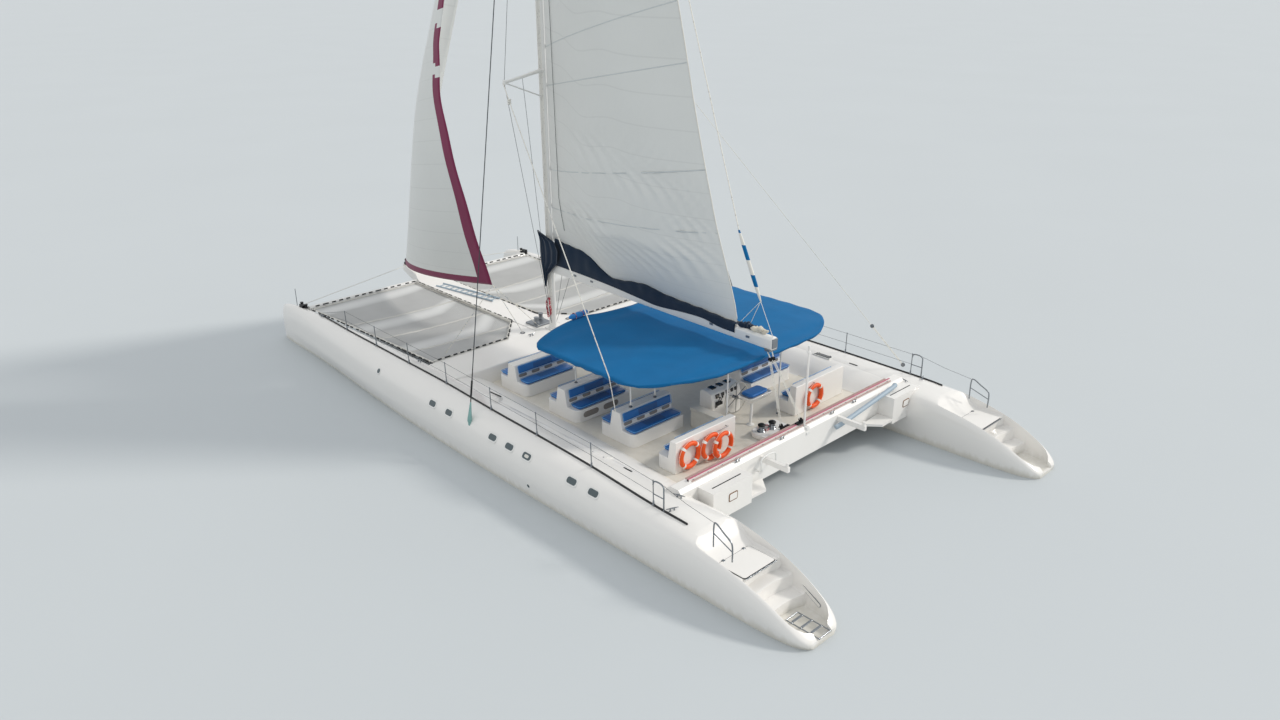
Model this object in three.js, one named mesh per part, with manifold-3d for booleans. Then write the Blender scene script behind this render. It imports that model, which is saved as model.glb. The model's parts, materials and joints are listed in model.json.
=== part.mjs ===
// Day-charter sailing catamaran, 24 m long, afloat under mainsail and jib.
// Millimetres. +X towards the bow, +Y to port, +Z up, origin on the centreline
// amidships at the waterline.
import * as THREE from "three";
import * as BufferGeometryUtils from "three/addons/utils/BufferGeometryUtils.js";
import Module from "manifold-3d";

const wasm = await Module();
wasm.setup();

// Driving dimensions
const GAP = 0.5; // between bonded or bolted neighbours
const HULL_Y = 4900; // hull centreline off the boat's centreline
const SOLE = 1000; // cockpit floor
const WET_DECK = 560; // underside of the bridge deck
const COCKPIT_AFT = -7180;
const COCKPIT_FWD = 1420;
const FOREDECK_FWD = 2900;
const FOREDECK_TOP = 1500;
const BEAM_X = -7430; // aft beam and mainsheet track
const BOW_BEAM_X = 10320;
const BOW_BEAM_Z = 1400;
const SPINE_HALF = 500;
const MAST_X = 2600;
const MAST_TOP = 28400;
const HOUNDS = 21300; // shrouds meet the mast
const STAY_TOP = 19500; // forestay meets the mast
const SPREADER_Z = 9600;
const BOOM_AFT = -6700;
const BOOM_FWD = 2400;
const BOOM_LOW = 3500;
const BOOM_TOP = 3845;
const BOOM_OUT = 1.5; // degrees that the boom lies to port
const CLEW_X = -5450;
const CHAIN_X = -710; // chainplates and the shrouds' feet
const CHAIN_Y = 5600;
const CANOPY_Z = 3200;
const CREASE_Y = 2780; // outer rails, where the canopy folds down
const STAY_R = 14;
const KEEL_SOLE = -1350;
const RUDDER_X = -10500;
const PROP_X = -7750;
const PROP_Z = -1080;
const BENCH_IN = 1400;
const BENCH_HALF = 660; // half depth of a double bench
const SEAT = 370; // bench moulding's seat above the sole
const BACK = 850; // bench back above the sole
const PAD = 50; // cushion thickness
const PAD_GAP = 6; // cushions stay clear of the moulding
const WHEEL = { x: -5200, y: -100, z: 1570, r: 450 };

// Finishes
const finish = (color, roughness, metalness = 0) =>
  new THREE.MeshStandardMaterial({ color, roughness, metalness });
const GELCOAT = finish(0xeceae6, 0.25);
const SOLE_WHITE = finish(0xe2dfd8, 0.45);
const MESH_NET = finish(0xb9b5ab, 0.8);
const VINYL = finish(0x1f6fb5, 0.4);
const ACRYLIC = finish(0x2f6a9c, 0.85);
const STEEL = finish(0xb8bcc0, 0.25, 1);
const ALLOY = finish(0xe8e8e6, 0.35, 0.1);
const WIRE = finish(0x3a3f42, 0.4, 0.6);
const DACRON = finish(0xdfe0dc, 0.7);
const BAG_NAVY = finish(0x1b3040, 0.8);
const RING_ORANGE = finish(0xf26a2a, 0.6);
const BRONZE = finish(0x9a7a48, 0.35, 1);
const ANTIFOUL = finish(0x2b3f55, 0.8);
const SMOKED = finish(0x24343a, 0.1);

const part = new THREE.Group();

function add(name, geometry, material) {
  const mesh = new THREE.Mesh(geometry, material);
  mesh.name = name;
  part.add(mesh);
}

// Solids
function toSolid(geometry) {
  let bare = geometry.clone();
  bare.deleteAttribute("normal");
  bare.deleteAttribute("uv");
  bare = BufferGeometryUtils.mergeVertices(bare, 1e-3);
  return new wasm.Manifold(new wasm.Mesh({
    numProp: 3,
    vertProperties: new Float32Array(bare.attributes.position.array),
    triVerts: new Uint32Array(bare.index.array),
  }));
}

function toGeometry(solid) {
  const mesh = solid.getMesh();
  const geometry = new THREE.BufferGeometry();
  geometry.setAttribute("position", new THREE.BufferAttribute(mesh.vertProperties, 3));
  geometry.setIndex(new THREE.BufferAttribute(mesh.triVerts, 1));
  return geometry;
}

const join = (...pieces) =>
  toGeometry(pieces.map(toSolid).reduce((whole, piece) => whole.add(piece)));
const cut = (piece, ...cutters) =>
  toGeometry(cutters.map(toSolid).reduce((left, c) => left.subtract(c), toSolid(piece)));

const outline = (points) => new THREE.Shape(points.map(([a, b]) => new THREE.Vector2(a, b)));

function extrude(points, depth) {
  return new THREE.ExtrudeGeometry(outline(points), { depth, bevelEnabled: false });
}

// [x, y] outline raised from z0 to z1
const prismZ = (points, z0, z1) => extrude(points, z1 - z0).translate(0, 0, z0);
// [x, z] outline drawn across from y0 to y1
const prismY = (points, y0, y1) =>
  extrude(points, y1 - y0).rotateX(Math.PI / 2).translate(0, y1, 0);
// [y, z] outline drawn along from x0 to x1
const prismX = (points, x0, x1) =>
  extrude(points, x1 - x0)
    .applyMatrix4(new THREE.Matrix4().makeBasis(
      new THREE.Vector3(0, 1, 0), new THREE.Vector3(0, 0, 1), new THREE.Vector3(1, 0, 0)))
    .translate(x0, 0, 0);

const block = (x0, x1, y0, y1, z0, z1) =>
  new THREE.BoxGeometry(x1 - x0, y1 - y0, z1 - z0)
    .translate((x0 + x1) / 2, (y0 + y1) / 2, (z0 + z1) / 2);

// The stretch from `inner` to `outer` off the centreline, on one side of the boat
const across = (side, inner, outer) => (side > 0 ? [inner, outer] : [-outer, -inner]);

function rod(from, to, radius, sides = 8, radiusTo = radius) {
  const a = new THREE.Vector3(...from);
  const b = new THREE.Vector3(...to);
  const turn = new THREE.Quaternion().setFromUnitVectors(
    new THREE.Vector3(0, 1, 0), b.clone().sub(a).normalize());
  const middle = a.clone().add(b).multiplyScalar(0.5);
  return new THREE.CylinderGeometry(radiusTo, radius, a.distanceTo(b), sides)
    .applyQuaternion(turn).translate(middle.x, middle.y, middle.z);
}

// Straight tubes end to end, each reaching half a diameter past its bend
function tubeRun(points, radius, sides = 6) {
  const runs = [];
  for (let i = 1; i < points.length; i++) {
    const a = new THREE.Vector3(...points[i - 1]);
    const b = new THREE.Vector3(...points[i]);
    const past = b.clone().sub(a).setLength(radius * 0.5);
    runs.push(rod(a.clone().sub(past).toArray(), b.clone().add(past).toArray(), radius, sides));
  }
  return runs;
}

// Closed skin over rings of equal length; the end rings are capped
function loft(rings) {
  const n = rings[0].length;
  const position = rings.flat(2);
  const index = [];
  for (let i = 0; i + 1 < rings.length; i++) {
    for (let j = 0; j < n; j++) {
      const a = i * n + j;
      const b = i * n + ((j + 1) % n);
      index.push(a, b, b + n, a, b + n, a + n);
    }
  }
  const last = (rings.length - 1) * n;
  for (let j = 1; j + 1 < n; j++) {
    index.push(0, j + 1, j);
    index.push(last, last + j, last + j + 1);
  }
  const geometry = new THREE.BufferGeometry();
  geometry.setAttribute("position", new THREE.Float32BufferAttribute(position, 3));
  geometry.setIndex(index);
  return geometry;
}

// Thin closed sheet over a grid of points, half its thickness to each side along `way`
function sheet(grid, way, thickness) {
  const rows = grid.length;
  const cols = grid[0].length;
  const half = new THREE.Vector3(...way).setLength(thickness / 2);
  const position = [];
  for (const sign of [1, -1]) {
    for (const row of grid) {
      for (const [x, y, z] of row) {
        position.push(x + sign * half.x, y + sign * half.y, z + sign * half.z);
      }
    }
  }
  const at = (i, j) => i * cols + j;
  const under = rows * cols;
  const index = [];
  const quad = (a, b, c, d) => index.push(a, b, c, a, c, d);
  for (let i = 0; i + 1 < rows; i++) {
    for (let j = 0; j + 1 < cols; j++) {
      quad(at(i, j), at(i + 1, j), at(i + 1, j + 1), at(i, j + 1));
      quad(under + at(i, j), under + at(i, j + 1), under + at(i + 1, j + 1), under + at(i + 1, j));
    }
  }
  const rim = [];
  for (let j = 0; j + 1 < cols; j++) rim.push([at(0, j), at(0, j + 1)]);
  for (let i = 0; i + 1 < rows; i++) rim.push([at(i, cols - 1), at(i + 1, cols - 1)]);
  for (let j = cols - 1; j > 0; j--) rim.push([at(rows - 1, j), at(rows - 1, j - 1)]);
  for (let i = rows - 1; i > 0; i--) rim.push([at(i, 0), at(i - 1, 0)]);
  for (const [a, b] of rim) quad(a, b, under + b, under + a);
  const geometry = new THREE.BufferGeometry();
  geometry.setAttribute("position", new THREE.Float32BufferAttribute(position, 3));
  geometry.setIndex(index);
  return outward(geometry);
}

// Turns a closed skin right side out
function outward(geometry) {
  const p = geometry.attributes.position;
  const index = geometry.index.array;
  const [a, b, c] = [new THREE.Vector3(), new THREE.Vector3(), new THREE.Vector3()];
  let volume = 0;
  for (let i = 0; i < index.length; i += 3) {
    a.fromBufferAttribute(p, index[i]);
    b.fromBufferAttribute(p, index[i + 1]);
    c.fromBufferAttribute(p, index[i + 2]);
    volume += a.dot(b.cross(c));
  }
  if (volume < 0) {
    for (let i = 0; i < index.length; i += 3) {
      [index[i + 1], index[i + 2]] = [index[i + 2], index[i + 1]];
    }
  }
  return geometry;
}

// Hull stations: x, keel line, half beam at the waterline, greatest half beam, top
const STATIONS = [
  [12000, -260, 30, 45, 980],
  [11900, -360, 85, 105, 1180],
  [11600, -470, 110, 165, 1330],
  [10900, -590, 140, 230, 1440],
  [9600, -710, 170, 330, 1490],
  [7800, -800, 260, 460, 1500],
  [5600, -860, 420, 610, 1500],
  [3000, -880, 585, 730, 1500],
  [0, -880, 675, 790, 1490],
  [-3000, -850, 705, 820, 1470],
  [-6000, -770, 705, 830, 1440],
  [-8000, -660, 705, 820, 1390],
  [-9200, -560, 700, 800, 1240],
  [-10200, -440, 685, 770, 970],
  [-10900, -340, 655, 730, 700],
  [-11500, -240, 570, 655, 400],
  [-11950, -140, 400, 480, 130],
];

// Section of one hull, which rolls over outboard of the toe rail and stands up at the stern.
// Columns: share of the half beam, share of the freeboard, and the same at the stern.
const OUTER_TOP = [
  [0.98, 0.3, 0.36], [1, 0.45, 0.6], [0.97, 0.63, 0.8], [0.88, 0.77, 0.91], [0.7, 0.885, 0.97],
  [0.45, 0.97, 1], [0.22, 1.01, 1.012],
];
const STERN_FROM = -7000; // the section changes over the next two metres aft
// Columns: share of the half beam, share of the freeboard
const INNER_TOP = [
  [0, 1.01], [0.3, 0.995], [0.55, 0.955], [0.76, 0.87], [0.91, 0.73], [0.98, 0.52],
];
// Columns: share of the half beam at the waterline, share of the keel's depth
const BILGE = [[0.62, 0.86], [0.93, 0.42], [1, 0]];

const sternShare = (x) => Math.min(1, Math.max(0, (STERN_FROM - x) / 2000));
const outerTop = (x) => OUTER_TOP.map(([u, w, stern]) => [u, w + (stern - w) * sternShare(x)]);

function hullRing([x, keel, waterline, beam, top], side, grow) {
  const below = BILGE.map(([u, w]) => [waterline * u + grow, keel * w - (w > 0.5 ? grow : 0)]);
  const above = (rows) => rows.map(([u, w]) => [
    beam * u + grow * Math.sign(u), top * w + (w > 0.9 ? grow : 0)]);
  const ring = [
    [0, keel - grow],
    ...below, ...above(outerTop(x)), ...above(INNER_TOP).map(([y, z]) => [-y, z]),
    ...below.slice().reverse().map(([y, z]) => [-y, z]),
  ];
  return ring.map(([y, z]) => [x, side * (HULL_Y + y), z]);
}

function hullSkin(side, grow = 0) {
  const rings = STATIONS.map((station) => hullRing(station, side, grow));
  return outward(loft(rings));
}

// Greatest half beam and top of the hull at x
function hullAt(x) {
  const i = Math.max(1, STATIONS.findIndex(([sx]) => sx <= Math.max(x, -11950)));
  const [xa, , , beamA, topA] = STATIONS[i - 1];
  const [xb, , , beamB, topB] = STATIONS[i];
  const t = (x - xb) / (xa - xb);
  return { beam: beamB + (beamA - beamB) * t, top: topB + (topA - topB) * t };
}

const topAt = (x) => hullAt(x).top;

// Height of the hull's deck at x, `y` out from the centreline, on the outboard half
function deckAt(x, y) {
  const { beam, top } = hullAt(x);
  const rows = outerTop(x);
  const share = Math.max((y - HULL_Y) / beam, rows[rows.length - 1][0]);
  const i = rows.findIndex(([u], k) => k > 1 && u <= share);
  const [ua, wa] = rows[i - 1];
  const [ub, wb] = rows[i];
  return top * (wb + ((wa - wb) * (share - ub)) / (ua - ub));
}

// Steps moulded into the stern: x0 (aft), x1 (forward), tread height
const STERN_STEPS = [
  [-11960, -11000, 80],
  [-11000, -10620, 330],
  [-10620, -10280, 620],
  [-10280, -9350, 860],
];
const RIM = 70; // width of the rim beside the steps

function sternCutters(side) {
  return STERN_STEPS.map(([x0, x1, tread]) => {
    const width = (x) => hullAt(x).beam * 0.8 - RIM;
    const w0 = width(x0);
    const w1 = width(x1);
    return prismZ([
      [x0, side * HULL_Y - w0], [x1 + GAP, side * HULL_Y - w1],
      [x1 + GAP, side * HULL_Y + w1], [x0, side * HULL_Y + w0],
    ], tread, 1700);
  });
}

// Short fixed keel and the drive leg under each hull
function miniKeel(side) {
  const y = side * HULL_Y;
  const foot = [[1500, 0], [1100, 100], [-900, 110], [-2300, 0], [-900, -110], [1100, -100]];
  return prismZ(foot.map(([x, dy]) => [x, y + dy]), KEEL_SOLE, -700);
}

function driveLeg(side) {
  const y = side * HULL_Y;
  const leg = [[-7250, 0], [-7330, 55], [-7560, 50], [-7650, 0], [-7560, -50], [-7330, -55]];
  return join(
    prismZ(leg.map(([x, dy]) => [x, y + dy]), PROP_Z, -560),
    rod([-7200, y, PROP_Z], [PROP_X + 60, y, PROP_Z], 75, 12, 60),
  );
}

function hull(side) {
  const whole = join(hullSkin(side), miniKeel(side), driveLeg(side));
  return cut(whole, ...sternCutters(side), hatchWell(side));
}

// Deck hatch on the hull's inner shoulder
const HATCH = { x: -4850, y: 4640, long: 640, wide: 460, thick: 45, low: 1400 };

function hatchWell(side) {
  const { x, y, long, wide, low } = HATCH;
  const play = 8; // clearance round the lid
  return block(x - long / 2 - play, x + long / 2 + play,
    side * y - wide / 2 - play, side * y + wide / 2 + play, low - 5, low + 200);
}

function hatchLid(side) {
  const { x, y, long, wide, thick, low } = HATCH;
  return block(x - long / 2, x + long / 2, side * y - wide / 2, side * y + wide / 2,
    low, low + thick);
}

// Coaming between the cockpit floor and the hull's shoulder.
// Columns: x, half width of the floor, y and z half way up, y and z of the shoulder
const COAMING = [
  [COCKPIT_FWD + 10, 3300, 3760, 1270, 4200, 1430],
  [-4100, 3500, 3880, 1240, 4260, 1400],
  [COCKPIT_AFT, 3700, 4080, 1220, 4450, 1360],
];
const DECK_HALF = 4600; // the bridge deck runs into the hulls

// Bridge deck with the cockpit well
function bridgeDeck() {
  const coaming = (side) => outward(loft(COAMING.map(([x, floor, midY, midZ, topY, topZ]) => [
    [floor - 40, WET_DECK], [floor - 40, SOLE], [floor, SOLE], [midY, midZ], [topY, topZ],
    [DECK_HALF, topZ + 20], [DECK_HALF, WET_DECK],
  ].map(([y, z]) => [x, side * y, z]))));
  const whole = join(
    block(COCKPIT_AFT, COCKPIT_FWD + 10, -COAMING[0][1], COAMING[0][1], WET_DECK, SOLE),
    block(COCKPIT_AFT, COCKPIT_FWD + 10, -DECK_HALF, DECK_HALF, WET_DECK, SOLE - 30),
    coaming(1), coaming(-1),
    block(COCKPIT_FWD, FOREDECK_FWD, -DECK_HALF, DECK_HALF, WET_DECK, FOREDECK_TOP),
  );
  return cut(whole, hullSkin(1, GAP), hullSkin(-1, GAP), hatchWell(1), hatchWell(-1));
}

// Centre spine ahead of the foredeck, ending in the bowsprit
function spine() {
  const side = [
    [FOREDECK_FWD + GAP, 700], [9300, 900], [10600, 1180], [11750, 1520], [11750, 1760],
    [10500, 1560], [FOREDECK_FWD + GAP, 1500],
  ];
  const plan = [
    [FOREDECK_FWD + GAP, SPINE_HALF], [9900, SPINE_HALF], [10700, 170], [11750, 80],
    [11750, -80], [10700, -170], [9900, -SPINE_HALF], [FOREDECK_FWD + GAP, -SPINE_HALF],
  ];
  const whole = toSolid(prismY(side, -700, 700)).intersect(toSolid(prismZ(plan, 500, 2000)));
  return cut(toGeometry(whole),
    rod([BOW_BEAM_X, -800, BOW_BEAM_Z], [BOW_BEAM_X, 800, BOW_BEAM_Z], 112 + GAP, 16));
}

const bowBeam = () => cut(
  rod([BOW_BEAM_X, -4700, BOW_BEAM_Z], [BOW_BEAM_X, 4700, BOW_BEAM_Z], 110, 16),
  hullSkin(1, GAP), hullSkin(-1, GAP));

const POLE = { x: -7520, y: -100, top: 3700, r: 30 };

// Beam across the stern of the cockpit, with the mainsheet track and the tender arms
function aftBeam() {
  const box = [[-7640, 700], [-7640, 1450], [-7560, 1540], [-7300, 1540], [COCKPIT_AFT - GAP, 1450],
    [COCKPIT_AFT - GAP, WET_DECK], [-7400, WET_DECK]];
  const arms = [1750, -1450].map((y) =>
    join(block(-8500, -7600, y - 45, y + 45, 1260, 1400), rod([-8440, y, 1400], [-8440, y, 1500], 40)));
  const whole = join(
    prismY(box, -4600, 4600),
    block(BEAM_X - 35, BEAM_X + 35, -4150, 4150, 1530, 1590),
    ...arms,
    rod([POLE.x, POLE.y, 1500], [POLE.x, POLE.y, POLE.top], POLE.r, 10),
  );
  return cut(whole, hullSkin(1, GAP), hullSkin(-1, GAP));
}

// Locker behind the beam, with a small step off its inboard end
function aftLocker(side) {
  const [inner, outer] = side > 0 ? [2660, 4030] : [3360, 4600];
  const front = -7640 - GAP;
  const back = -8130;
  const body = prismY([[front, 720], [front, 1430], [back, 1430], [back, 660]],
    ...across(side, inner, outer));
  const step = [[front, inner + 20], [front - 100, inner - 860], [back - 20, inner - 510],
    [back, inner + 20]];
  const plate = prismZ(step.map(([x, y]) => [x, side * y]), 760, 830);
  return cut(join(body, plate), hullSkin(side, GAP));
}

const NET_CORNERS = [[10180, 4900], [3000, 4900], [FOREDECK_FWD + GAP, 4600],
  [FOREDECK_FWD + GAP, SPINE_HALF + 20], [10000, SPINE_HALF + 20], [10180, 480]];

const trampoline = (side) => cut(
  prismZ(NET_CORNERS.map(([x, y]) => [x, side * y]), 1430, 1445), hullSkin(side, GAP));

// Double benches across the cockpit: x, outboard end. The aftermost is single and looks forward.
const BENCH_ROWS = [[450, 3290], [-1875, 3350], [-3985, 3250]];
const LAST_ROW = { front: -5680, back: -6350 };

const BENCH_CORNER = 170; // radius of the seat's outboard corners
const SEAT_EDGE = 240; // half width of the back moulding at the seat
const BACK_EDGE = 150; // and at its top
const LAST_IN = 1250;
const LAST_OUT = 3450;

// Seat moulding from x0 to x1, its outboard corners round; `way` points outboard
function seatBase(x0, x1, inner, outer, way) {
  const turn = (cx, from) => [0, 1, 2, 3].map((i) => {
    const a = from + (i / 3) * (Math.PI / 2);
    return [cx + BENCH_CORNER * Math.cos(a), outer - BENCH_CORNER * (1 - Math.sin(a))];
  });
  const plan = [
    [x0, inner], [x1, inner], ...turn(x1 - BENCH_CORNER, 0), ...turn(x0 + BENCH_CORNER, Math.PI / 2),
  ];
  return prismZ(plan.map(([x, y]) => [x, way * y]), SOLE + GAP, SOLE + SEAT);
}

function bench(x, outer, side) {
  const back = [
    [x + SEAT_EDGE, SOLE + SEAT - 20], [x + BACK_EDGE, SOLE + BACK],
    [x - BACK_EDGE, SOLE + BACK], [x - SEAT_EDGE, SOLE + SEAT - 20],
  ];
  return join(
    seatBase(x - BENCH_HALF, x + BENCH_HALF, BENCH_IN, outer, side),
    prismY(back, ...across(side, BENCH_IN, outer)));
}

function lastBench(side) {
  const { front, back } = LAST_ROW;
  const panel = [
    [front - 400, SOLE + SEAT - 20], [front - 470, SOLE + BACK + 20],
    [back, SOLE + BACK + 20], [back, SOLE + GAP], [front - 400, SOLE + GAP],
  ];
  return join(
    seatBase(back + 20, front, LAST_IN, LAST_OUT, side),
    prismY(panel, ...across(side, LAST_IN, LAST_OUT)));
}

// Seat pad and back pad as one L; `way` is +1 on the side that looks forward
function cushion(x, way, root, slope, y0, y1) {
  const z0 = SOLE + SEAT + PAD_GAP;
  const top = SOLE + BACK - 40;
  const edge = way * BENCH_HALF;
  const lean = (z) => root - ((z - SOLE - SEAT) / (BACK - SEAT)) * slope;
  const wall = (z, off) => x + way * (lean(z) + PAD_GAP + off);
  const points = [
    [x + edge, z0], [x + edge, z0 + PAD], [wall(z0 + PAD, PAD), z0 + PAD],
    [wall(top, PAD), top], [wall(top, 0), top], [wall(z0, 0), z0],
  ];
  return outward(toGeometry(toSolid(prismY(points, y0, y1))));
}

// Ends of the canopy, out from the centreline. Columns: y, fore edge, aft edge.
const CANOPY = [
  [0, -1180, -6450], [600, -1120, -6460], [1100, -1020, -6450], [1600, -840, -6420],
  [2200, -860, -6320], [2780, -980, -6030], [3300, -1120, -5640], [3700, -1330, -5190],
  [3800, -1480, -4800],
];
const CANOPY_ROWS = 8;

// Middle of the cloth: crowned inside the outer rails, sloping down outside them
const canopyAt = (y) => CANOPY_Z - 8 + (y <= CREASE_Y
  ? 60 * (1 - (y / CREASE_Y) ** 2)
  : -0.11 * (y - CREASE_Y));

function canopy() {
  const mirror = CANOPY.slice(1).map(([y, fore, aft]) => [-y, fore, aft]);
  const grid = [...CANOPY.slice().reverse(), ...mirror].map(([y, fore, aft]) =>
    Array.from({ length: CANOPY_ROWS + 1 }, (_, i) =>
      [fore + ((aft - fore) * i) / CANOPY_ROWS, y, canopyAt(Math.abs(y))]));
  return sheet(grid, [0, 0, 1], 40);
}

// Half of the frame: posts on the bench backs and on the sole carry three rails and, with the
// other half, three hoops. Columns of the posts: x, y, foot; of the rails: y, aft end, fore end.
const POSTS = [
  [-1840, 1890, SOLE + BACK + GAP], [-1840, CREASE_Y, SOLE + BACK + GAP],
  [-4050, 1890, SOLE + BACK + GAP], [-4050, CREASE_Y, SOLE + BACK + GAP],
  [-5900, 1080, SOLE + GAP],
];
const RAILS = [[1080, -6250, -1300], [1890, -6150, -1300], [CREASE_Y, -5850, -1300]];
const HOOPS = [-1840, -4050, -5800];
const FRAME_Z = CANOPY_Z - 60;

const canopyFrame = (side) => join(
  ...POSTS.map(([x, y, foot]) => rod([x, side * y, foot], [x, side * y, FRAME_Z], 22)),
  ...RAILS.map(([y, aft, fore]) => rod([aft, side * y, FRAME_Z], [fore, side * y, FRAME_Z], 20)),
  ...HOOPS.map((x) => rod([x, side * GAP, FRAME_Z], [x, side * CREASE_Y, FRAME_Z], 20)));

// Steering
const console_ = () => join(
  block(-5030, -4550, -500, 680, SOLE + GAP, 1880),
  rod([-5080, WHEEL.y, WHEEL.z], [-5020, WHEEL.y, WHEEL.z], 60, 12),
);

function steeringWheel() {
  const { x, y, z, r } = WHEEL;
  const rim = new THREE.TorusGeometry(r, 16, 6, 32).rotateY(Math.PI / 2).translate(x, y, z);
  const spokes = [0, 60, 120].map((angle) => {
    const a = THREE.MathUtils.degToRad(angle);
    const arm = [Math.cos(a) * r, Math.sin(a) * r];
    return rod([x, y - arm[0], z - arm[1]], [x, y + arm[0], z + arm[1]], 9, 6);
  });
  return join(rim, ...spokes, rod([x - 25, y, z], [x + 110, y, z], 45, 12));
}

// Bucket seat on a post
const helmSeat = () => join(
  rod([-5820, 0, SOLE + GAP], [-5820, 0, SOLE + 30], 110, 16),
  rod([-5820, 0, SOLE + 20], [-5720, -150, 1640], 40, 12),
  prismZ([
    [-5930, 130], [-5480, 130], [-5390, 40], [-5390, -720], [-5480, -810], [-5850, -810],
    [-5930, -730],
  ], 1630, 1790),
);

const lockerBox = () => join(
  block(-5700, -4760, 980, 1240, SOLE + GAP, 1480),
  block(-5730, -4730, 950, 1244, 1470, 1560),
);

// Winch: drum on a base
const winch = (x, y, z, r) => join(
  rod([x, y, z - 10], [x, y, z + 60], r * 1.15, 12),
  rod([x, y, z + 50], [x, y, z + 190], r * 0.8, 12),
  rod([x, y, z + 185], [x, y, z + 225], r, 12),
);

const PLINTH_TOP = 1150;

const winchPlinth = () => join(
  prismZ([[-7100, -520], [-6250, -520], [-6200, -380], [-6200, 420], [-6350, 560], [-7100, 560]],
    SOLE + GAP, PLINTH_TOP),
  winch(-6480, 340, PLINTH_TOP, 95), winch(-6560, 0, PLINTH_TOP, 95),
);

const windlass = () => join(
  block(3050, 3650, -330, 330, 1506 + GAP, 1560),
  winch(3250, 180, 1560, 85), winch(3480, -180, 1560, 85),
);

// Mast with spreaders, diamond struts and masthead
function mast() {
  const section = Array.from({ length: 12 }, (_, i) => {
    const a = (i / 12) * 2 * Math.PI;
    return [MAST_X + 150 * Math.cos(a), 90 * Math.sin(a)];
  });
  const spreaders = [1, -1].flatMap((side) => {
    const tip = [MAST_X - 1300, side * 2350, SPREADER_Z];
    return [
      rod([MAST_X - 60, side * 40, SPREADER_Z + 60], tip, 32),
      rod([MAST_X + 60, side * 40, SPREADER_Z + 60], tip, 26),
      rod([MAST_X, side * 40, SPREADER_Z - 700], tip, 20),
    ];
  });
  return join(
    prismZ(section, FOREDECK_TOP + GAP, MAST_TOP),
    prismZ([[2350, -160], [2850, -160], [2850, 160], [2350, 160]], FOREDECK_TOP + GAP, 1560),
    ...spreaders,
  );
}

const forestay = () =>
  rod([11600, 0, 1790], [MAST_X + 190, 0, STAY_TOP], STAY_R, 6);

// Chainplate strap on the hull's shoulder, with the shroud from its head
const shroud = (side) => cut(
  join(
    rod([CHAIN_X, side * CHAIN_Y, 1180], [MAST_X - 40, side * 120, HOUNDS], STAY_R, 6),
    block(CHAIN_X - 40, CHAIN_X + 40, ...across(side, CHAIN_Y - 60, CHAIN_Y + 60), 1030, 1260),
  ),
  hullSkin(side, GAP));

// Lays what the boom carries out to port, about the mast
const swung = (geometry) => geometry.translate(-MAST_X, 0, 0)
  .rotateZ(THREE.MathUtils.degToRad(-BOOM_OUT)).translate(MAST_X, 0, 0);

function boom() {
  const shoulder = BOOM_TOP - 65;
  const section = [[-110, BOOM_LOW], [110, BOOM_LOW], [125, BOOM_LOW + 100], [125, shoulder],
    [60, BOOM_TOP], [-60, BOOM_TOP], [-125, shoulder], [-125, BOOM_LOW + 100]];
  return prismX(section, BOOM_AFT, BOOM_FWD);
}

// Top of the bag. Columns: x, height.
const BAG_TOP = [
  [2250, 4620], [1700, 4550], [750, 4450], [-150, 4060], [-550, 3970], [-1460, 4080],
  [-2000, 4110], [-2600, 4030], [-3400, 3985], [-4140, 3965], [-4800, 3930], [CLEW_X, 3905],
];

function sailBag() {
  const profile = [...BAG_TOP, [CLEW_X, BOOM_TOP + GAP], [2250, BOOM_TOP + GAP]];
  return prismY(profile, -150, 150);
}

// Mainsail: each row runs from luff to leech; columns x of leech, sideways set, height
const MAIN_LEECH = [
  [-5410, 0, 3950], [-5290, 20, 4500], [-4660, 100, 6430], [-4030, 200, 8900], [-3430, 320, 11700],
  [-2610, 450, 14800], [-1660, 500, 18000], [-570, 470, 21200], [690, 300, 24600], [1990, 50, 27600],
];
const SAIL_ACROSS = [0, 0.1, 0.21, 0.33, 0.45, 0.58, 0.7, 0.85, 1];
const FOOT_GAP = 60; // foot of the sail over the bag
const MAIN_LUFF_X = 2400;

const bagTopAt = (x) => {
  const i = BAG_TOP.findIndex(([bx]) => bx <= x);
  if (i < 1) return BAG_TOP[0][1];
  const [xa, za] = BAG_TOP[i - 1];
  const [xb, zb] = BAG_TOP[i];
  return zb + ((za - zb) * (x - xb)) / (xa - xb);
};

function mainsail() {
  const rows = MAIN_LEECH.map(([leech, set, z], i) => SAIL_ACROSS.map((u) => {
    const x = MAIN_LUFF_X + (leech - MAIN_LUFF_X) * u;
    const chord = MAIN_LUFF_X - leech;
    const belly = 0.09 * chord * 4 * u * (1 - u) * (i === 0 ? 0.25 : 1);
    const height = i === 0 ? bagTopAt(x) + FOOT_GAP : Math.max(z, bagTopAt(x) + 200 * i);
    return [x, set * u + belly, height];
  }));
  return sheet(rows, [0, 1, 0], 10);
}

// Jib, sheeted to port: luff height, leech x, y, z
const JIB_ROWS = [
  [2000, 4470, 1000, 2810], [2850, 4420, 1830, 3850], [4700, 4340, 2620, 5410],
  [6500, 4260, 3180, 6970], [8300, 4150, 3400, 8540], [10200, 4030, 3180, 10090],
  [12000, 3880, 2780, 11560], [14400, 3600, 2050, 14200], [16600, 3300, 1100, 16500],
  [18700, 3040, 160, 18600],
];

function jib() {
  const luffX = (z) => 11600 + ((MAST_X + 190 - 11600) * (z - 1790)) / (STAY_TOP - 1790) - 60;
  const rows = JIB_ROWS.map(([z0, x1, y1, z1]) => SAIL_ACROSS.map((u) => {
    const chord = luffX(z0) - x1;
    const belly = 0.1 * chord * 4 * u * (1 - u);
    return [luffX(z0) + (x1 - luffX(z0)) * u, y1 * u + belly, z0 + (z1 - z0) * u];
  }));
  return sheet(rows, [0, 1, 0], 10);
}

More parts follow.
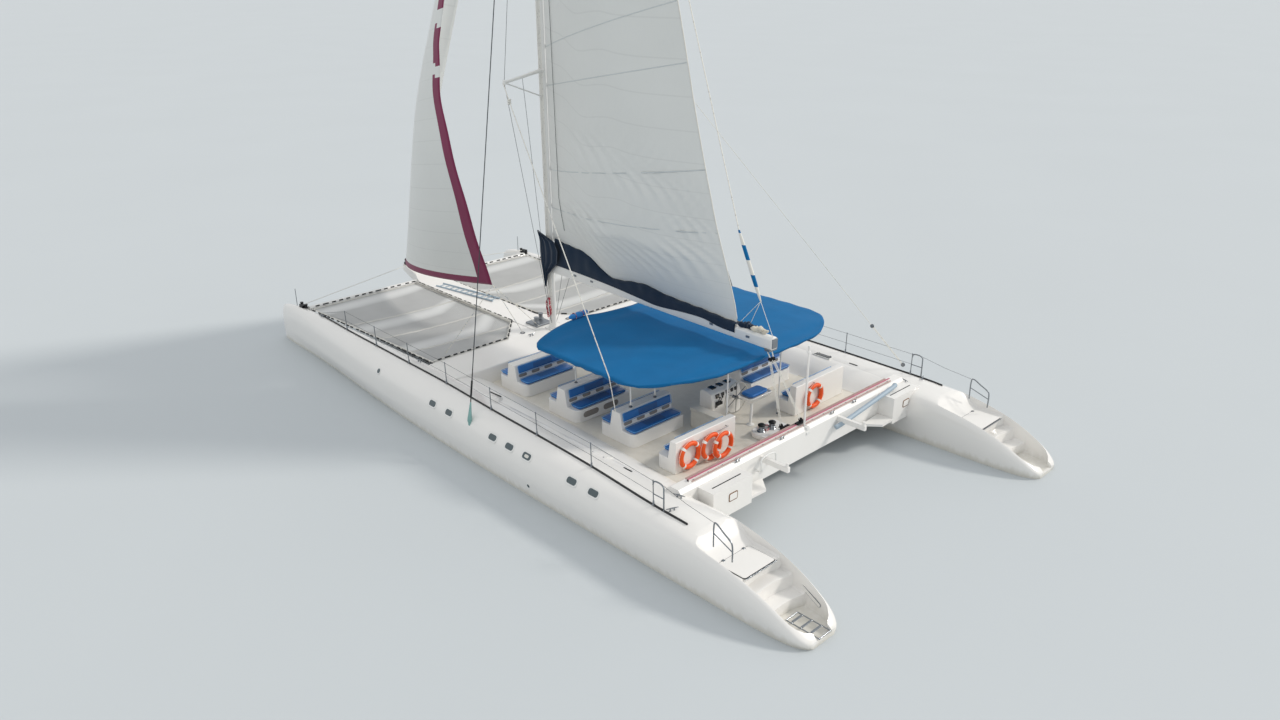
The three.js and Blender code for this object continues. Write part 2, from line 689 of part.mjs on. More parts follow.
// Guard rail: toe rail points x, y; stanchions stand at the inner ones
const TOE_RAIL = [
  [9350, 4790], [7220, 4890], [5280, 4925], [3320, 4955], [1270, 4980], [-1010, 5070],
  [-3040, 5110], [-5220, 5170], [-7440, 5270],
];
const TOE_RAIL_END = [-8490, 5270];
const TOE_UP = 12; // middle of the toe rail above the deck
const WIRES_UP = [330, 640];
const RAIL_UP = 650; // head of a stanchion above the deck
const GATE_Y = 5285;
const HOOP_AFT = -7780;

function guardRail(side) {
  const over = (x, y, up) => [x, side * y, deckAt(x, y) + up];
  const rail = [...TOE_RAIL, TOE_RAIL_END].map(([x, y]) => over(x, y, TOE_UP));
  const posts = TOE_RAIL.slice(1).map(([x, y]) => rod(over(x, y, 0), over(x, y, RAIL_UP), 13, 6));
  const wires = WIRES_UP.flatMap((up) => tubeRun(
    TOE_RAIL.map(([x, y], i) => over(x, y, i === 0 ? TOE_UP : up)), 5, 5));
  const hoop = tubeRun([
    over(-7440, GATE_Y, 600), over(-7500, GATE_Y, 660), over(-7700, GATE_Y, 660),
    over(HOOP_AFT, GATE_Y, 600), over(HOOP_AFT, GATE_Y, 0),
  ], 13);
  return cut(
    join(...tubeRun(rail, 16, 6), ...posts, ...wires, ...hoop, ...sternRail(side)),
    hullSkin(side, GAP));
}

// Rail beside the stern steps, joined to the gate hoop by the lifeline
function sternRail(side) {
  const foot = topAt(-9310);
  const end = topAt(-9850);
  return [
    ...tubeRun([
      [-9310, side * 5330, foot - 60], [-9310, side * 5330, foot + 560],
      [-9600, side * 5350, foot + 420], [-9850, side * 5360, end + 380],
      [-9850, side * 5350, end - 80],
    ], 14),
    ...tubeRun([[-9310, side * 5330, foot + 280], [-9850, side * 5360, end + 190]], 11),
    ...tubeRun([[-7700, side * GATE_Y, deckAt(-7700, GATE_Y) + 660], [-9310, side * 5330, foot + 560]], 6),
  ];
}

// Lifebuoys hung on the aft face of the last benches. Columns: y, z, distance off the panel.
const PORT_RINGS = [[3010, 1420, 0], [2300, 1430, 60], [1960, 1380, 150]];
const STARBOARD_RING = [-2020, 1410, 0];
const RING = { middle: 310, tube: 62 };

const lifeRing = ([y, z, off]) =>
  new THREE.TorusGeometry(RING.middle, RING.tube, 8, 24).rotateY(Math.PI / 2)
    .translate(LAST_ROW.back - RING.tube - 5 - off, y, z);

const portRings = () => join(
  ...PORT_RINGS.map(lifeRing),
  rod([LAST_ROW.back - 60, 3150, 1740], [LAST_ROW.back - 60, 1600, 1740], 12));

// Under water
function propeller(side) {
  const y = side * HULL_Y;
  const hub = rod([PROP_X + 50, y, PROP_Z], [PROP_X - 100, y, PROP_Z], 55, 12, 25);
  const blades = [90, 210, 330].map((angle) => {
    const blade = new THREE.BoxGeometry(30, 200, 95).translate(0, 145, 0);
    return blade.applyMatrix4(new THREE.Matrix4().makeRotationY(0.5))
      .applyMatrix4(new THREE.Matrix4().makeRotationX(THREE.MathUtils.degToRad(angle)))
      .translate(PROP_X, y, PROP_Z);
  });
  return join(hub, ...blades);
}

function rudder(side) {
  const y = side * HULL_Y;
  const plan = (chord, x0, z) => [[0, 0], [0.25, 0.06], [0.6, 0.04], [1, 0], [0.6, -0.04], [0.25, -0.06]]
    .map(([u, t]) => [x0 - u * chord, y + t * chord * side, z]);
  return outward(loft([
    plan(560, RUDDER_X + 190, -1230), plan(680, RUDDER_X + 220, -470),
  ]));
}

// Boarding ladder folded on the port platform
const LADDER = { x: -11980, y: HULL_Y, half: 190, long: 850, z: 180 };

function ladder() {
  const { x, y, half, long, z } = LADDER;
  const rails = [-half, half].map((d) => rod([x, y + d, z], [x + long, y + d, z], 14));
  const treads = [0, 0.28, 0.56, 0.84, 1].map((u) =>
    rod([x + long * u, y - half, z], [x + long * u, y + half, z], 14));
  return join(...rails, ...treads);
}

const SIDES = [["port", 1], ["starboard", -1]];

for (const [name, side] of SIDES) {
  add(`hull_${name}`, hull(side), GELCOAT);
  add(`trampoline_${name}`, trampoline(side), MESH_NET);
  add(`aft_locker_${name}`, aftLocker(side), GELCOAT);
  add(`hatch_lid_${name}`, hatchLid(side), SMOKED);
  add(`shroud_${name}`, shroud(side), WIRE);
  add(`guard_rail_${name}`, guardRail(side), STEEL);
  add(`propeller_${name}`, propeller(side), BRONZE);
  add(`rudder_${name}`, rudder(side), ANTIFOUL);
  add(`canopy_frame_${name}`, canopyFrame(side), ALLOY);
  BENCH_ROWS.forEach(([x, outer], i) => {
    const span = across(side, BENCH_IN + 40, outer - 40);
    add(`bench_${name}_${i + 1}`, bench(x, outer, side), GELCOAT);
    add(`cushion_${name}_${i + 1}_fwd`, cushion(x, 1, 240, 90, ...span), VINYL);
    add(`cushion_${name}_${i + 1}_aft`, cushion(x, -1, 240, 90, ...span), VINYL);
  });
  add(`bench_${name}_4`, lastBench(side), GELCOAT);
  add(`cushion_${name}_4_fwd`,
    cushion(LAST_ROW.front - BENCH_HALF, 1, BENCH_HALF - 400, 70,
      ...across(side, LAST_IN + 190, LAST_OUT - 240)), VINYL);
}

add("bridge_deck", bridgeDeck(), SOLE_WHITE);
add("spine", spine(), GELCOAT);
add("bow_beam", bowBeam(), ALLOY);
add("aft_beam", aftBeam(), GELCOAT);
add("canopy", canopy(), ACRYLIC);
add("helm_console", console_(), GELCOAT);
add("steering_wheel", steeringWheel(), STEEL);
add("helm_seat", helmSeat(), GELCOAT);
add("locker_box", lockerBox(), SOLE_WHITE);
add("winch_plinth", winchPlinth(), GELCOAT);
add("windlass", windlass(), STEEL);
add("mast", mast(), ALLOY);
add("forestay", forestay(), WIRE);
add("boom", swung(boom()), ALLOY);
add("sail_bag", swung(sailBag()), BAG_NAVY);
add("mainsail", swung(mainsail()), DACRON);
add("jib", jib(), DACRON);
add("life_rings_port", portRings(), RING_ORANGE);
add("life_ring_starboard", lifeRing(STARBOARD_RING), RING_ORANGE);
add("boarding_ladder", ladder(), STEEL);

export default part;
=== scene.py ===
"""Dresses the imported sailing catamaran: smooth hulls, deck, nets, cushions, canopy, sails and rig.

Metres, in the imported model's frame: +X to the bow, +Y to port, +Z up, the waterline at z = 0.
"""

import json
import math
import sys

import bmesh
import bpy
from bpy.props import FloatProperty, FloatVectorProperty, IntProperty, PointerProperty
from mathutils import Matrix, Vector
from mathutils.bvhtree import BVHTree
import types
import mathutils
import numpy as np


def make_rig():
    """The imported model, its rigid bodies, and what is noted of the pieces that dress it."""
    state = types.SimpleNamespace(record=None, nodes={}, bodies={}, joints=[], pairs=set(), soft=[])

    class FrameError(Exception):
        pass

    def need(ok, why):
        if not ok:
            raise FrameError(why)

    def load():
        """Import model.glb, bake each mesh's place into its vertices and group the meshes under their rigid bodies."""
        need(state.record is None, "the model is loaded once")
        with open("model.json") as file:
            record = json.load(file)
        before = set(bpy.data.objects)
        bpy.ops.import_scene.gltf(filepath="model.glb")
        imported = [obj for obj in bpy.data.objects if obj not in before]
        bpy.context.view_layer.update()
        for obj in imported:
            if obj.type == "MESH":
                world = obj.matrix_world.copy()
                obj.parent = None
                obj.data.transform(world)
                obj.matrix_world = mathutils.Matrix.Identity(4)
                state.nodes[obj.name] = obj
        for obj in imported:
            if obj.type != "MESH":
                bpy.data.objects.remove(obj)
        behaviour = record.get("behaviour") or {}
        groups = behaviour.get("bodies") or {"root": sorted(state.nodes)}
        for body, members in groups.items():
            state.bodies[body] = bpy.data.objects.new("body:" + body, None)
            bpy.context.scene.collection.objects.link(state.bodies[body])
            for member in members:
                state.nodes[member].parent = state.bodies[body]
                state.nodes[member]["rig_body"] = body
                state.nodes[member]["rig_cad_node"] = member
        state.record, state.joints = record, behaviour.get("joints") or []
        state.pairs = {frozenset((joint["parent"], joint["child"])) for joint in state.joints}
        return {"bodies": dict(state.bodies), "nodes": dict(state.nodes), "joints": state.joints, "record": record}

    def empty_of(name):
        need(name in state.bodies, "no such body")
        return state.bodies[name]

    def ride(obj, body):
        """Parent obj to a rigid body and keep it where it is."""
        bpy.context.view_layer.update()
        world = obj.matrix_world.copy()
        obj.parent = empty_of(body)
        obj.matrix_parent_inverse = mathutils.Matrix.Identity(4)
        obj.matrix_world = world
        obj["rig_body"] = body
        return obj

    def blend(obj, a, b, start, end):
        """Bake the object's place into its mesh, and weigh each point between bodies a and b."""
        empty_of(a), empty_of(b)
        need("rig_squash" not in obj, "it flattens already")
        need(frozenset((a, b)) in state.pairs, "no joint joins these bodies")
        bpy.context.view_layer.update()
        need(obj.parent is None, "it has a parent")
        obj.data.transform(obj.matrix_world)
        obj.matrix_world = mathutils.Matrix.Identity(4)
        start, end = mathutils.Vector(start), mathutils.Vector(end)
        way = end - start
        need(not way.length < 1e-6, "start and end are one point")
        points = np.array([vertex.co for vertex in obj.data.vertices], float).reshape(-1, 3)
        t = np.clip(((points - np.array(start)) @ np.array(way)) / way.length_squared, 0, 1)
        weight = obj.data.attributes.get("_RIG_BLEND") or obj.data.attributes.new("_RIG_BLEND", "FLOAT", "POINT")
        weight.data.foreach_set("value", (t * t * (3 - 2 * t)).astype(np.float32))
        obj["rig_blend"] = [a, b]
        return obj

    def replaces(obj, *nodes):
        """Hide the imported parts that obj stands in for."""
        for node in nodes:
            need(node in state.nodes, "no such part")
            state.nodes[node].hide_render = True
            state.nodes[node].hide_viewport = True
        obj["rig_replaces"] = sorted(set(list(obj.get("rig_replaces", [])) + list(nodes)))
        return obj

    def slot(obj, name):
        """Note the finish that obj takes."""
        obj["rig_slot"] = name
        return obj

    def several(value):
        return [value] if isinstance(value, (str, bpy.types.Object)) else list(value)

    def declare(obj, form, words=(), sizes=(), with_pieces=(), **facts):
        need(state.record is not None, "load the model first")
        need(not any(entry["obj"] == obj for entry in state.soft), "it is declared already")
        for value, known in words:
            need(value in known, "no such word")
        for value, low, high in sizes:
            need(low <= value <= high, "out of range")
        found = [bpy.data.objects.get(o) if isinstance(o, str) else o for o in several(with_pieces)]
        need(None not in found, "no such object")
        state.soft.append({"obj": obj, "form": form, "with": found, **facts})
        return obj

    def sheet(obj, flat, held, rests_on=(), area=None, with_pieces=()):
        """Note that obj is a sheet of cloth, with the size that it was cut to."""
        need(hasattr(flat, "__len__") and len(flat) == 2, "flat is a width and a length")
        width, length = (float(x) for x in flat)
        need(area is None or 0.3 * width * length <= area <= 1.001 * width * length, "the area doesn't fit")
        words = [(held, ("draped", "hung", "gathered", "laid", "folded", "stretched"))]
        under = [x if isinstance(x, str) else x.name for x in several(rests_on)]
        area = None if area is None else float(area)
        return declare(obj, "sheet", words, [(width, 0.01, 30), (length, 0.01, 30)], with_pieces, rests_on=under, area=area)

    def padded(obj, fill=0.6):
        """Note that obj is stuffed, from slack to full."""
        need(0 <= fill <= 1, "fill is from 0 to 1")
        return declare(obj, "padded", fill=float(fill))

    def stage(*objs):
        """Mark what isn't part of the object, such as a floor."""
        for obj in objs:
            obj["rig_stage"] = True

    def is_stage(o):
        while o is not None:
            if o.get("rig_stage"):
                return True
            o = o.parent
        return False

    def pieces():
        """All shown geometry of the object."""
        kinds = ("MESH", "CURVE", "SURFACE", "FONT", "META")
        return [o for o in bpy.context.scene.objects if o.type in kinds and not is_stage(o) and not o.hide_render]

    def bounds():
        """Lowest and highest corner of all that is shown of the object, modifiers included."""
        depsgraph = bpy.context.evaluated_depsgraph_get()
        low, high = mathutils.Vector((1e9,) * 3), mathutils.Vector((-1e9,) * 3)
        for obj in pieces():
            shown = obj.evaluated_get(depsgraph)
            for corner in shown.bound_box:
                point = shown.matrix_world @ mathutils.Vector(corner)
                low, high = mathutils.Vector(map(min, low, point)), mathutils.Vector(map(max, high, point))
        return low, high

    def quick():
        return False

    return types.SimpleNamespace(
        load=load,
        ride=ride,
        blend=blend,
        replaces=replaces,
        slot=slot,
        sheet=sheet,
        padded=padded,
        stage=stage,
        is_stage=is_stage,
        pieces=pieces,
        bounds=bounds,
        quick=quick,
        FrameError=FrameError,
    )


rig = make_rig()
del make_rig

bl_info = {
    "name": "Day-charter catamaran",
    "version": (1, 0, 0),
    "blender": (4, 5, 0),
    "location": "View3D > Sidebar > Catamaran",
    "description": "Builds the visible pieces of a large open sailing catamaran around its solids",
    "category": "Object",
}

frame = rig.load()
CAD_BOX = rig.bounds()

SIDES = {"port": 1, "starboard": -1}
UP = Vector((0, 0, 1))

# Sizes that the solids share
HULL_Y = 4.9
SOLE = 1.0
WET_DECK = 0.56
SOLE_AFT = -7.18
SOLE_FWD = 1.42
FOREDECK_FWD = 2.9
FOREDECK_TOP = 1.5
BEAM_X = -7.43
MAST_X = 2.6
SPREADER_Z = 9.6
BOOM_AFT = -6.7
BOOM_LOW, BOOM_TOP = 3.5, 3.845
BOOM_OUT = math.radians(1.5)  # how far the boom lies to port
CANOPY_Z = 3.2
SEAT = 0.37  # bench seat above the sole
BACK = 0.85  # bench back above the sole
BENCH_HALF = 0.66  # half depth of a double bench

# Boom, bag and mainsail are drawn along the centreline and turned about the mast to where they lie
BOOM_SET = (Matrix.Translation((MAST_X, 0, 0)) @ Matrix.Rotation(-BOOM_OUT, 4, "Z")
            @ Matrix.Translation((-MAST_X, 0, 0)))


# Sizes and colours a user may change

def colour(name, about, value):
    """A colour property from an sRGB hex value."""
    return FloatVectorProperty(
        name=name, description=about, subtype="COLOR", size=3, min=0, max=1, default=linear(value))


def linear(value):
    """Linear RGB of an sRGB hex value such as "#f4f2ee"."""
    parts = [int(value[i:i + 2], 16) / 255 for i in (1, 3, 5)]
    return tuple(c / 12.92 if c <= 0.04045 else ((c + 0.055) / 1.055) ** 2.4 for c in parts)


class CatamaranColours(bpy.types.PropertyGroup):
    """Colours of the finishes"""
    gelcoat: colour("Gelcoat", "White of the hulls and deck", "#eceae6")
    nonslip: colour("Non-slip", "Cream of the cockpit floor", "#dcd7cc")
    net: colour("Net", "Woven net of the foredeck", "#bcbdbc")
    canopy: colour("Canopy", "Acrylic cloth of the canopy", "#10669c")
    vinyl: colour("Cushions", "Coated vinyl of the cushions", "#1a67ae")
    piping: colour("Piping", "Piped edge of the cushions", "#5fa3d8")
    sail: colour("Sails", "Woven polyester of both sails", "#d9dbd8")
    strip: colour("Sail strip", "Sun strip on the jib's leech and foot", "#7d2f50")
    bag: colour("Sail bag", "Acrylic cloth of the boom's bag", "#15283c")
    buoy: colour("Lifebuoys", "Shell of the lifebuoys", "#ee5a1c")


class CatamaranSizes(bpy.types.PropertyGroup):
    """Sizes of what is drawn here alone"""
    net_sag: FloatProperty(
        name="Net sag", description="How far a net hangs below its edges", default=0.05, unit="LENGTH")
    panel_height: FloatProperty(
        name="Sail panel", description="Height of a panel of sailcloth", default=0.92, unit="LENGTH")
    pad_thickness: FloatProperty(
        name="Cushion", description="Thickness of a seat cushion", default=0.075, unit="LENGTH")
    wire: FloatProperty(
        name="Shroud wire", description="Diameter of the shrouds", default=0.026, unit="LENGTH")
    rope: FloatProperty(
        name="Rope", description="Diameter of the running rigging", default=0.018, unit="LENGTH")
    toe_rail: FloatProperty(
        name="Toe rail", description="Height of the dark toe rail", default=0.034, unit="LENGTH")
    canopy_sag: FloatProperty(
        name="Canopy sag", description="Sag of the canopy between its hoops", default=0.03,
        unit="LENGTH")
    portlights: IntProperty(
        name="Portlights", description="Rounded windows in each topside", default=7, min=0, max=7)


def sizes():
    """The sizes that a user may change."""
    return bpy.context.scene.catamaran_sizes


def colours():
    """The colours that a user may change."""
    return bpy.context.scene.catamaran_colours


# Shapes

def spline(points, per_span, closed=False):
    """Points on a smooth line through `points`, `per_span` of them to each span."""
    points = [Vector(p) for p in points]
    count = len(points)
    out = []
    for i in range(count if closed else count - 1):
        at = [(i + k) % count if closed else min(max(i + k, 0), count - 1) for k in (-1, 0, 1, 2)]
        a, b, c, d = (points[k] for k in at)
        for s in range(per_span):
            t = s / per_span
            out.append(0.5 * (2 * b + (c - a) * t + (2 * a - 5 * b + 4 * c - d) * t * t
                              + (3 * b - a - 3 * c + d) * t ** 3))
    if not closed:
        out.append(points[-1])
    return out


def along(table, x):
    """Row of `table` at x, where the first column is x, falling, and the others are smooth."""
    last = len(table) - 1
    i = next((k for k in range(last) if table[k + 1][0] <= x), last - 1)
    rows = [table[min(max(i + k, 0), last)] for k in (-1, 0, 1, 2)]
    t = min(max((x - rows[1][0]) / (rows[2][0] - rows[1][0]), 0), 1)
    out = []
    for j in range(1, len(table[0])):
        a, b, c, d = (row[j] for row in rows)
        slope_b = (c - a) / (rows[2][0] - rows[0][0]) * (rows[2][0] - rows[1][0])
        slope_c = (d - b) / (rows[3][0] - rows[1][0]) * (rows[2][0] - rows[1][0])
        out.append(b * (1 + 2 * t) * (1 - t) ** 2 + c * t * t * (3 - 2 * t)
                   + slope_b * t * (1 - t) ** 2 - slope_c * t * t * (1 - t))
    return out


def skin(rows, closed=False, caps=False, cut=(1, 1)):
    """A grid whose vertices move to `rows` of points; its UV map runs from 0 to `cut`, in metres."""
    bm = bmesh.new()
    bm.loops.layers.uv.new("UVMap")
    tall, wide = len(rows) - 1, len(rows[0]) - 1
    grid = bmesh.ops.create_grid(bm, x_segments=wide, y_segments=tall, size=1, calc_uvs=True)
    for vert in grid["verts"]:
        i = round((vert.co.y + 1) / 2 * tall)
        j = round((vert.co.x + 1) / 2 * wide)
        vert.co = rows[i][j]
    layer = bm.loops.layers.uv.active
    for face in bm.faces:
        for loop in face.loops:
            loop[layer].uv = (loop[layer].uv.x * cut[0], loop[layer].uv.y * cut[1])
    if closed:
        bmesh.ops.remove_doubles(bm, verts=bm.verts, dist=1e-5)
    if caps:
        bmesh.ops.holes_fill(bm, edges=[e for e in bm.edges if e.is_boundary], sides=0)
    if closed:
        bmesh.ops.recalc_face_normals(bm, faces=bm.faces)
    return bm


def prism(outline, way, low, high):
    """`outline` drawn out from low to high along the axis `way`; its points run in the other two."""
    bm = bmesh.new()
    place = {"x": lambda a, b: (low, a, b), "y": lambda a, b: (a, low, b), "z": lambda a, b: (a, b, low)}
    verts = [bm.verts.new(place[way](a, b)) for a, b in outline]
    face = bmesh.ops.contextual_create(bm, geom=verts)["faces"]
    grown = bmesh.ops.extrude_face_region(bm, geom=face, use_keep_orig=True)["geom"]
    move = Vector([high - low if axis == way else 0 for axis in "xyz"])
    moved = [v for v in grown if isinstance(v, bmesh.types.BMVert)]
    bmesh.ops.translate(bm, verts=moved, vec=move)
    bmesh.ops.recalc_face_normals(bm, faces=bm.faces)
    return bm


def box(low, high):
    """A block between two corners."""
    bm = bmesh.new()
    low, high = Vector(low), Vector(high)
    matrix = Matrix.Translation((low + high) / 2) @ Matrix.Diagonal((*(high - low), 1))
    bmesh.ops.create_cube(bm, size=1, matrix=matrix)
    return bm


def aim(start, end):
    """Matrix that takes +Z onto the line from start to end, with its origin at start."""
    start, end = Vector(start), Vector(end)
    return Matrix.Translation(start) @ (end - start).to_track_quat("Z", "Y").to_matrix().to_4x4()


def turned(profile, start, end, steps=24):
    """A profile of (radius, height) spun about the line that leaves start towards end."""
    bm = bmesh.new()
    verts = [bm.verts.new((max(r, 1e-4), 0, h)) for r, h in profile]
    edges = [bm.edges.new(pair) for pair in zip(verts, verts[1:])]
    bmesh.ops.spin(
        bm, geom=verts + edges, cent=(0, 0, 0), axis=(0, 0, 1), angle=2 * math.pi, steps=steps,
        use_merge=True)
    bmesh.ops.remove_doubles(bm, verts=bm.verts, dist=2.5e-4)
    bmesh.ops.recalc_face_normals(bm, faces=bm.faces)
    bmesh.ops.transform(bm, matrix=aim(start, end), verts=bm.verts)
    return bm


def upright(profile, place, steps=24):
    """A profile of (radius, height) spun about the vertical through a place."""
    return turned(profile, place, Vector(place) + UP, steps)


def hoop(centre, axis, radius, tube, steps=48, sides=10):
    """A ring of round section."""
    bm = bmesh.new()
    circle = bmesh.ops.create_circle(bm, segments=sides, radius=tube)["verts"]
    bmesh.ops.rotate(bm, matrix=Matrix.Rotation(math.pi / 2, 3, "X"), verts=circle)
    bmesh.ops.translate(bm, vec=(radius, 0, 0), verts=circle)
    bmesh.ops.spin(
        bm, geom=circle + list(bm.edges), cent=(0, 0, 0), axis=(0, 0, 1), angle=2 * math.pi,
        steps=steps, use_merge=True)
    bmesh.ops.recalc_face_normals(bm, faces=bm.faces)
    bmesh.ops.transform(
        bm, matrix=aim(centre, Vector(centre) + Vector(axis)), verts=bm.verts)
    return bm


def rounded_rectangle(long, wide, corner, steps=6):
    """Points of a rectangle round the origin with round corners, `steps` to each."""
    ring = []
    for cx, cy, start in ((1, 1, 0), (-1, 1, 90), (-1, -1, 180), (1, -1, 270)):
        for k in range(steps + 1):
            a = math.radians(start + 90 * k / steps)
            ring.append((cx * (long / 2 - corner) + corner * math.cos(a),
                         cy * (wide / 2 - corner) + corner * math.sin(a)))
    return ring


def ring_round(steps):
    """The angles of a closed ring, its first one twice."""
    return [2 * math.pi * k / steps for k in range(steps + 1)]


def paint(bm, index, where=lambda face: True):
    """Gives the chosen faces the material at that index."""
    for face in bm.faces:
        if where(face):
            face.material_index = index
    return bm


def joined(shapes):
    """Several shapes as one."""
    whole = bmesh.new()
    for bm in shapes:
        mesh = bpy.data.meshes.new("part")
        bm.to_mesh(mesh)
        bm.free()
        whole.from_mesh(mesh)
        bpy.data.meshes.remove(mesh)
    return whole


def show(obj, finishes, body="platform", slot=None, replaces=()):
    """Gives a piece its finishes, its body and the solids that it stands for."""
    if obj.name not in bpy.context.scene.collection.objects:
        bpy.context.scene.collection.objects.link(obj)
    for material in finishes if isinstance(finishes, (list, tuple)) else [finishes]:
        obj.data.materials.append(material)
    if body:
        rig.ride(obj, body)
    if body == "boom":
        obj.data.transform(BOOM_SET)
    if slot:
        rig.slot(obj, slot)
    if replaces:
        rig.replaces(obj, *replaces)
    return obj


def add_bevel(obj, width, segments, crease, harden=True):
    """Adds a modifier that rounds the edges sharper than `crease` degrees."""
    modifier = obj.modifiers.new("edges", "BEVEL")
    modifier.width = width
    modifier.segments = segments
    modifier.limit_method = "ANGLE"
    modifier.angle_limit = math.radians(crease)
    modifier.harden_normals = harden


def piece(name, shapes, finishes, body="platform", slot=None, replaces=(), bevel=0, segments=2,
          crease=38, solid=0):
    """A mesh piece. Where `shapes` is a dict, its keys are the places of their materials. `bevel`
    rounds hard edges, `solid` gives a sheet its thickness, and edges sharper than `crease`
    degrees stay sharp."""
    if isinstance(shapes, dict):
        shapes = [paint(shape, index) for index, group in shapes.items() for shape in group]
    bm = joined(shapes) if isinstance(shapes, (list, tuple)) else shapes
    mesh = bpy.data.meshes.new(name)
    bm.to_mesh(mesh)
    bm.free()
    mesh.shade_smooth()
    mesh.set_sharp_from_angle(angle=math.radians(crease))
    obj = bpy.data.objects.new(name, mesh)
    bpy.context.scene.collection.objects.link(obj)
    if solid:
        modifier = obj.modifiers.new("thickness", "SOLIDIFY")
        modifier.thickness = solid
        modifier.offset = 0
    if bevel:
        add_bevel(obj, bevel, segments, crease)
    return show(obj, finishes, body, slot, replaces)


def lines(name, runs, diameter, finishes, body="platform", slot=None, replaces=(), round_by=0,
          sides=3):
    """Tubes, wires or ropes of one diameter, each through its run of points."""
    curve = bpy.data.curves.new(name, "CURVE")
    curve.dimensions = "3D"
    curve.bevel_depth = diameter / 2
    curve.bevel_resolution = sides
    curve.use_fill_caps = True
    for run in runs:
        points = spline(run, round_by) if round_by and len(run) > 2 else run
        path = curve.splines.new("POLY")
        path.points.add(len(points) - 1)
        for dot, point in zip(path.points, points):
            dot.co = (*point, 1)
    obj = bpy.data.objects.new(name, curve)
    bpy.context.scene.collection.objects.link(obj)
    return show(obj, finishes, body, slot, replaces)


def applied(obj):
    """Turns a piece and its modifiers into a plain mesh."""
    bpy.context.view_layer.update()
    evaluated = obj.evaluated_get(bpy.context.evaluated_depsgraph_get())
    mesh = bpy.data.meshes.new_from_object(evaluated)
    mesh.name = obj.name
    if obj.type == "MESH":
        obj.modifiers.clear()
        obj.data = mesh
        return obj
    fresh = bpy.data.objects.new(obj.name + "_mesh", mesh)
    name, body = obj.name, obj.get("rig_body")
    bpy.data.objects.remove(obj)
    fresh.name = name
    return show(fresh, (), body)


def carve(obj, shapes):
    """Cuts the shapes out of a piece, one after the other."""
    for bm in shapes:
        mesh = bpy.data.meshes.new("cutter")
        bm.to_mesh(mesh)
        bm.free()
        cutter = bpy.data.objects.new("cutter", mesh)
        bpy.context.scene.collection.objects.link(cutter)
        modifier = obj.modifiers.new("carve", "BOOLEAN")
        modifier.operation = "DIFFERENCE"
        modifier.solver = "EXACT"
        modifier.object = cutter
        applied(obj)
        bpy.data.objects.remove(cutter)
    return obj


def round_edges(obj, width, segments=2, crease=35):
    """Rounds a piece's hard edges and leaves it a plain mesh."""
    add_bevel(obj, width, segments, crease, harden=False)
    applied(obj)
    obj.data.shade_smooth()
    obj.data.set_sharp_from_angle(angle=math.radians(crease))
    return obj


def held_sheet(obj, flat, held, rests_on, **more):
    """Declares a piece as a sheet, with the cloth in it as modelled."""
    area = sum(polygon.area for polygon in obj.data.polygons)
    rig.sheet(obj, flat=flat, held=held, rests_on=rests_on, area=area, **more)


# Finishes

def add_node(tree, kind, settings=None, **inputs):
    """Adds a node, sets it up, and sets or links its inputs; "_" in a name stands for a space."""
    made = tree.nodes.new(kind)
    for key, value in (settings or {}).items():
        setattr(made, key, value)
    for key, value in inputs.items():
        socket = made.inputs[int(key[1:])] if key[1:].isdigit() else made.inputs[key.replace("_", " ")]
        if isinstance(value, bpy.types.NodeSocket):
            tree.links.new(value, socket)
        else:
            socket.default_value = value
    return made


def new_finish(name, roughness, metallic=0.0, coat=0.0, sheen=0.0):
    """A material with its shader's uniform values set on the sockets."""
    material = bpy.data.materials.new(name)
    material.use_nodes = True
    shader = material.node_tree.nodes["Principled BSDF"]
    shader.inputs["Roughness"].default_value = roughness
    shader.inputs["Metallic"].default_value = metallic
    shader.inputs["Coat Weight"].default_value = coat
    shader.inputs["Sheen Weight"].default_value = sheen
    return material, material.node_tree, shader


def per_metre(millimetres):
    """Texture scale for a pattern of that size."""
    return 1000 / millimetres


def shaded(value, by):
    """A linear colour made darker or lighter."""
    return tuple(min(1.0, c * by) for c in value[:3]) + (1,)


def mottled(tree, value, cloud_mm, spread):
    """A colour that drifts a little over the surface, and the coordinates it reads. The colour is
    given as a hex value or in linear numbers."""
    value = linear(value) if isinstance(value, str) else value
    where = add_node(tree, "ShaderNodeTexCoord").outputs["Object"]
    cloud = add_node(tree, "ShaderNodeTexNoise", Vector=where, Scale=per_metre(cloud_mm), Detail=3.0)
    mixed = add_node(
        tree, "ShaderNodeMix", {"data_type": "RGBA"}, Factor=cloud.outputs["Fac"],
        _6=shaded(value, 1 - spread), _7=shaded(value, 1 + spread))
    return mixed.outputs[2], where


def bumped(tree, shader, height, millimetres, strength=1.0, normal=None):
    """Raises the surface by a height pattern."""
    inputs = {"Height": height, "Strength": strength, "Distance": millimetres / 1000}
    if normal:
        inputs["Normal"] = normal
    bump = add_node(tree, "ShaderNodeBump", **inputs)
    tree.links.new(bump.outputs["Normal"], shader.inputs["Normal"])
    return bump.outputs["Normal"]


def plain_finish(name, value, roughness, cloud_mm, spread, grain_mm, depth_mm, **shine):
    """A finish of one colour with a slow drift and, with grain_mm, a fine grain."""
    material, tree, shader = new_finish(name, roughness, **shine)
    tint, where = mottled(tree, value, cloud_mm, spread)
    tree.links.new(tint, shader.inputs["Base Color"])
    if grain_mm:
        grain = add_node(
            tree, "ShaderNodeTexNoise", Vector=where, Scale=per_metre(grain_mm), Detail=2.0)
        bumped(tree, shader, grain.outputs["Fac"], depth_mm)
    return material


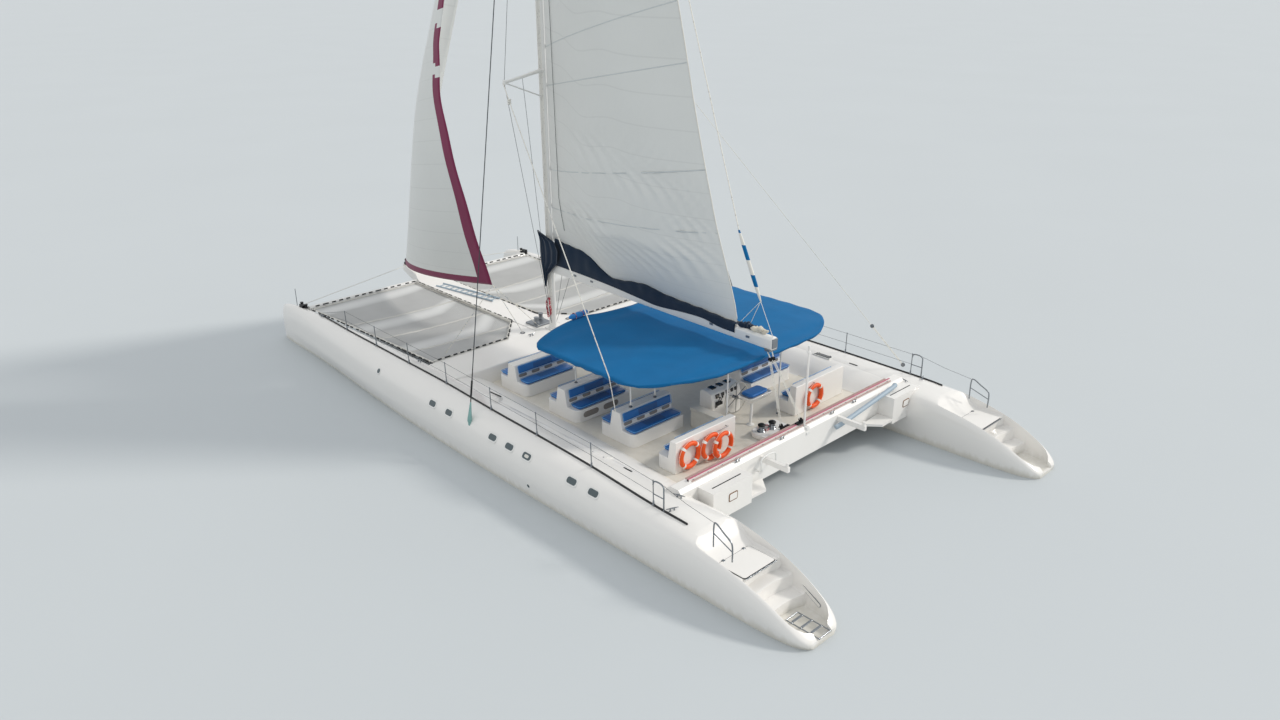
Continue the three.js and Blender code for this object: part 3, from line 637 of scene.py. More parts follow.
def polished_gelcoat():
    """Sprayed and polished polyester gelcoat: a wet gloss over faint print-through of the laminate,
    with a film of salt near the water."""
    material, tree, shader = new_finish("polished_gelcoat", 0.22, coat=0.5)
    shader.inputs["Coat Roughness"].default_value = 0.06
    tint, where = mottled(tree, colours().gelcoat, 1500, 0.02)
    height = add_node(tree, "ShaderNodeSeparateXYZ", Vector=where).outputs["Z"]
    streaks = add_node(tree, "ShaderNodeMapping", Vector=where, Scale=(6.0, 6.0, 0.7))
    wash = add_node(
        tree, "ShaderNodeTexNoise", Vector=streaks.outputs["Vector"], Scale=1.0, Detail=4.0)
    reach = add_node(
        tree, "ShaderNodeMath", {"operation": "MULTIPLY_ADD"}, _0=wash.outputs["Fac"], _1=0.5, _2=-0.02)
    low = add_node(
        tree, "ShaderNodeMapRange", {"interpolation_type": "SMOOTHSTEP"}, Value=height,
        From_Min=0.0, From_Max=reach.outputs["Value"], To_Min=0.45, To_Max=0.0)
    salted = add_node(
        tree, "ShaderNodeMix", {"data_type": "RGBA"}, Factor=low.outputs["Result"], _6=tint,
        _7=(*linear("#b9b39c"), 1))
    tree.links.new(salted.outputs[2], shader.inputs["Base Color"])
    waves = add_node(tree, "ShaderNodeTexNoise", Vector=where, Scale=per_metre(900), Detail=1.0)
    bumped(tree, shader, waves.outputs["Fac"], 3.0, 0.35)
    return material


def moulded_gelcoat():
    """Deck mouldings straight from the tool: satin white with a slow drift of tone and a fine grain."""
    return plain_finish(
        "moulded_gelcoat", tuple(colours().gelcoat), 0.34, 700, 0.025, 260, 0.8, coat=0.15)


def nonslip_gelcoat():
    """Gelcoat cast over a diamond-grit pattern, drawn at 14 mm so that it shows."""
    material, tree, shader = new_finish("nonslip_gelcoat", 0.62)
    tint, where = mottled(tree, colours().nonslip, 900, 0.05)
    scuff = add_node(tree, "ShaderNodeTexNoise", Vector=where, Scale=per_metre(180), Detail=6.0)
    worn = add_node(
        tree, "ShaderNodeMapRange", Value=scuff.outputs["Fac"], From_Min=0.45, From_Max=0.8,
        To_Min=0.0, To_Max=0.25)
    dusty = add_node(
        tree, "ShaderNodeMix", {"data_type": "RGBA"}, Factor=worn.outputs["Result"], _6=tint,
        _7=(*linear("#b8b0a0"), 1))
    tree.links.new(dusty.outputs[2], shader.inputs["Base Color"])
    grit = add_node(
        tree, "ShaderNodeTexVoronoi", {"distance": "CHEBYCHEV"}, Vector=where, Scale=per_metre(14))
    bumped(tree, shader, grit.outputs["Distance"], 1.2, 0.7)
    return material


def woven_net():
    """Open woven polyester net: 6 mm cords drawn every 30 mm so that they show, with paler wavy bands across it. The
    holes are left clear."""
    material, tree, shader = new_finish("woven_net", 0.75, sheen=0.1)
    where = add_node(tree, "ShaderNodeTexCoord").outputs["UV"]
    parts = add_node(tree, "ShaderNodeSeparateXYZ", Vector=where)
    cords = []
    for axis in "XY":
        phase = add_node(
            tree, "ShaderNodeMath", {"operation": "MULTIPLY"}, _0=parts.outputs[axis], _1=per_metre(30))
        saw = add_node(tree, "ShaderNodeMath", {"operation": "PINGPONG"}, _0=phase.outputs[0], _1=0.5)
        cords.append(saw.outputs[0])
    thick = add_node(tree, "ShaderNodeMath", {"operation": "MAXIMUM"}, _0=cords[0], _1=cords[1])
    solid = add_node(tree, "ShaderNodeMath", {"operation": "GREATER_THAN"}, _0=thick.outputs[0], _1=0.21)
    tree.links.new(solid.outputs[0], shader.inputs["Alpha"])
    band = add_node(
        tree, "ShaderNodeTexWave", {"bands_direction": "Y", "wave_profile": "SIN"}, Vector=where,
        Scale=0.12, Distortion=2.5, Detail=2.0, Detail_Scale=0.6)
    ripple = add_node(
        tree, "ShaderNodeMapRange", Value=band.outputs["Fac"], From_Min=0.7, From_Max=1.0)
    tint = mottled(tree, colours().net, 900, 0.12)[0]
    pale = add_node(
        tree, "ShaderNodeMix", {"data_type": "RGBA"}, Factor=ripple.outputs["Result"], _6=tint,
        _7=shaded(colours().net, 1.5))
    tree.links.new(pale.outputs[2], shader.inputs["Base Color"])
    bumped(tree, shader, thick.outputs[0], 4.0, 0.6)
    return material


def woven_cloth(name, value, thread_mm, sheen):
    """Plain-woven cloth whose threads are drawn at thread_mm, faded unevenly by the sun."""
    material, tree, shader = new_finish(name, 0.8, sheen=sheen)
    shader.inputs["Specular IOR Level"].default_value = 0.15
    tint, where = mottled(tree, value, 650, 0.12)
    tree.links.new(tint, shader.inputs["Base Color"])
    uv = add_node(tree, "ShaderNodeTexCoord").outputs["UV"]
    threads = [
        add_node(tree, "ShaderNodeTexWave", {"bands_direction": way}, Vector=uv,
                 Scale=per_metre(thread_mm) / 20).outputs["Fac"]
        for way in "XY"]
    crossed = add_node(tree, "ShaderNodeMath", {"operation": "MULTIPLY"}, _0=threads[0], _1=threads[1])
    folds = add_node(tree, "ShaderNodeTexNoise", Vector=where, Scale=per_metre(320), Detail=3.0)
    normal = bumped(tree, shader, folds.outputs["Fac"], 18.0, 0.35)
    bumped(tree, shader, crossed.outputs[0], 0.8, 0.5, normal)
    return material


def sailcloth(name):
    """Cross-cut woven polyester: stiff cloth in panels, with a doubled seam between them and fine
    creases."""
    material, tree, shader = new_finish(name, 0.55, sheen=0.15)
    value = colours().sail
    uv = add_node(tree, "ShaderNodeTexCoord").outputs["UV"]
    tint, where = mottled(tree, value, 2200, 0.05)
    rise = add_node(tree, "ShaderNodeSeparateXYZ", Vector=uv).outputs["Y"]
    panel = add_node(
        tree, "ShaderNodeMath", {"operation": "DIVIDE"}, _0=rise, _1=sizes().panel_height)
    saw = add_node(tree, "ShaderNodeMath", {"operation": "PINGPONG"}, _0=panel.outputs[0], _1=0.5)
    seam = add_node(
        tree, "ShaderNodeMapRange", Value=saw.outputs[0], From_Min=0.0, From_Max=0.035,
        To_Min=0.28, To_Max=0.0)
    stitched = add_node(
        tree, "ShaderNodeMix", {"data_type": "RGBA"}, Factor=seam.outputs["Result"], _6=tint,
        _7=shaded(value, 0.72))
    tree.links.new(stitched.outputs[2], shader.inputs["Base Color"])
    drawn = add_node(tree, "ShaderNodeMapping", Vector=where, Scale=(1.0, 1.0, 0.35))
    crease = add_node(
        tree, "ShaderNodeTexNoise", Vector=drawn.outputs["Vector"], Scale=1.6, Detail=5.0,
        Roughness=0.6)
    normal = bumped(tree, shader, crease.outputs["Fac"], 60.0, 0.4)
    bumped(tree, shader, saw.outputs[0], 8.0, 0.3, normal)
    return material


def stranded_wire():
    """Dyform stainless wire: dull grey with its strands wound round it."""
    material, tree, shader = new_finish("stranded_wire", 0.38, metallic=0.8)
    tint, where = mottled(tree, "#4b5054", 500, 0.15)
    tree.links.new(tint, shader.inputs["Base Color"])
    lay = add_node(
        tree, "ShaderNodeTexWave", {"bands_direction": "DIAGONAL"}, Vector=where, Scale=per_metre(18) / 20)
    bumped(tree, shader, lay.outputs["Fac"], 1.5, 0.6)
    return material


def braided_rope(name, value, fleck, share):
    """Braided polyester rope: matt, with a coloured fleck every 30 mm."""
    material, tree, shader = new_finish(name, 0.85, sheen=0.2)
    where = add_node(tree, "ShaderNodeTexCoord").outputs["Object"]
    braid = add_node(
        tree, "ShaderNodeTexVoronoi", {"feature": "F1"}, Vector=where, Scale=per_metre(30))
    picked = add_node(
        tree, "ShaderNodeMath", {"operation": "LESS_THAN"}, _0=braid.outputs["Color"], _1=share)
    mixed = add_node(
        tree, "ShaderNodeMix", {"data_type": "RGBA"}, Factor=picked.outputs[0],
        _6=(*linear(value), 1), _7=(*linear(fleck), 1))
    tree.links.new(mixed.outputs[2], shader.inputs["Base Color"])
    bumped(tree, shader, braid.outputs["Distance"], 1.5, 0.5)
    return material


_made = {}


def finish_of(kind, *details):
    """Each finish is made once and shared by its pieces."""
    key = (kind.__name__, details)
    if key not in _made:
        _made[key] = kind(*details)
    return _made[key]


def coated_vinyl(name, value, bright):
    """Coated marine vinyl over foam: soft leather grain drawn at 9 mm, with a low sheen."""
    material, tree, shader = new_finish(name, 0.42, coat=0.1, sheen=0.1)
    tint, where = mottled(tree, shaded(value, bright), 500, 0.08)
    tree.links.new(tint, shader.inputs["Base Color"])
    grain = add_node(tree, "ShaderNodeTexVoronoi", Vector=where, Scale=per_metre(9))
    pull = add_node(tree, "ShaderNodeTexNoise", Vector=where, Scale=per_metre(160), Detail=3.0)
    normal = bumped(tree, shader, pull.outputs["Fac"], 8.0, 0.4)
    bumped(tree, shader, grain.outputs["Distance"], 0.8, 0.4, normal)
    return material


def named_finishes():
    """The plain finishes, by their common names."""
    # Columns: name, colour, roughness, size and share of the drift, size and depth of the grain,
    # and what else the shader gets; sizes in millimetres
    rows = [
        # Polyester powder coat over extruded alloy: even satin white
        ("coated_alloy", "#e4e4e1", 0.38, 900, 0.03, 45, 0.15, {"coat": 0.1}),
        # Electropolished 316 tube: bright with soft smears
        ("polished_stainless", "#8a8f94", 0.22, 250, 0.03, 120, 0.15, {"metallic": 1.0}),
        # Anodised deck hardware: dull silver
        ("anodised_alloy", "#8d9297", 0.42, 120, 0.03, 6, 0.1, {"metallic": 0.9}),
        # Acetal and rubber fittings: near black, slightly glossy
        ("black_acetal", "#1b1d1f", 0.45, 150, 0.15, 8, 0.2, {}),
        # Dark capping of the toe rail: weathered black anodising
        ("toe_rail_black", "#2c2d2e", 0.5, 220, 0.2, 10, 0.2, {"metallic": 0.3}),
        # Smoked acrylic pane, rubbed by salt
        ("smoked_acrylic", "#11181c", 0.08, 300, 0.2, 300, 0.3, {"coat": 0.6}),
        # Rotomoulded polyethylene of the lifebuoys: waxy orange, slightly pebbled
        ("lifebuoy_shell", tuple(colours().buoy), 0.5, 200, 0.06, 12, 0.4, {}),
        # Retroreflective tape round the lifebuoys: white, beaded
        ("reflective_tape", "#eeeeea", 0.35, 80, 0.03, 5, 0.2, {}),
        # Sand-cast manganese bronze
        ("cast_bronze", "#9a7a46", 0.35, 60, 0.12, 9, 0.3, {"metallic": 1.0}),
        # Rolled antifouling: dead flat dark blue with roller stipple
        ("rolled_antifouling", "#26384d", 0.85, 300, 0.15, 14, 0.6, {}),
        # Polyester webbing: white, ribbed
        ("white_webbing", "#dedcd4", 0.8, 200, 0.08, 7, 0.5, {"sheen": 0.2}),
        # Track and car of the mainsheet: faded red anodising
        ("track_red", "#b5677a", 0.5, 300, 0.15, 20, 0.2, {"metallic": 0.1}),
        # PVC hose behind the beam: pale blue-grey
        ("grey_tube", "#9fb0bd", 0.45, 300, 0.03, 25, 0.2, {}),
        # Oiled teak strips
        ("teak", "#7a5a3c", 0.6, 60, 0.2, 12, 0.4, {}),
        # Glass of the instruments: dark, with a cold cast
        ("instrument_glass", "#0d1114", 0.06, 50, 0.2, 0, 0, {"coat": 0.8}),
        # Sewn double bands of the nets: a paler grey than the mesh
        ("net_band", "#c9c8c4", 0.85, 300, 0.08, 8, 0.4, {}),
        # Flat plates in the benches' hand holes: grey-brown painted shade of the open holes
        ("bench_slot", "#8d8781", 0.6, 80, 0.15, 10, 0.2, {}),
        # Moulded rubber cover on a shroud's foot: faded green
        ("shroud_cover", "#7fa9a5", 0.6, 120, 0.1, 6, 0.2, {}),
        # Panes of the topside: smoked acrylic greyed by salt and sun
        ("portlight_pane", "#48565a", 0.2, 120, 0.2, 200, 0.2, {"coat": 0.3}),
        # Worn rope and anodising along the track: faded rose
        ("track_rope", "#b79a94", 0.7, 150, 0.15, 12, 0.3, {}),
        # Enamelled winch drums and clutches: satin black
        ("satin_black", "#222426", 0.4, 60, 0.1, 5, 0.1, {"metallic": 0.4}),
        # Doubled cloth of the batten pockets: the sail's own white, a tone darker
        ("seam_tape", "#c9cfcf", 0.65, 400, 0.03, 12, 0.2, {"sheen": 0.1}),
        # Matt painted studio floor
        ("studio_floor", "#c3c9cc", 0.7, 9000, 0.02, 0, 0, {}),
    ]
    return {name: plain_finish(name, *given, **shine) for name, *given, shine in rows}


def finish(name):
    """A plain finish by its name."""
    if name not in _made:
        _made.update(named_finishes())
    return _made[name]


def vinyl(name):
    """A coated vinyl by its name."""
    # Columns: colour, how bright it is
    kinds = {
        "blue_vinyl": (tuple(colours().vinyl), 1.0),
        # Middle of each pad: darker
        "blue_vinyl_worn": (tuple(colours().vinyl), 0.62),
        "piping_vinyl": (tuple(colours().piping), 1.0),
        # Pale leather stitched round the wheel
        "wheel_leather": (linear("#c9c6bd"), 1.0),
    }
    return finish_of(coated_vinyl, name, *kinds[name])


def cloth(name):
    """A woven cloth by its name."""
    # Columns: colour, thread in millimetres, sheen
    kinds = {
        # Solution-dyed acrylic of the canopy: matt, faded by the sun
        "acrylic_canvas": (tuple(colours().canopy), 8, 0.03),
        # Rolled-up canvas at the canopy's fore edge: brighter blue
        "bundle_canvas": ("#2f7fc4", 8, 0.25),
        # Dark acrylic of the boom's bag
        "bag_canvas": (tuple(colours().bag), 8, 0.2),
        # Its spare folds turned inside out: pale
        "pale_canvas": ("#c9c3b4", 8, 0.2),
        # Sun strip sewn on the jib: finer and wine-coloured
        "sun_strip": (tuple(colours().strip), 6, 0.2),
    }
    return finish_of(woven_cloth, name, *kinds[name])


# Columns: colour, fleck and the share of the fleck
ROPES = {
    "white_rope": ("#e6e4dc", "#c3c2ba", 0.2),
    "red_rope": ("#b2384a", "#e6d8d4", 0.35),
    "sheet_rope": ("#d8d4c8", "#8f9aa5", 0.35),
    "grab_rope": ("#e9e4d8", "#cfc8b8", 0.35),
}


def rope(name):
    """A braided rope by its name."""
    return finish_of(braided_rope, name, *ROPES[name])


# Hulls

# Columns: x, keel line, half beam at the waterline, greatest half beam, top
STATIONS = [
    (12.0, -0.26, 0.03, 0.045, 0.98), (11.9, -0.36, 0.085, 0.105, 1.18),
    (11.6, -0.47, 0.11, 0.165, 1.33), (10.9, -0.59, 0.14, 0.23, 1.44),
    (9.6, -0.71, 0.17, 0.33, 1.49), (7.8, -0.8, 0.26, 0.46, 1.5), (5.6, -0.86, 0.42, 0.61, 1.5),
    (3.0, -0.88, 0.585, 0.73, 1.5), (0.0, -0.88, 0.675, 0.79, 1.49),
    (-3.0, -0.85, 0.705, 0.82, 1.47), (-6.0, -0.77, 0.705, 0.83, 1.44),
    (-8.0, -0.66, 0.705, 0.82, 1.39), (-9.2, -0.56, 0.7, 0.8, 1.27),
    (-10.2, -0.44, 0.685, 0.775, 1.07), (-10.9, -0.34, 0.66, 0.74, 0.82),
    (-11.5, -0.24, 0.6, 0.675, 0.5), (-11.75, -0.19, 0.52, 0.6, 0.33), (-11.9, -0.155, 0.42, 0.5, 0.21),
    (-11.95, -0.14, 0.34, 0.42, 0.16),
]
# Columns: share of the half beam, share of the freeboard, the same at the stern
OUTER_TOP = [(0.98, 0.3, 0.36), (1, 0.45, 0.6), (0.97, 0.63, 0.8), (0.88, 0.77, 0.91),
             (0.7, 0.885, 0.97), (0.45, 0.97, 1), (0.22, 1.01, 1.012)]
STERN_FROM = -7.0  # the section changes over the next two metres aft
INNER_TOP = [(0, 1.01, 1.01), (0.3, 0.995, 1.01), (0.55, 0.955, 1.0), (0.76, 0.87, 0.98),
             (0.91, 0.73, 0.91), (0.98, 0.52, 0.66)]
# Columns: share of the half beam at the waterline, share of the keel's depth
BILGE = [(0.62, 0.86), (0.93, 0.42), (1, 0)]
# Floor of the scoop in the stern: x, height
SCOOP = [(-11.87, 0.08), (-11.02, 0.08), (-10.99, 0.33), (-10.64, 0.33), (-10.61, 0.62),
         (-10.29, 0.62), (-10.26, 0.88), (-9.52, 0.88), (-9.3, 0.98), (-9.05, 1.17), (-8.85, 1.33),
         (-8.78, 1.6)]
SCOOP_SHARE = 0.85  # of the hull's half beam
SCOOP_BOW = 0.12  # how far the risers curve
SCOOP_BOWED = (-11.1, -10.2)  # x between which they do
SCOOP_END = -11.35  # x aft of which the scoop's plan is rounded
SCOOP_LID = 1.8  # height up to which it cuts
# Notch for the ladder's end: x, half width, z
LADDER_NOTCH = {"x": (-12.2, -11.8), "half": 0.24, "z": (0.1, 1)}
KEEL_FOOT, KEEL_HEAD = -1.35, -0.7
SHAFT_Z = -1.08
DRIVE_HEAD = -0.56
DRIVE_X = (-7.2, -7.69)  # ends of the drive's pod


def hull_at(x):
    """Greatest half beam and top of the hull at x."""
    _, _, beam, top = along(STATIONS, x)
    return beam, top


def hull_ring(x, side):
    """Section of a hull at x, from the keel line up outboard and down inboard."""
    keel, waterline, beam, top = along(STATIONS, x)
    below = [(waterline * u, keel * w) for u, w in BILGE]
    share = min(max((STERN_FROM - x) / 2, 0), 1)
    outer = [(beam * u, top * (w + (stern - w) * share)) for u, w, stern in OUTER_TOP]
    inner = [(-beam * u, top * (w + (stern - w) * share)) for u, w, stern in INNER_TOP]
    ring = [(0, keel), *below, *outer, *inner, *[(-y, z) for y, z in reversed(below)]]
    points = spline([(x, side * (HULL_Y + y), z) for y, z in ring], 2, closed=True)
    return points + points[:1]


def hull_shell(side):
    """One hull without its steps, drawn through the stations with finer rows at the ends."""
    spans = [(12.0, 11.4, 8), (11.4, 9.6, 8), (9.6, -8.6, 52), (-8.6, -11.4, 16), (-11.4, -11.95, 11)]
    xs = [a + (b - a) * k / n for a, b, n in spans for k in range(n)] + [-11.95]
    return skin([hull_ring(x, side) for x in xs], closed=True, caps=True)


def scoop(side):
    """The hollow of the stern steps: upright walls, a rounded foot and curved risers."""
    # Columns: share of the half width, height over the floor
    half_section = [(0.35, 0), (0.7, 0), (0.93, 0.012), (0.985, 0.05), (1, 0.13)]
    section = [*[(-u, up) for u, up in reversed(half_section)], (0, 0), *half_section]
    rows = []
    for (xa, za), (xb, zb) in zip(SCOOP, SCOOP[1:]):
        count = max(2, round((xb - xa) / 0.12))
        for k in range(count + (xb == SCOOP[-1][0])):
            x, floor = xa + (xb - xa) * k / count, za + (zb - za) * k / count
            rounded = min(1, max(0, (SCOOP_END - x) / (SCOOP_END - SCOOP[0][0])))
            half = hull_at(x)[0] * SCOOP_SHARE * max(0.1, 1 - rounded ** 3) ** 0.4
            ring = [(-1, SCOOP_LID), *[(u, floor + up) for u, up in section], (1, SCOOP_LID)]
            bow = SCOOP_BOW if SCOOP_BOWED[0] < x < SCOOP_BOWED[1] else 0
            rows.append([(x + bow * (1 - u * u), side * HULL_Y + half * u,
                          min(z, SCOOP_LID - 0.001 * (1 - abs(u)))) for u, z in ring + ring[:1]])
    return skin(rows, closed=True, caps=True)


_skins = {}


def hull_skin(side):
    """A tree for finding points on a hull's skin."""
    if side not in _skins:
        bm = hull_shell(side)
        _skins[side] = BVHTree.FromBMesh(bm)
        bm.free()
    return _skins[side]


def on_topside(x, z, side):
    """The point on the outboard topside at x and z."""
    spot = hull_skin(side).ray_cast(Vector((x, side * 8, z)), Vector((0, -side, 0)))[0]
    if spot is None:
        raise RuntimeError(f"no topside at x {x:.2f}, z {z:.2f}")
    return spot


def on_deck(x, y):
    """The point on a hull's deck at x and y."""
    side = 1 if y > 0 else -1
    spot = hull_skin(side).ray_cast(Vector((x, y, 4)), Vector((0, 0, -1)))[0]
    if spot is None:
        raise RuntimeError(f"no deck at x {x:.2f}, y {y:.2f}")
    return spot


def keel_fin(side):
    """Stub keel: a symmetric foil with rounded ends."""
    foil = [(1.5, 0), (1.25, 0.07), (0.8, 0.1), (0, 0.112), (-0.9, 0.1), (-1.7, 0.05), (-2.3, 0)]
    return prism(foil_plan(foil, 4, side * HULL_Y), "z", KEEL_FOOT, KEEL_HEAD)


def foil_plan(foil, per_span, middle):
    """Plan of a symmetric foil from the points of its one side."""
    ring = spline([(x, y, 0) for x, y in foil], per_span)
    return [(p.x, middle + p.y) for p in ring] + [(p.x, middle - p.y) for p in reversed(ring[1:-1])]


def drive_leg(side):
    """Drive leg and the pod of its shaft."""
    y = side * HULL_Y
    foil = [(-7.25, 0), (-7.29, 0.035), (-7.4, 0.055), (-7.56, 0.04), (-7.65, 0)]
    pod = [(0, 0), (0.05, 0.02), (0.075, 0.08), (0.078, 0.3), (0.065, 0.44), (0.058, 0.49), (0, 0.49)]
    return [prism(foil_plan(foil, 3, y), "z", SHAFT_Z, DRIVE_HEAD),
            turned(pod, (DRIVE_X[0], y, SHAFT_Z), (DRIVE_X[1], y, SHAFT_Z))]


class CATAMARAN_OT_hulls(bpy.types.Operator):
    """Hulls with their stern steps, stub keels and drive legs"""
    bl_idname = "catamaran.hulls"
    bl_label = "Hulls"

    def execute(self, context):
        for name, side in SIDES.items():
            hull = piece(
                f"hull_shell_{name}", hull_shell(side), finish_of(polished_gelcoat),
                slot="hull_gelcoat", replaces=[f"hull_{name}"])
            (x0, x1), half, (z0, z1) = LADDER_NOTCH.values()
            notch = box((x0, side * HULL_Y - half, z0), (x1, side * HULL_Y + half, z1))
            carve(hull, [scoop(side), notch])
            round_edges(hull, 0.02, 3)
            piece(f"keel_fin_{name}", keel_fin(side), finish("rolled_antifouling"),
                  slot="antifouling", bevel=0.03, segments=3)
            piece(f"drive_leg_{name}", drive_leg(side), finish("rolled_antifouling"),
                  slot="antifouling", bevel=0.008)
        return {"FINISHED"}


# Bridge deck, nets and beams

# Columns: x, half width of the floor, y and z half way up the coaming, y and z of its shoulder
COAMING = [
    (1.43, 3.3, 3.76, 1.27, 4.2, 1.43), (-4.1, 3.5, 3.88, 1.24, 4.26, 1.4),
    (-7.18, 3.7, 4.08, 1.22, 4.45, 1.36),
]
DECK_HALF = 4.6


def deck_ring(x):
    """Section of the cockpit: wet deck, coamings and floor."""
    floor, mid_y, mid_z, top_y, top_z = along(COAMING, x)
    rise = spline([(x, floor - 0.02, SOLE), (x, floor + 0.06, SOLE + 0.015), (x, mid_y, mid_z),
                   (x, top_y, top_z), (x, DECK_HALF, top_z + 0.02)], 4)
    half = [(x, 0, WET_DECK), (x, DECK_HALF - 0.4, WET_DECK), (x, DECK_HALF, WET_DECK + 0.1)]
    port = [Vector(p) for p in half] + list(reversed(rise)) + [Vector((x, 0, SOLE))]
    starboard = [Vector((p.x, -p.y, p.z)) for p in reversed(port)]
    return port + starboard


def cockpit():
    """Cockpit moulding, its floor painted as non-slip."""
    fore, count = COAMING[0][0], 24
    xs = [fore + (SOLE_AFT - fore) * k / count for k in range(count + 1)]
    bm = skin([deck_ring(x) for x in xs], closed=True, caps=True)
    return paint(bm, 1, lambda f: f.normal.z > 0.9 and f.calc_center_median().z < SOLE + 0.03)


def foredeck():
    """Block of the foredeck, under the mast's foot."""
    outline = [(SOLE_FWD, WET_DECK), (FOREDECK_FWD, WET_DECK), (FOREDECK_FWD, FOREDECK_TOP),
               (SOLE_FWD, FOREDECK_TOP)]
    return prism(outline, "y", -DECK_HALF, DECK_HALF)


class CATAMARAN_OT_deck(bpy.types.Operator):
    """Bridge deck, foredeck, spine, beams and aft lockers"""
    bl_idname = "catamaran.deck"
    bl_label = "Bridge deck"

    def execute(self, context):
        gelcoat, nonslip = finish_of(moulded_gelcoat), finish_of(nonslip_gelcoat)
        piece("cockpit_moulding", cockpit(), [gelcoat, nonslip], slot="sole_nonslip",
              replaces=["bridge_deck"], crease=60)
        root = FOREDECK_FWD - 0.06
        corners = [prism([(root, side * 0.5), (NET_AFT_IN[0] + 0.06, side * 0.5),
                          (root, side * (NET_AFT_MID[1] + 0.08))], "z", 1.36, FOREDECK_TOP)
                   for side in SIDES.values()]
        piece("foredeck_moulding", [foredeck(), *corners], gelcoat, slot="deck_gelcoat",
              bevel=0.05, segments=4)
        for node in ("spine", "aft_beam", "aft_locker_port", "aft_locker_starboard"):
            round_node(node, 0.02)
            dress_node(node, gelcoat)
        round_node("bow_beam", 0.004)
        dress_node("bow_beam", finish("coated_alloy"))
        return {"FINISHED"}


def dress_node(node, given):
    """Gives a CAD node that stays a finish."""
    for entry in frame["nodes"][node].material_slots:
        entry.material = given


def round_node(node, width):
    """Rounds the hard edges of a CAD node with modifiers, its mesh untouched."""
    obj = frame["nodes"][node]
    weld = obj.modifiers.new("weld", "WELD")
    weld.merge_threshold = 0.0002
    add_bevel(obj, width, 3, 35)


NET_Z = 1.44
NET_AFT, NET_FWD, NET_IN = 2.98, 10.1, 0.54  # x of the ends, y of the inner edge
NET_AFT_MID, NET_AFT_IN = (2.98, 1.6), (4.17, 0.54)  # the corner cut off beside the mast
NET_SEAMS = (3.95, 5.6, 7.4)  # x of the sewn bands
NET_WIDE = 3.8  # first guess at the width, before the hull's edge is found
NET_STEPS = 60  # points along each edge
LACING_GAP = 0.3


def net_point(side, u, v, up=0.0):
    """Point on a net: u from its aft edge forward, v from its inner edge outboard."""
    y = NET_IN + NET_WIDE * v
    for _ in range(3):
        cut_off = max(0, NET_AFT_MID[1] - y) / (NET_AFT_MID[1] - NET_AFT_IN[1])
        aft = NET_AFT + (NET_AFT_IN[0] - NET_AFT) * cut_off
        x = aft + (NET_FWD - aft) * u
        y = NET_IN + (HULL_Y - hull_at(x)[0] * 0.8 - NET_IN) * v
    sag = sizes().net_sag * 16 * u * (1 - u) * v * (1 - v)
    return Vector((x, side * y, NET_Z - sag + up))


def net_sheet(side):
    """A net stretched between hull, spine and beams, sagging towards its middle."""
    rows = []
    for i in range(41):
        row = [net_point(side, i / 40, j / 24) for j in range(25)]
        rows.append(row if side > 0 else row[::-1])
    return skin(rows, cut=(3.9, 7.12))


class CATAMARAN_OT_nets(bpy.types.Operator):
    """Foredeck nets with their webbing and lacing"""
    bl_idname = "catamaran.nets"
    bl_label = "Nets"

    def execute(self, context):
        for name, side in SIDES.items():
            net = piece(f"net_{name}", net_sheet(side), finish_of(woven_net), slot="net",
                        replaces=[f"trampoline_{name}"], solid=0.006)
            held_sheet(net, (4.2, 7.2), "stretched", ["spine", "bow_beam"])
            net_edges(name, side)
        return {"FINISHED"}


def net_edges(name, side):
    """White webbing and sewn bands of a net, and the lacing that holds it to the deck."""
    shares = [k / NET_STEPS for k in range(NET_STEPS + 1)]
    inner, outer = ([net_point(side, u, v, 0.008) for u in shares] for v in (0, 1))
    aft, fwd = ([net_point(side, u, v, 0.008) for v in shares] for u in (0, 1))
    strips = [ribbon(run, 0.075) for run in (inner, outer, aft, fwd)]
    piece(f"net_webbing_{name}", strips, finish("white_webbing"), slot="net", solid=0.008)
    bands = []
    for x in NET_SEAMS:
        run = []
        for k in range(31):
            v = 0.01 + 0.98 * k / 30
            near = min(range(201), key=lambda i: abs(net_point(side, i / 200, v).x - x - 0.3 * v))
            run.append(net_point(side, near / 200, v, 0.006))
        bands.append(ribbon(run, 0.13))
    piece(f"net_bands_{name}", bands, finish("net_band"), slot="net", solid=0.004)
    lacing = []
    top = UP * 0.075
    for run in (inner, aft, fwd, outer):
        length = sum((q - p).length for p, q in zip(run, run[1:]))
        count = round(length / LACING_GAP)
        for k in range(count):
            p, q = (run[round(t / count * NET_STEPS)] for t in (k, min(k + 0.5, count)))
            way = (q - p).normalized()
            out = Vector((-way.y, way.x, 0))
            away = (p - net_point(side, 0.5, 0.5)).dot(out)
            out *= (0.05 if run is outer else 0.03) * (1 if away > 0 else -1)
            lacing.append([p + out + top * (run is not outer), q + out + top * (run is not outer)])
    lines(f"net_lacing_{name}", lacing, 0.05, finish("black_acetal"), slot="net", sides=1)
    cord = [[p + top * 0.9 for p in inner + aft[1:]]]
    lines(f"net_edge_rope_{name}", cord, 0.03, finish("white_webbing"), slot="net", sides=1)


def ribbon(run, wide):
    """A flat strip along a run of points."""
    left, right = [], []
    for k, p in enumerate(run):
        way = (run[min(k + 1, len(run) - 1)] - run[max(k - 1, 0)]).normalized()
        out = Vector((-way.y, way.x, 0)) * wide / 2
        left.append(p - out)
        right.append(p + out)
    return skin([left, right], cut=(7, wide))


# Benches and cushions

# Columns: x, outboard end
BENCH_ROWS = [(0.45, 3.29), (-1.875, 3.35), (-3.985, 3.25)]
BENCH_IN = 1.4
BENCH_CORNER = 0.17
SEAT_EDGE, BACK_EDGE = 0.24, 0.15  # half width of the back moulding at the seat and at its top
FOOT = SOLE + 0.0005  # a hair over the sole, so that no faces share a plane
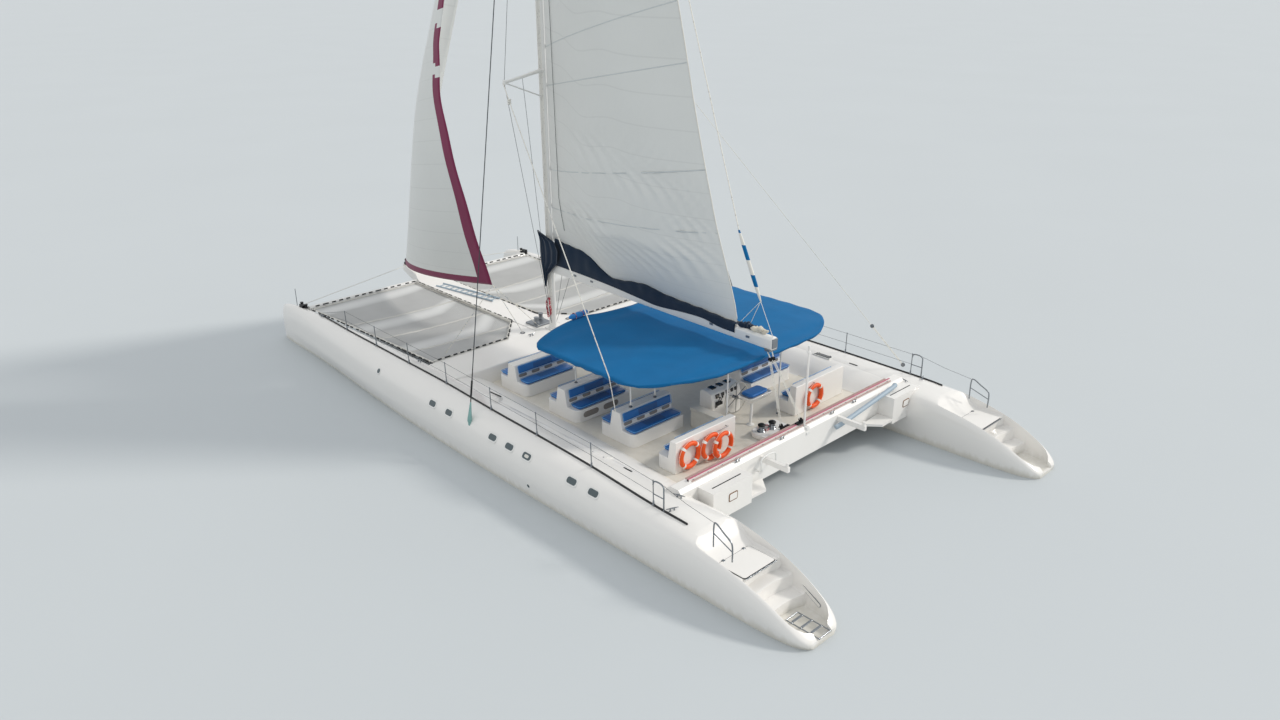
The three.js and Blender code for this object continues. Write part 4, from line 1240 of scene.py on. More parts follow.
# Last bench: its ends in x and y, middle of its pad, and how far its panel leans back
LAST = {"front": -5.68, "back": -6.35, "in": 1.25, "out": 3.45, "pad": 2.325, "lean": 0.07}
LAST_SEAT = 0.4  # depth of its seat
PAD_GAP = 0.008
BACK_PAD = (1.6, 1.835)  # foot and head of a back cushion
PAD_LONG = 1.75
HOLE_UP = 0.155  # hand holes above the seat
HOLE = (0.29, 0.095)  # length and height of a hand hole
PAD_CORNER, BACK_PAD_CORNER = 0.07, 0.03
BASE_HOLE = (0.55, 0.17)
BASE_HOLES = (2.85, 2.12)  # y of the larger holes in the second bench's base


def rounded_plan(x0, x1, inner, outer, side, radius=BENCH_CORNER, steps=8):
    """Seat outline with round outboard corners."""
    plan = [(x0, side * inner), (x1, side * inner)]
    for cx, start in ((x1 - radius, 0), (x0 + radius, math.pi / 2)):
        for k in range(steps + 1):
            a = start + k / steps * math.pi / 2
            plan.append((cx + radius * math.cos(a), side * (outer - radius * (1 - math.sin(a)))))
    return plan


def planks(x0, x1, y0, y1, z, count):
    """Strips along a bench's flat top, with drain gaps between them."""
    wide = (x1 - x0) / count
    return [box((x0 + k * wide + 0.004, y0, z - 0.02), (x0 + (k + 1) * wide - 0.004, y1, z))
            for k in range(count)]


def slot_plug(point, normal, long, tall):
    """A stadium-shaped plate flush with a bench's face where a hand hole is, painted grey-brown for the shade in the
    hole.
    """
    steps = 8
    ring = []
    for centre, start in ((long / 2 - tall / 2, -90), (-long / 2 + tall / 2, 90)):
        for k in range(steps + 1):
            a = math.radians(start + 180 * k / steps)
            ring.append((centre + tall / 2 * math.cos(a), tall / 2 * math.sin(a)))
    bm = prism(ring, "z", -0.01, 0.006)
    across, normal = Vector((0, 1, 0)), Vector(normal)
    turn = Matrix((across, normal.cross(across), normal)).transposed()
    bmesh.ops.transform(bm, matrix=Matrix.Translation(point) @ turn.to_4x4(), verts=bm.verts)
    return bm


def double_bench(x, outer, side):
    """Bench with a seat on either side of its planked back."""
    seat = prism(rounded_plan(x - BENCH_HALF, x + BENCH_HALF, BENCH_IN, outer, side), "z",
                 FOOT, SOLE + SEAT)
    y0, y1 = sorted((side * BENCH_IN, side * outer))
    top = SOLE + BACK - 0.015
    back = prism([(x + SEAT_EDGE, SOLE + SEAT - 0.02), (x + BACK_EDGE, top), (x - BACK_EDGE, top),
                  (x - SEAT_EDGE, SOLE + SEAT - 0.02)], "y", y0, y1)
    kick = prism(rounded_plan(x - BENCH_HALF - 0.004, x + BENCH_HALF + 0.004, BENCH_IN - 0.004,
                              outer + 0.004, side), "z", FOOT, SOLE + 0.05)
    return [seat, back, kick, *planks(x - BACK_EDGE, x + BACK_EDGE, y0 - 0.006, y1 + 0.006,
                                      SOLE + BACK, 3)]


def last_bench(side):
    """Bench that looks forward, with a panel behind it that carries the lifebuoys."""
    front, back, inner, outer = LAST["front"], LAST["back"], LAST["in"], LAST["out"]
    y0, y1 = sorted((side * inner, side * outer))
    seat = prism(rounded_plan(back + 0.02, front, inner, outer, side), "z", FOOT, SOLE + SEAT)
    root, top = front - LAST_SEAT, SOLE + BACK + 0.02
    panel = prism([(root, SOLE + SEAT - 0.02), (root - LAST["lean"], top), (back, top), (back, FOOT),
                   (root, FOOT)], "y", y0 - 0.003, y1 + 0.003)
    return [seat, panel]


def hand_holes(x, outer, side, face):
    """Four drain and hand holes low on a bench's back, on the face that looks fore or aft, each a flat plate painted
    grey-brown for the shade in the hole.
    """
    run = SEAT_EDGE - BACK_EDGE
    rise = BACK - SEAT
    normal = Vector((face * rise, 0, run)).normalized()
    z = SOLE + SEAT + HOLE_UP
    lean = SEAT_EDGE - run * HOLE_UP / rise
    length = outer - BENCH_IN
    return [slot_plug((x + face * lean, side * (BENCH_IN + length * (k + 0.5) / 4), z), normal, *HOLE)
            for k in range(4)]


def blank_pad(name, size, corner):
    """A pad's cover before stuffing, centred on the origin: long in Y, deep in X."""
    depth, length, thick = size
    bm = prism(rounded_rectangle(depth, length, corner), "z", -thick / 2, thick / 2)
    return piece(name, bm, finish("white_webbing"), body=None)


STUFFING_FRAMES = 16


def stuffed(pad, voxel, pressure, cap):
    """Remeshes a pad and swells it with a short cloth simulation; no point moves past `cap`."""
    remesh = pad.modifiers.new("remesh", "REMESH")
    remesh.mode = "VOXEL"
    remesh.voxel_size = voxel
    applied(pad)
    rest = [v.co.copy() for v in pad.data.vertices]
    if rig.quick():
        return pad
    cover = pad.modifiers.new("cloth", "CLOTH")
    cover.settings.use_pressure = True
    cover.settings.uniform_pressure_force = pressure
    cover.settings.effector_weights.gravity = 0
    cover.settings.tension_stiffness = cover.settings.compression_stiffness = 25
    cover.point_cache.frame_start, cover.point_cache.frame_end = 1, STUFFING_FRAMES
    for moment in range(1, STUFFING_FRAMES + 1):
        bpy.context.scene.frame_set(moment)
    applied(pad)
    for vert, start in zip(pad.data.vertices, rest):
        move = vert.co - start
        if move.length > cap:
            vert.co = start + move * (cap / move.length)
    bpy.context.scene.frame_set(1)
    return pad


def crowned(pad, size, rise):
    """Crowns a pad's top and pulls its long sides in a little between the corners."""
    depth, length, _ = size
    for vert in pad.data.vertices:
        u, v = 2 * vert.co.x / depth, 2 * vert.co.y / length
        if vert.co.z > 0:
            vert.co.z += rise * max(0, 1 - u ** 4) * max(0, 1 - v ** 6) * (0.85 + 0.15 * math.cos(9 * v))
        vert.co.x *= 1 - 0.012 * (1 - v * v)
        vert.co.z -= 0.0014 * math.cos(14 * v) * (1 if vert.co.z > 0 else 0)
    return pad


def piping_of(size, corner, z, grow=0.004):
    """Line of the piped edge round a pad."""
    plan = rounded_rectangle(size[0] + 2 * grow, size[1] + 2 * grow, corner, 4)
    ring = [Vector((x, y, z)) for x, y in plan]
    return ring + ring[:1]


def lay_pad(name, model, size, corner, place, replaces=()):
    """Copies a stuffed pad into its place as a mesh, with its piping and a darker middle."""
    mesh = model.data.copy()
    mesh.transform(place)
    mesh.name = name
    pad = bpy.data.objects.new(name, mesh)
    bpy.context.scene.collection.objects.link(pad)
    mesh.materials.clear()
    show(pad, [vinyl("blue_vinyl"), vinyl("blue_vinyl_worn")], slot="vinyl_blue", replaces=replaces)
    back = place.inverted()
    for polygon in mesh.polygons:
        spot = back @ polygon.center
        polygon.material_index = int(abs(spot.y) < size[1] * 0.2 and abs(spot.x) < size[0] * 0.34)
    mesh.shade_smooth()
    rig.padded(pad, fill=0.75)
    top = size[2] / 2 - 0.004
    run = [place @ p for p in piping_of(size, corner, top)]
    lines(f"{name}_piping", [run], 0.014, vinyl("piping_vinyl"), slot="vinyl_blue", sides=2)


class CATAMARAN_OT_benches(bpy.types.Operator):
    """Eight benches with planked backs and hand holes"""
    bl_idname = "catamaran.benches"
    bl_label = "Benches"

    def execute(self, context):
        gelcoat = finish_of(moulded_gelcoat)
        for name, side in SIDES.items():
            for row, (x, outer) in enumerate(BENCH_ROWS, 1):
                piece(f"bench_moulding_{name}_{row}", double_bench(x, outer, side), gelcoat,
                      slot="deck_gelcoat", replaces=[f"bench_{name}_{row}"], bevel=0.018, segments=3)
                # the hand holes are flat plates whose grey-brown is painted shade
                holes = hand_holes(x, outer, side, 1) + hand_holes(x, outer, side, -1)
                if row == 2:
                    holes += [slot_plug((x - BENCH_HALF, side * y, 1.2), (-1, 0, 0), *BASE_HOLE)
                              for y in BASE_HOLES]
                piece(f"bench_holes_{name}_{row}", holes, finish("bench_slot"), slot="deck_gelcoat")
            piece(f"bench_moulding_{name}_4", last_bench(side), gelcoat, slot="deck_gelcoat",
                  replaces=[f"bench_{name}_4"], bevel=0.02, segments=3)
        return {"FINISHED"}


class CATAMARAN_OT_cushions(bpy.types.Operator):
    """Seat and back cushions, stuffed and piped"""
    bl_idname = "catamaran.cushions"
    bl_label = "Cushions"

    def execute(self, context):
        thick = sizes().pad_thickness
        slack = 0.012  # the cover is cut smaller, and the stuffing fills it out
        seat_size = (BENCH_HALF - SEAT_EDGE - 0.03, PAD_LONG, thick)
        back_size = (BACK_PAD[1] - BACK_PAD[0], PAD_LONG, 0.06)
        models = {}
        for kind, size, corner, rise in (("seat", seat_size, PAD_CORNER, 0.012),
                                         ("back", back_size, BACK_PAD_CORNER, 0.01)):
            cut = tuple(s - slack for s in size)
            pad = stuffed(blank_pad(f"{kind}_model", cut, corner), 0.016, 1.6, slack / 2)
            models[kind] = crowned(pad, size, rise)
        for name, side in SIDES.items():
            rows = [(row, x, (BENCH_IN + outer) / 2, way) for row, (x, outer) in enumerate(BENCH_ROWS, 1)
                    for way in (1, -1)]
            rows.append((4, LAST["front"] - BENCH_HALF, LAST["pad"], 1))
            for row, x, middle, way in rows:
                root = SEAT_EDGE if row < 4 else BENCH_HALF - LAST_SEAT
                slope = (SEAT_EDGE - BACK_EDGE if row < 4 else LAST["lean"]) / (BACK - SEAT)
                ending = f"{name}_{row}_{'fwd' if way > 0 else 'aft'}"
                turn = Matrix.Rotation(0 if way > 0 else math.pi, 4, "Z")
                seat_x = x + way * (root + 0.02 + seat_size[0] / 2)
                lie = Matrix.Translation((seat_x, side * middle, SOLE + SEAT + PAD_GAP + thick / 2)) @ turn
                lay_pad(f"seat_pad_{ending}", models["seat"], seat_size, PAD_CORNER, lie,
                        [f"cushion_{ending}"])
                height = (BACK_PAD[0] + BACK_PAD[1]) / 2
                lean = root - (height - SOLE - SEAT) * slope + PAD_GAP + back_size[2] / 2
                upturn = Matrix.Rotation(math.pi / 2 - math.atan(slope), 4, "Y")
                stand = (Matrix.Translation((x + way * lean, side * middle, height)) @ turn @ upturn
                         @ Matrix.Rotation(math.pi, 4, "Z"))
                lay_pad(f"back_pad_{ending}", models["back"], back_size, BACK_PAD_CORNER, stand)
        for model in models.values():
            bpy.data.objects.remove(model)
        return {"FINISHED"}


# Canopy

# Columns: y, x of the fore edge, x of the aft edge
CANOPY = [(0, -1.18, -6.45), (0.6, -1.12, -6.46), (1.1, -1.02, -6.45), (1.6, -0.84, -6.42),
          (2.2, -0.86, -6.32), (2.78, -0.98, -6.03), (3.3, -1.12, -5.64), (3.7, -1.33, -5.19),
          (3.8, -1.48, -4.8)]
CREASE_Y = 2.78  # the cloth falls away outboard of the outer rails
FRAME_Z = CANOPY_Z - 0.06
# Columns: x, y, foot
POSTS = [(-1.84, 1.89, 1.8505), (-1.84, CREASE_Y, 1.8505), (-4.05, 1.89, 1.8505),
         (-4.05, CREASE_Y, 1.8505), (-5.9, 1.08, 1.0005)]
# Columns: y, aft end, fore end
RAILS = [(1.08, -6.25, -1.3), (1.89, -6.15, -1.3), (CREASE_Y, -5.85, -1.3)]
HOOPS = [-1.84, -4.05, -5.8]


def canopy_point(y, u):
    """Point on the cloth at y, u of the way aft from its fore edge."""
    fore, aft = along([(-a, b, c) for a, b, c in CANOPY], -abs(y))
    x = fore + (aft - fore) * u
    out = abs(y) - CREASE_Y
    fall = 0.06 * (1 - (y / CREASE_Y) ** 2) if out < 0 else -0.11 * out
    slack = 0.0
    for a, b in zip([fore, *HOOPS], [*HOOPS, aft]):
        if b < x < a:
            slack = math.sin(math.pi * (a - x) / (a - b)) ** 2
    sag = sizes().canopy_sag * slack * (1 if out < 0 else 1 - out / 1.02 * 0.7)
    pucker = 0.006 * math.sin(9 * x) * max(0, out)
    return Vector((x, y, CANOPY_Z + 0.012 + fall - sag + pucker))


def canopy_columns():
    """y of the sheet's columns, closer together outboard of the rails."""
    inner = [CREASE_Y * (k / 18 - 1) for k in range(37)]
    outer = [CREASE_Y + (CANOPY[-1][0] - CREASE_Y) * k / 7 for k in range(1, 8)]
    return [-y for y in reversed(outer)] + inner + outer


def canopy_hem():
    """Turned-down hem all round the cloth."""
    rows = 40
    edge = [canopy_point(y, 0) for y in canopy_columns()]
    edge += [canopy_point(CANOPY[-1][0], k / rows) for k in range(1, rows)]
    edge += [canopy_point(y, 1) for y in reversed(canopy_columns())]
    edge += [canopy_point(-CANOPY[-1][0], 1 - k / rows) for k in range(1, rows)]
    edge.append(edge[0])
    middle = Vector((-3.7, 0, 0))
    low = []
    for k, p in enumerate(edge):
        inward = (middle - p) * Vector((1, 1, 0))
        low.append(p + inward.normalized() * 0.035 - Vector((0, 0, 0.085 + 0.012 * math.sin(1.3 * k))))
    return skin([low, edge], cut=(22, 0.1))


class CATAMARAN_OT_canopy(bpy.types.Operator):
    """Canopy of one sheet with a turned-down hem, and the tubes that carry it"""
    bl_idname = "catamaran.canopy"
    bl_label = "Canopy"

    def execute(self, context):
        canvas = cloth("acrylic_canvas")
        rows = [[canopy_point(y, k / 56) for y in canopy_columns()] for k in range(57)]
        bm = skin(rows, cut=(7.6, 5.4))
        bmesh.ops.reverse_faces(bm, faces=bm.faces)
        sheet = piece("canopy_sheet", bm, canvas, slot="canopy_cloth", replaces=["canopy"], solid=0.004,
                      crease=80)
        hem = piece("canopy_hem", canopy_hem(), canvas, slot="canopy_cloth", solid=0.003, crease=80)
        held_sheet(sheet, (7.7, 5.6), "stretched", ["canopy_tubes_port", "canopy_tubes_starboard"],
                   with_pieces=[hem])
        for name, side in SIDES.items():
            self.frame_half(name, side)
        self.bundle()
        return {"FINISHED"}

    def frame_half(self, name, side):
        """Posts, rails and hoops of one side, with their feet and sleeves."""
        runs = [[(x, side * y, foot), (x, side * y, FRAME_Z)] for x, y, foot in POSTS]
        runs += [[(aft, side * y, FRAME_Z), (fore, side * y, FRAME_Z)] for y, aft, fore in RAILS]
        runs += [[(x, 0, FRAME_Z), (x, side * CREASE_Y, FRAME_Z)] for x in HOOPS]
        lines(f"canopy_tubes_{name}", runs, 0.044, finish("coated_alloy"), slot="painted_alloy",
              replaces=[f"canopy_frame_{name}"], sides=4)
        foot_form = [(0, 0), (0.05, 0), (0.05, 0.008), (0.03, 0.014), (0.028, 0.05), (0, 0.05)]
        sleeve = [(0, -0.035), (0.031, -0.035), (0.031, 0.035), (0, 0.035)]
        shapes = [upright(foot_form, (x, side * y, foot)) for x, y, foot in POSTS]
        shapes += [turned(sleeve, (x, side * row[0], FRAME_Z), (x + 1, side * row[0], FRAME_Z), 12)
                   for x in HOOPS for row in RAILS]
        piece(f"canopy_fittings_{name}", shapes, finish("polished_stainless"), slot="painted_alloy")

    def bundle(self):
        """Rolled-up cloth tied at the fore edge, with its ties."""
        rows = []
        for k in range(31):
            t = k / 30
            centre = bundle_at(t) - UP * (0.02 * math.sin(math.pi * t))
            r = 0.1 * math.sin(math.pi * min(1, 0.06 + 0.94 * t)) ** 0.35 * (1 + 0.14 * math.sin(17 * t))
            rows.append([centre + Vector((r * (1 + 0.08 * math.sin(5 * a + 9 * t)) * math.cos(a), 0,
                                          0.85 * r * math.sin(a)))
                         for a in ring_round(20)])
        piece("canopy_bundle", skin(rows, closed=True, caps=True), cloth("bundle_canvas"),
              slot="canopy_cloth", crease=80)
        ties = [hoop(bundle_at(t) - UP * 0.015, (0, 1, 0), 0.098, 0.007, 28, 6) for t in (0.3, 0.7)]
        piece("canopy_bundle_ties", ties, rope("red_rope"), slot="canopy_cloth")


def bundle_at(t):
    """Point on the rolled-up cloth's axis, t of the way to port."""
    return Vector((-0.76 - 0.06 * t, 1.4 + 0.72 * t, 3.32))


# Helm and cockpit fittings

WHEEL = {"place": (-5.2, -0.1, 1.57), "radius": 0.45}
PLINTH_TOP = 1.15
WINCHES = [(-6.48, 0.34), (-6.56, 0.0)]


def winch(x, y, z, r=0.095, tall=0.225):
    """Self-tailing winch: base, ribbed drum, feeder jaws and a socketed cap."""
    # Columns: share of the radius, share of the height
    drum = [(0, 0), (1.2, 0), (1.2, 0.08), (1.02, 0.16), (1.0, 0.3), (0.78, 0.4)]
    ribs = [(0.76 + 0.03 * (k % 2), 0.42 + 0.03 * k) for k in range(8)]
    jaws = [(0.82, 0.68), (1.04, 0.74), (1.06, 0.78), (0.86, 0.81), (0.86, 0.83), (1.06, 0.86), (1.02, 0.9)]
    cap = [(0.9, 0.94), (0.62, 1), (0.2, 1), (0.16, 0.94), (0, 0.94)]
    bm = upright([(r * wide, tall * up) for wide, up in drum + ribs + jaws + cap], (x, y, z), 32)
    return paint(bm, 1, lambda f: f.calc_center_median().z > z + tall * 0.66)


def console():
    """Helm console: a raked face with rounded shoulders."""
    outline = [(-5.03, FOOT), (-5.03, 1.62), (-4.97, 1.8), (-4.8, 1.88), (-4.62, 1.87), (-4.55, 1.8),
               (-4.55, FOOT)]
    return prism(outline, "y", -0.5, 0.68)


def instruments():
    """Square instruments on the console's raked face and small keypads beside them."""
    shapes = []
    for y, z, size in ((-0.3, 1.72, 0.11), (-0.14, 1.72, 0.11), (0.04, 1.72, 0.13), (0.24, 1.71, 0.11),
                       (0.45, 1.7, 0.15), (0.52, 1.45, 0.09), (-0.36, 1.42, 0.07)):
        lean = max(0.0, z - 1.62) / 3
        x = -5.032 + lean
        shapes.append(box((x - 0.012, y - size / 2, z - size / 2), (x + 0.02, y + size / 2, z + size / 2)))
    for y, z, size in ((-0.2, 1.885, 0.14), (0.1, 1.885, 0.14), (0.4, 1.885, 0.17)):
        shapes.append(box((-4.84, y - size / 2, 1.86), (-4.66, y + size / 2, z + 0.015)))
    return shapes


def throttle():
    """Twin engine levers on a low binnacle."""
    shapes = [box((-5.12, 0.36, 1.5), (-5.02, 0.56, 1.58))]
    for y in (0.41, 0.51):
        shapes.append(turned([(0, 0), (0.012, 0), (0.01, 0.15), (0.022, 0.16), (0.024, 0.2), (0, 0.21)],
                             (-5.08, y, 1.57), (-5.16, y, 1.76), 12))
    return shapes


def wheel():
    """Large wheel: tube rim stitched in pale leather, six spokes and a domed hub."""
    place, radius = Vector(WHEEL["place"]), WHEEL["radius"]
    rim = hoop(place, (1, 0, 0), radius, 0.017, 72, 12)
    spokes = []
    for k in range(6):
        a = math.radians(60 * k + 30)
        tip = place + Vector((0, math.cos(a) * radius, math.sin(a) * radius))
        length = radius - 0.01
        spokes.append(turned([(0, 0), (0.011, 0), (0.008, length), (0, length)], place, tip, 10))
    hub = turned([(0, -0.11), (0.045, -0.11), (0.045, -0.02), (0.06, -0.01), (0.06, 0.012), (0.03, 0.028),
                  (0, 0.03)], place, place + Vector((-1, 0, 0)), 24)
    return {0: [rim], 1: [*spokes, hub]}


class CATAMARAN_OT_helm(bpy.types.Operator):
    """Console with its instruments, wheel, helm seat, locker box and winch plinth"""
    bl_idname = "catamaran.helm"
    bl_label = "Helm"

    def execute(self, context):
        gelcoat = finish_of(moulded_gelcoat)
        piece("console_moulding", console(), gelcoat, slot="deck_gelcoat", replaces=["helm_console"],
              bevel=0.035, segments=4, crease=20)
        piece("console_instruments", instruments(), finish("instrument_glass"), slot="smoked_acrylic",
              bevel=0.006)
        piece("throttle_levers", throttle(), finish("satin_black"), slot="stainless", bevel=0.004)
        piece("wheel_mount", turned([(0, 0), (0.07, 0), (0.06, 0.03), (0.05, 0.07), (0, 0.07)],
                                    (-5.02, -0.1, 1.57), (-6, -0.1, 1.57)), gelcoat, slot="deck_gelcoat")
        piece("wheel_rim_and_spokes", wheel(), [vinyl("wheel_leather"), finish("polished_stainless")],
              body="steering_wheel", slot="stainless", replaces=["steering_wheel"])
        self.seat(gelcoat)
        self.locker()
        self.plinth(gelcoat)
        return {"FINISHED"}

    def seat(self, gelcoat):
        """Helm seat on its cranked post, with a loose pad."""
        piece("helm_seat_shell", seat_shell(), gelcoat, slot="deck_gelcoat", replaces=["helm_seat"],
              bevel=0.03, segments=4)
        pad = stuffed(blank_pad("helm_seat_pad", (0.42, 0.72, 0.07), 0.1), 0.014, 2.0, 0.01)
        pad.data.transform(Matrix.Translation((-5.64, -0.34, 1.815)))
        pad.data.materials.clear()
        show(pad, vinyl("blue_vinyl"), slot="vinyl_blue")
        pad.data.shade_smooth()
        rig.padded(pad, fill=0.7)
        lines("helm_seat_post", [[(-5.82, 0, 1.0), (-5.8, -0.03, 1.1), (-5.72, -0.15, 1.64)]], 0.08,
              finish("coated_alloy"), slot="painted_alloy", sides=5)
        flange = [(0, 0), (0.11, 0), (0.11, 0.012), (0.06, 0.03), (0.042, 0.06), (0, 0.06)]
        piece("helm_seat_foot", upright(flange, (-5.82, 0, SOLE)), finish("coated_alloy"),
              slot="painted_alloy")

    def locker(self):
        """Locker box beside the console, its lid and three latches."""
        body = box((-5.7, 0.98, FOOT), (-4.76, 1.24, 1.48))
        lid = box((-5.73, 0.95, 1.485), (-4.73, 1.244, 1.56))
        piece("locker_box_moulding", [body, lid], finish_of(nonslip_gelcoat), slot="sole_nonslip",
              replaces=["locker_box"], bevel=0.012, segments=3)
        latches = [box((x - 0.025, 0.944, 1.43), (x + 0.025, 0.985, 1.53)) for x in (-5.5, -5.22, -4.95)]
        piece("locker_box_latches", latches, finish("black_acetal"), slot="stainless", bevel=0.005)

    def plinth(self, gelcoat):
        """Plinth with two winches, rope clutches and the mainsheet's coiled tail."""
        plan = [(-7.1, -0.52), (-6.25, -0.52), (-6.2, -0.38), (-6.2, 0.42), (-6.35, 0.56), (-7.1, 0.56)]
        piece("plinth_moulding", prism(plan, "z", FOOT, PLINTH_TOP), gelcoat,
              slot="deck_gelcoat", replaces=["winch_plinth"], bevel=0.04, segments=4)
        piece("plinth_winches", [winch(x, y, PLINTH_TOP) for x, y in WINCHES],
              [finish("polished_stainless"), finish("satin_black")], slot="stainless")
        clutches = [box((-6.95, y, PLINTH_TOP), (-6.75, y + 0.06, PLINTH_TOP + 0.06))
                    for y in (-0.42 + 0.09 * k for k in range(4))]
        piece("plinth_clutches", clutches, finish("satin_black"), slot="stainless", bevel=0.008)
        coil = []
        for k in range(85):
            a = k / 84 * 2 * math.pi * 5
            r = 0.1 + 0.012 * (k % 17) / 17 + 0.01 * math.sin(3 * a)
            coil.append((-6.42 + 1.5 * r * math.cos(a), 0.16 + 1.3 * r * math.sin(a),
                         PLINTH_TOP + 0.014 + 0.009 * k / 17 + 0.004 * math.sin(2.3 * a)))
        lines("mainsheet_tail", [coil], 0.014, rope("red_rope"), slot="bag_cloth", round_by=2, sides=2)


def seat_shell():
    """Helm seat's shell: its plan raised to the rim, hollowed on top and narrower below."""
    plan = [(-5.93, 0.06), (-5.86, 0.13), (-5.5, 0.13), (-5.39, 0.02), (-5.39, -0.7), (-5.5, -0.81),
            (-5.86, -0.81), (-5.93, -0.74)]
    bm = prism(plan, "z", 1.635, 1.79)
    top = [f for f in bm.faces if f.normal.z > 0.9]
    bmesh.ops.inset_region(bm, faces=top, thickness=0.045, depth=0)
    lifted = [f for f in bm.faces if f.normal.z > 0.9 and all(v.co.z > 1.78 for v in f.verts)
              and f.calc_area() > 0.15]
    hollow = bmesh.ops.extrude_face_region(bm, geom=lifted)["geom"]
    sunk = [v for v in hollow if isinstance(v, bmesh.types.BMVert)]
    bmesh.ops.translate(bm, verts=sunk, vec=(0, 0, -0.05))
    bmesh.ops.delete(bm, geom=lifted, context="FACES_ONLY")
    low = [v for v in bm.verts if v.co.z < 1.64]
    bmesh.ops.scale(bm, vec=(0.72, 0.8, 1), verts=low, space=Matrix.Translation((5.64, 0.34, 0)))
    bmesh.ops.recalc_face_normals(bm, faces=bm.faces)
    return bm


# Guard rails, lifebuoys, ladder and hatches

# Columns: x, y of the toe rail; stanchions stand at the inner points
TOE_RAIL = [(9.35, 4.79), (7.22, 4.89), (5.28, 4.925), (3.32, 4.955), (1.27, 4.98), (-1.01, 5.07),
            (-3.04, 5.11), (-5.22, 5.17), (-7.44, 5.27)]
TOE_RAIL_END = (-8.49, 5.27)
STANCHION = 0.65
GATE_Y = 5.285
GATE_X = (-7.44, -7.78)  # x of the gate hoop's legs
STERN_RAIL_X = -9.31  # x of the stern rail's fore leg
STERN_RAIL_Y = 5.33
WIRE_HEIGHTS = (0.33, 0.64)


def rail_top(x, side, y, up):
    """Point `up` above the hull's deck at x and y."""
    return (x, side * y, on_deck(x, side * y).z + up)


def toe_rail(side):
    """Dark capping along the deck edge: a low rounded section."""
    line = spline([(x, y, 0) for x, y in [*TOE_RAIL, TOE_RAIL_END]], 12)
    tall = sizes().toe_rail
    rows = []
    for p in line:
        top = on_deck(p.x, side * p.y).z
        section = [(-0.016, -0.06), (-0.016, tall), (-0.006, tall + 0.012), (0.006, tall + 0.012),
                   (0.016, tall), (0.016, -0.06)]
        rows.append([(p.x, side * (p.y + dy), top + dz) for dy, dz in section + section[:1]])
    return skin(rows, closed=True, caps=True)


def stern_rail(side):
    """Bent rail beside the stern steps with its mid bar."""
    x, y, aft = STERN_RAIL_X, STERN_RAIL_Y, -9.86
    foot, end = hull_at(x)[1], hull_at(aft + 0.01)[1]
    loop = [(x, y, foot - 0.05), (x, y, foot + 0.46), (x - 0.07, y + 0.005, foot + 0.55),
            (x - 0.29, y + 0.02, foot + 0.43), (aft + 0.06, y + 0.03, end + 0.42),
            (aft, y + 0.03, end + 0.3), (aft, y + 0.02, end - 0.06)]
    bar = [(x, y, foot + 0.28), (aft + 0.01, y + 0.03, end + 0.19)]
    return [(a, side * b, c) for a, b, c in loop], [(a, side * b, c) for a, b, c in bar]


def gate_hoop(side):
    """Hoop of the boarding gate, from the last stanchion's head over to the deck."""
    # Columns: x, height over the deck
    bend = [(GATE_X[0], 0.55), (-7.47, 0.63), (-7.55, 0.66), (-7.68, 0.66), (-7.76, 0.62),
            (GATE_X[1], 0.54), (GATE_X[1], 0.0)]
    return [rail_top(x, side, GATE_Y, up) for x, up in bend]


class CATAMARAN_OT_rails(bpy.types.Operator):
    """Toe rails, stanchions, lifelines, gate hoops and stern rails"""
    bl_idname = "catamaran.rails"
    bl_label = "Guard rails"

    def execute(self, context):
        steel = finish("polished_stainless")
        for name, side in SIDES.items():
            piece(f"toe_rail_{name}", toe_rail(side), finish("toe_rail_black"), slot="stainless",
                  replaces=[f"guard_rail_{name}"])
            spots = TOE_RAIL[1:]
            posts = [[rail_top(x, side, y, 0.0), rail_top(x, side, y + 0.015, STANCHION)]
                     for x, y in spots]
            loop, bar = stern_rail(side)
            lines(f"stanchions_{name}", posts, 0.026, steel, slot="stainless")
            lines(f"gate_and_stern_rail_{name}", [gate_hoop(side), loop], 0.036, steel,
                  slot="stainless", round_by=5)
            gate_bar = [rail_top(x, side, GATE_Y, 0.32) for x in GATE_X]
            lines(f"rail_bars_{name}", [bar, gate_bar], 0.026, steel, slot="stainless")
            wires = [[rail_top(x, side, y + 0.012, 0.04 if k == 0 else up)
                      for k, (x, y) in enumerate(TOE_RAIL)] for up in WIRE_HEIGHTS]
            foot = hull_at(STERN_RAIL_X)[1]
            wires.append([rail_top(-7.7, side, GATE_Y, 0.66), (-8.5, side * 5.31, foot + 0.63),
                          (STERN_RAIL_X, side * STERN_RAIL_Y, foot + 0.54)])
            lines(f"lifelines_{name}", wires, 0.009, finish_of(stranded_wire), slot="wire", sides=2)
            base = [(0, 0), (0.045, 0), (0.045, 0.008), (0.024, 0.016), (0.02, 0.1), (0.014, 0.11), (0, 0.11)]
            cap = [(0, 0), (0.016, 0), (0.017, 0.02), (0.01, 0.03), (0, 0.032)]
            feet = [upright(base, rail_top(x, side, y, 0.02), 16) for x, y in spots]
            caps = [upright(cap, rail_top(x, side, y + 0.015, STANCHION - 0.012), 12) for x, y in spots]
            piece(f"stanchion_feet_{name}", feet + caps, finish("anodised_alloy"), slot="stainless")
        return {"FINISHED"}


# Columns: y, z, distance off the bench's panel
PORT_RINGS = [(3.01, 1.42, 0.0), (2.3, 1.43, 0.06), (1.96, 1.38, 0.15)]
STARBOARD_RING = (-2.02, 1.41, 0.0)
RING = {"middle": 0.31, "tube": 0.062}


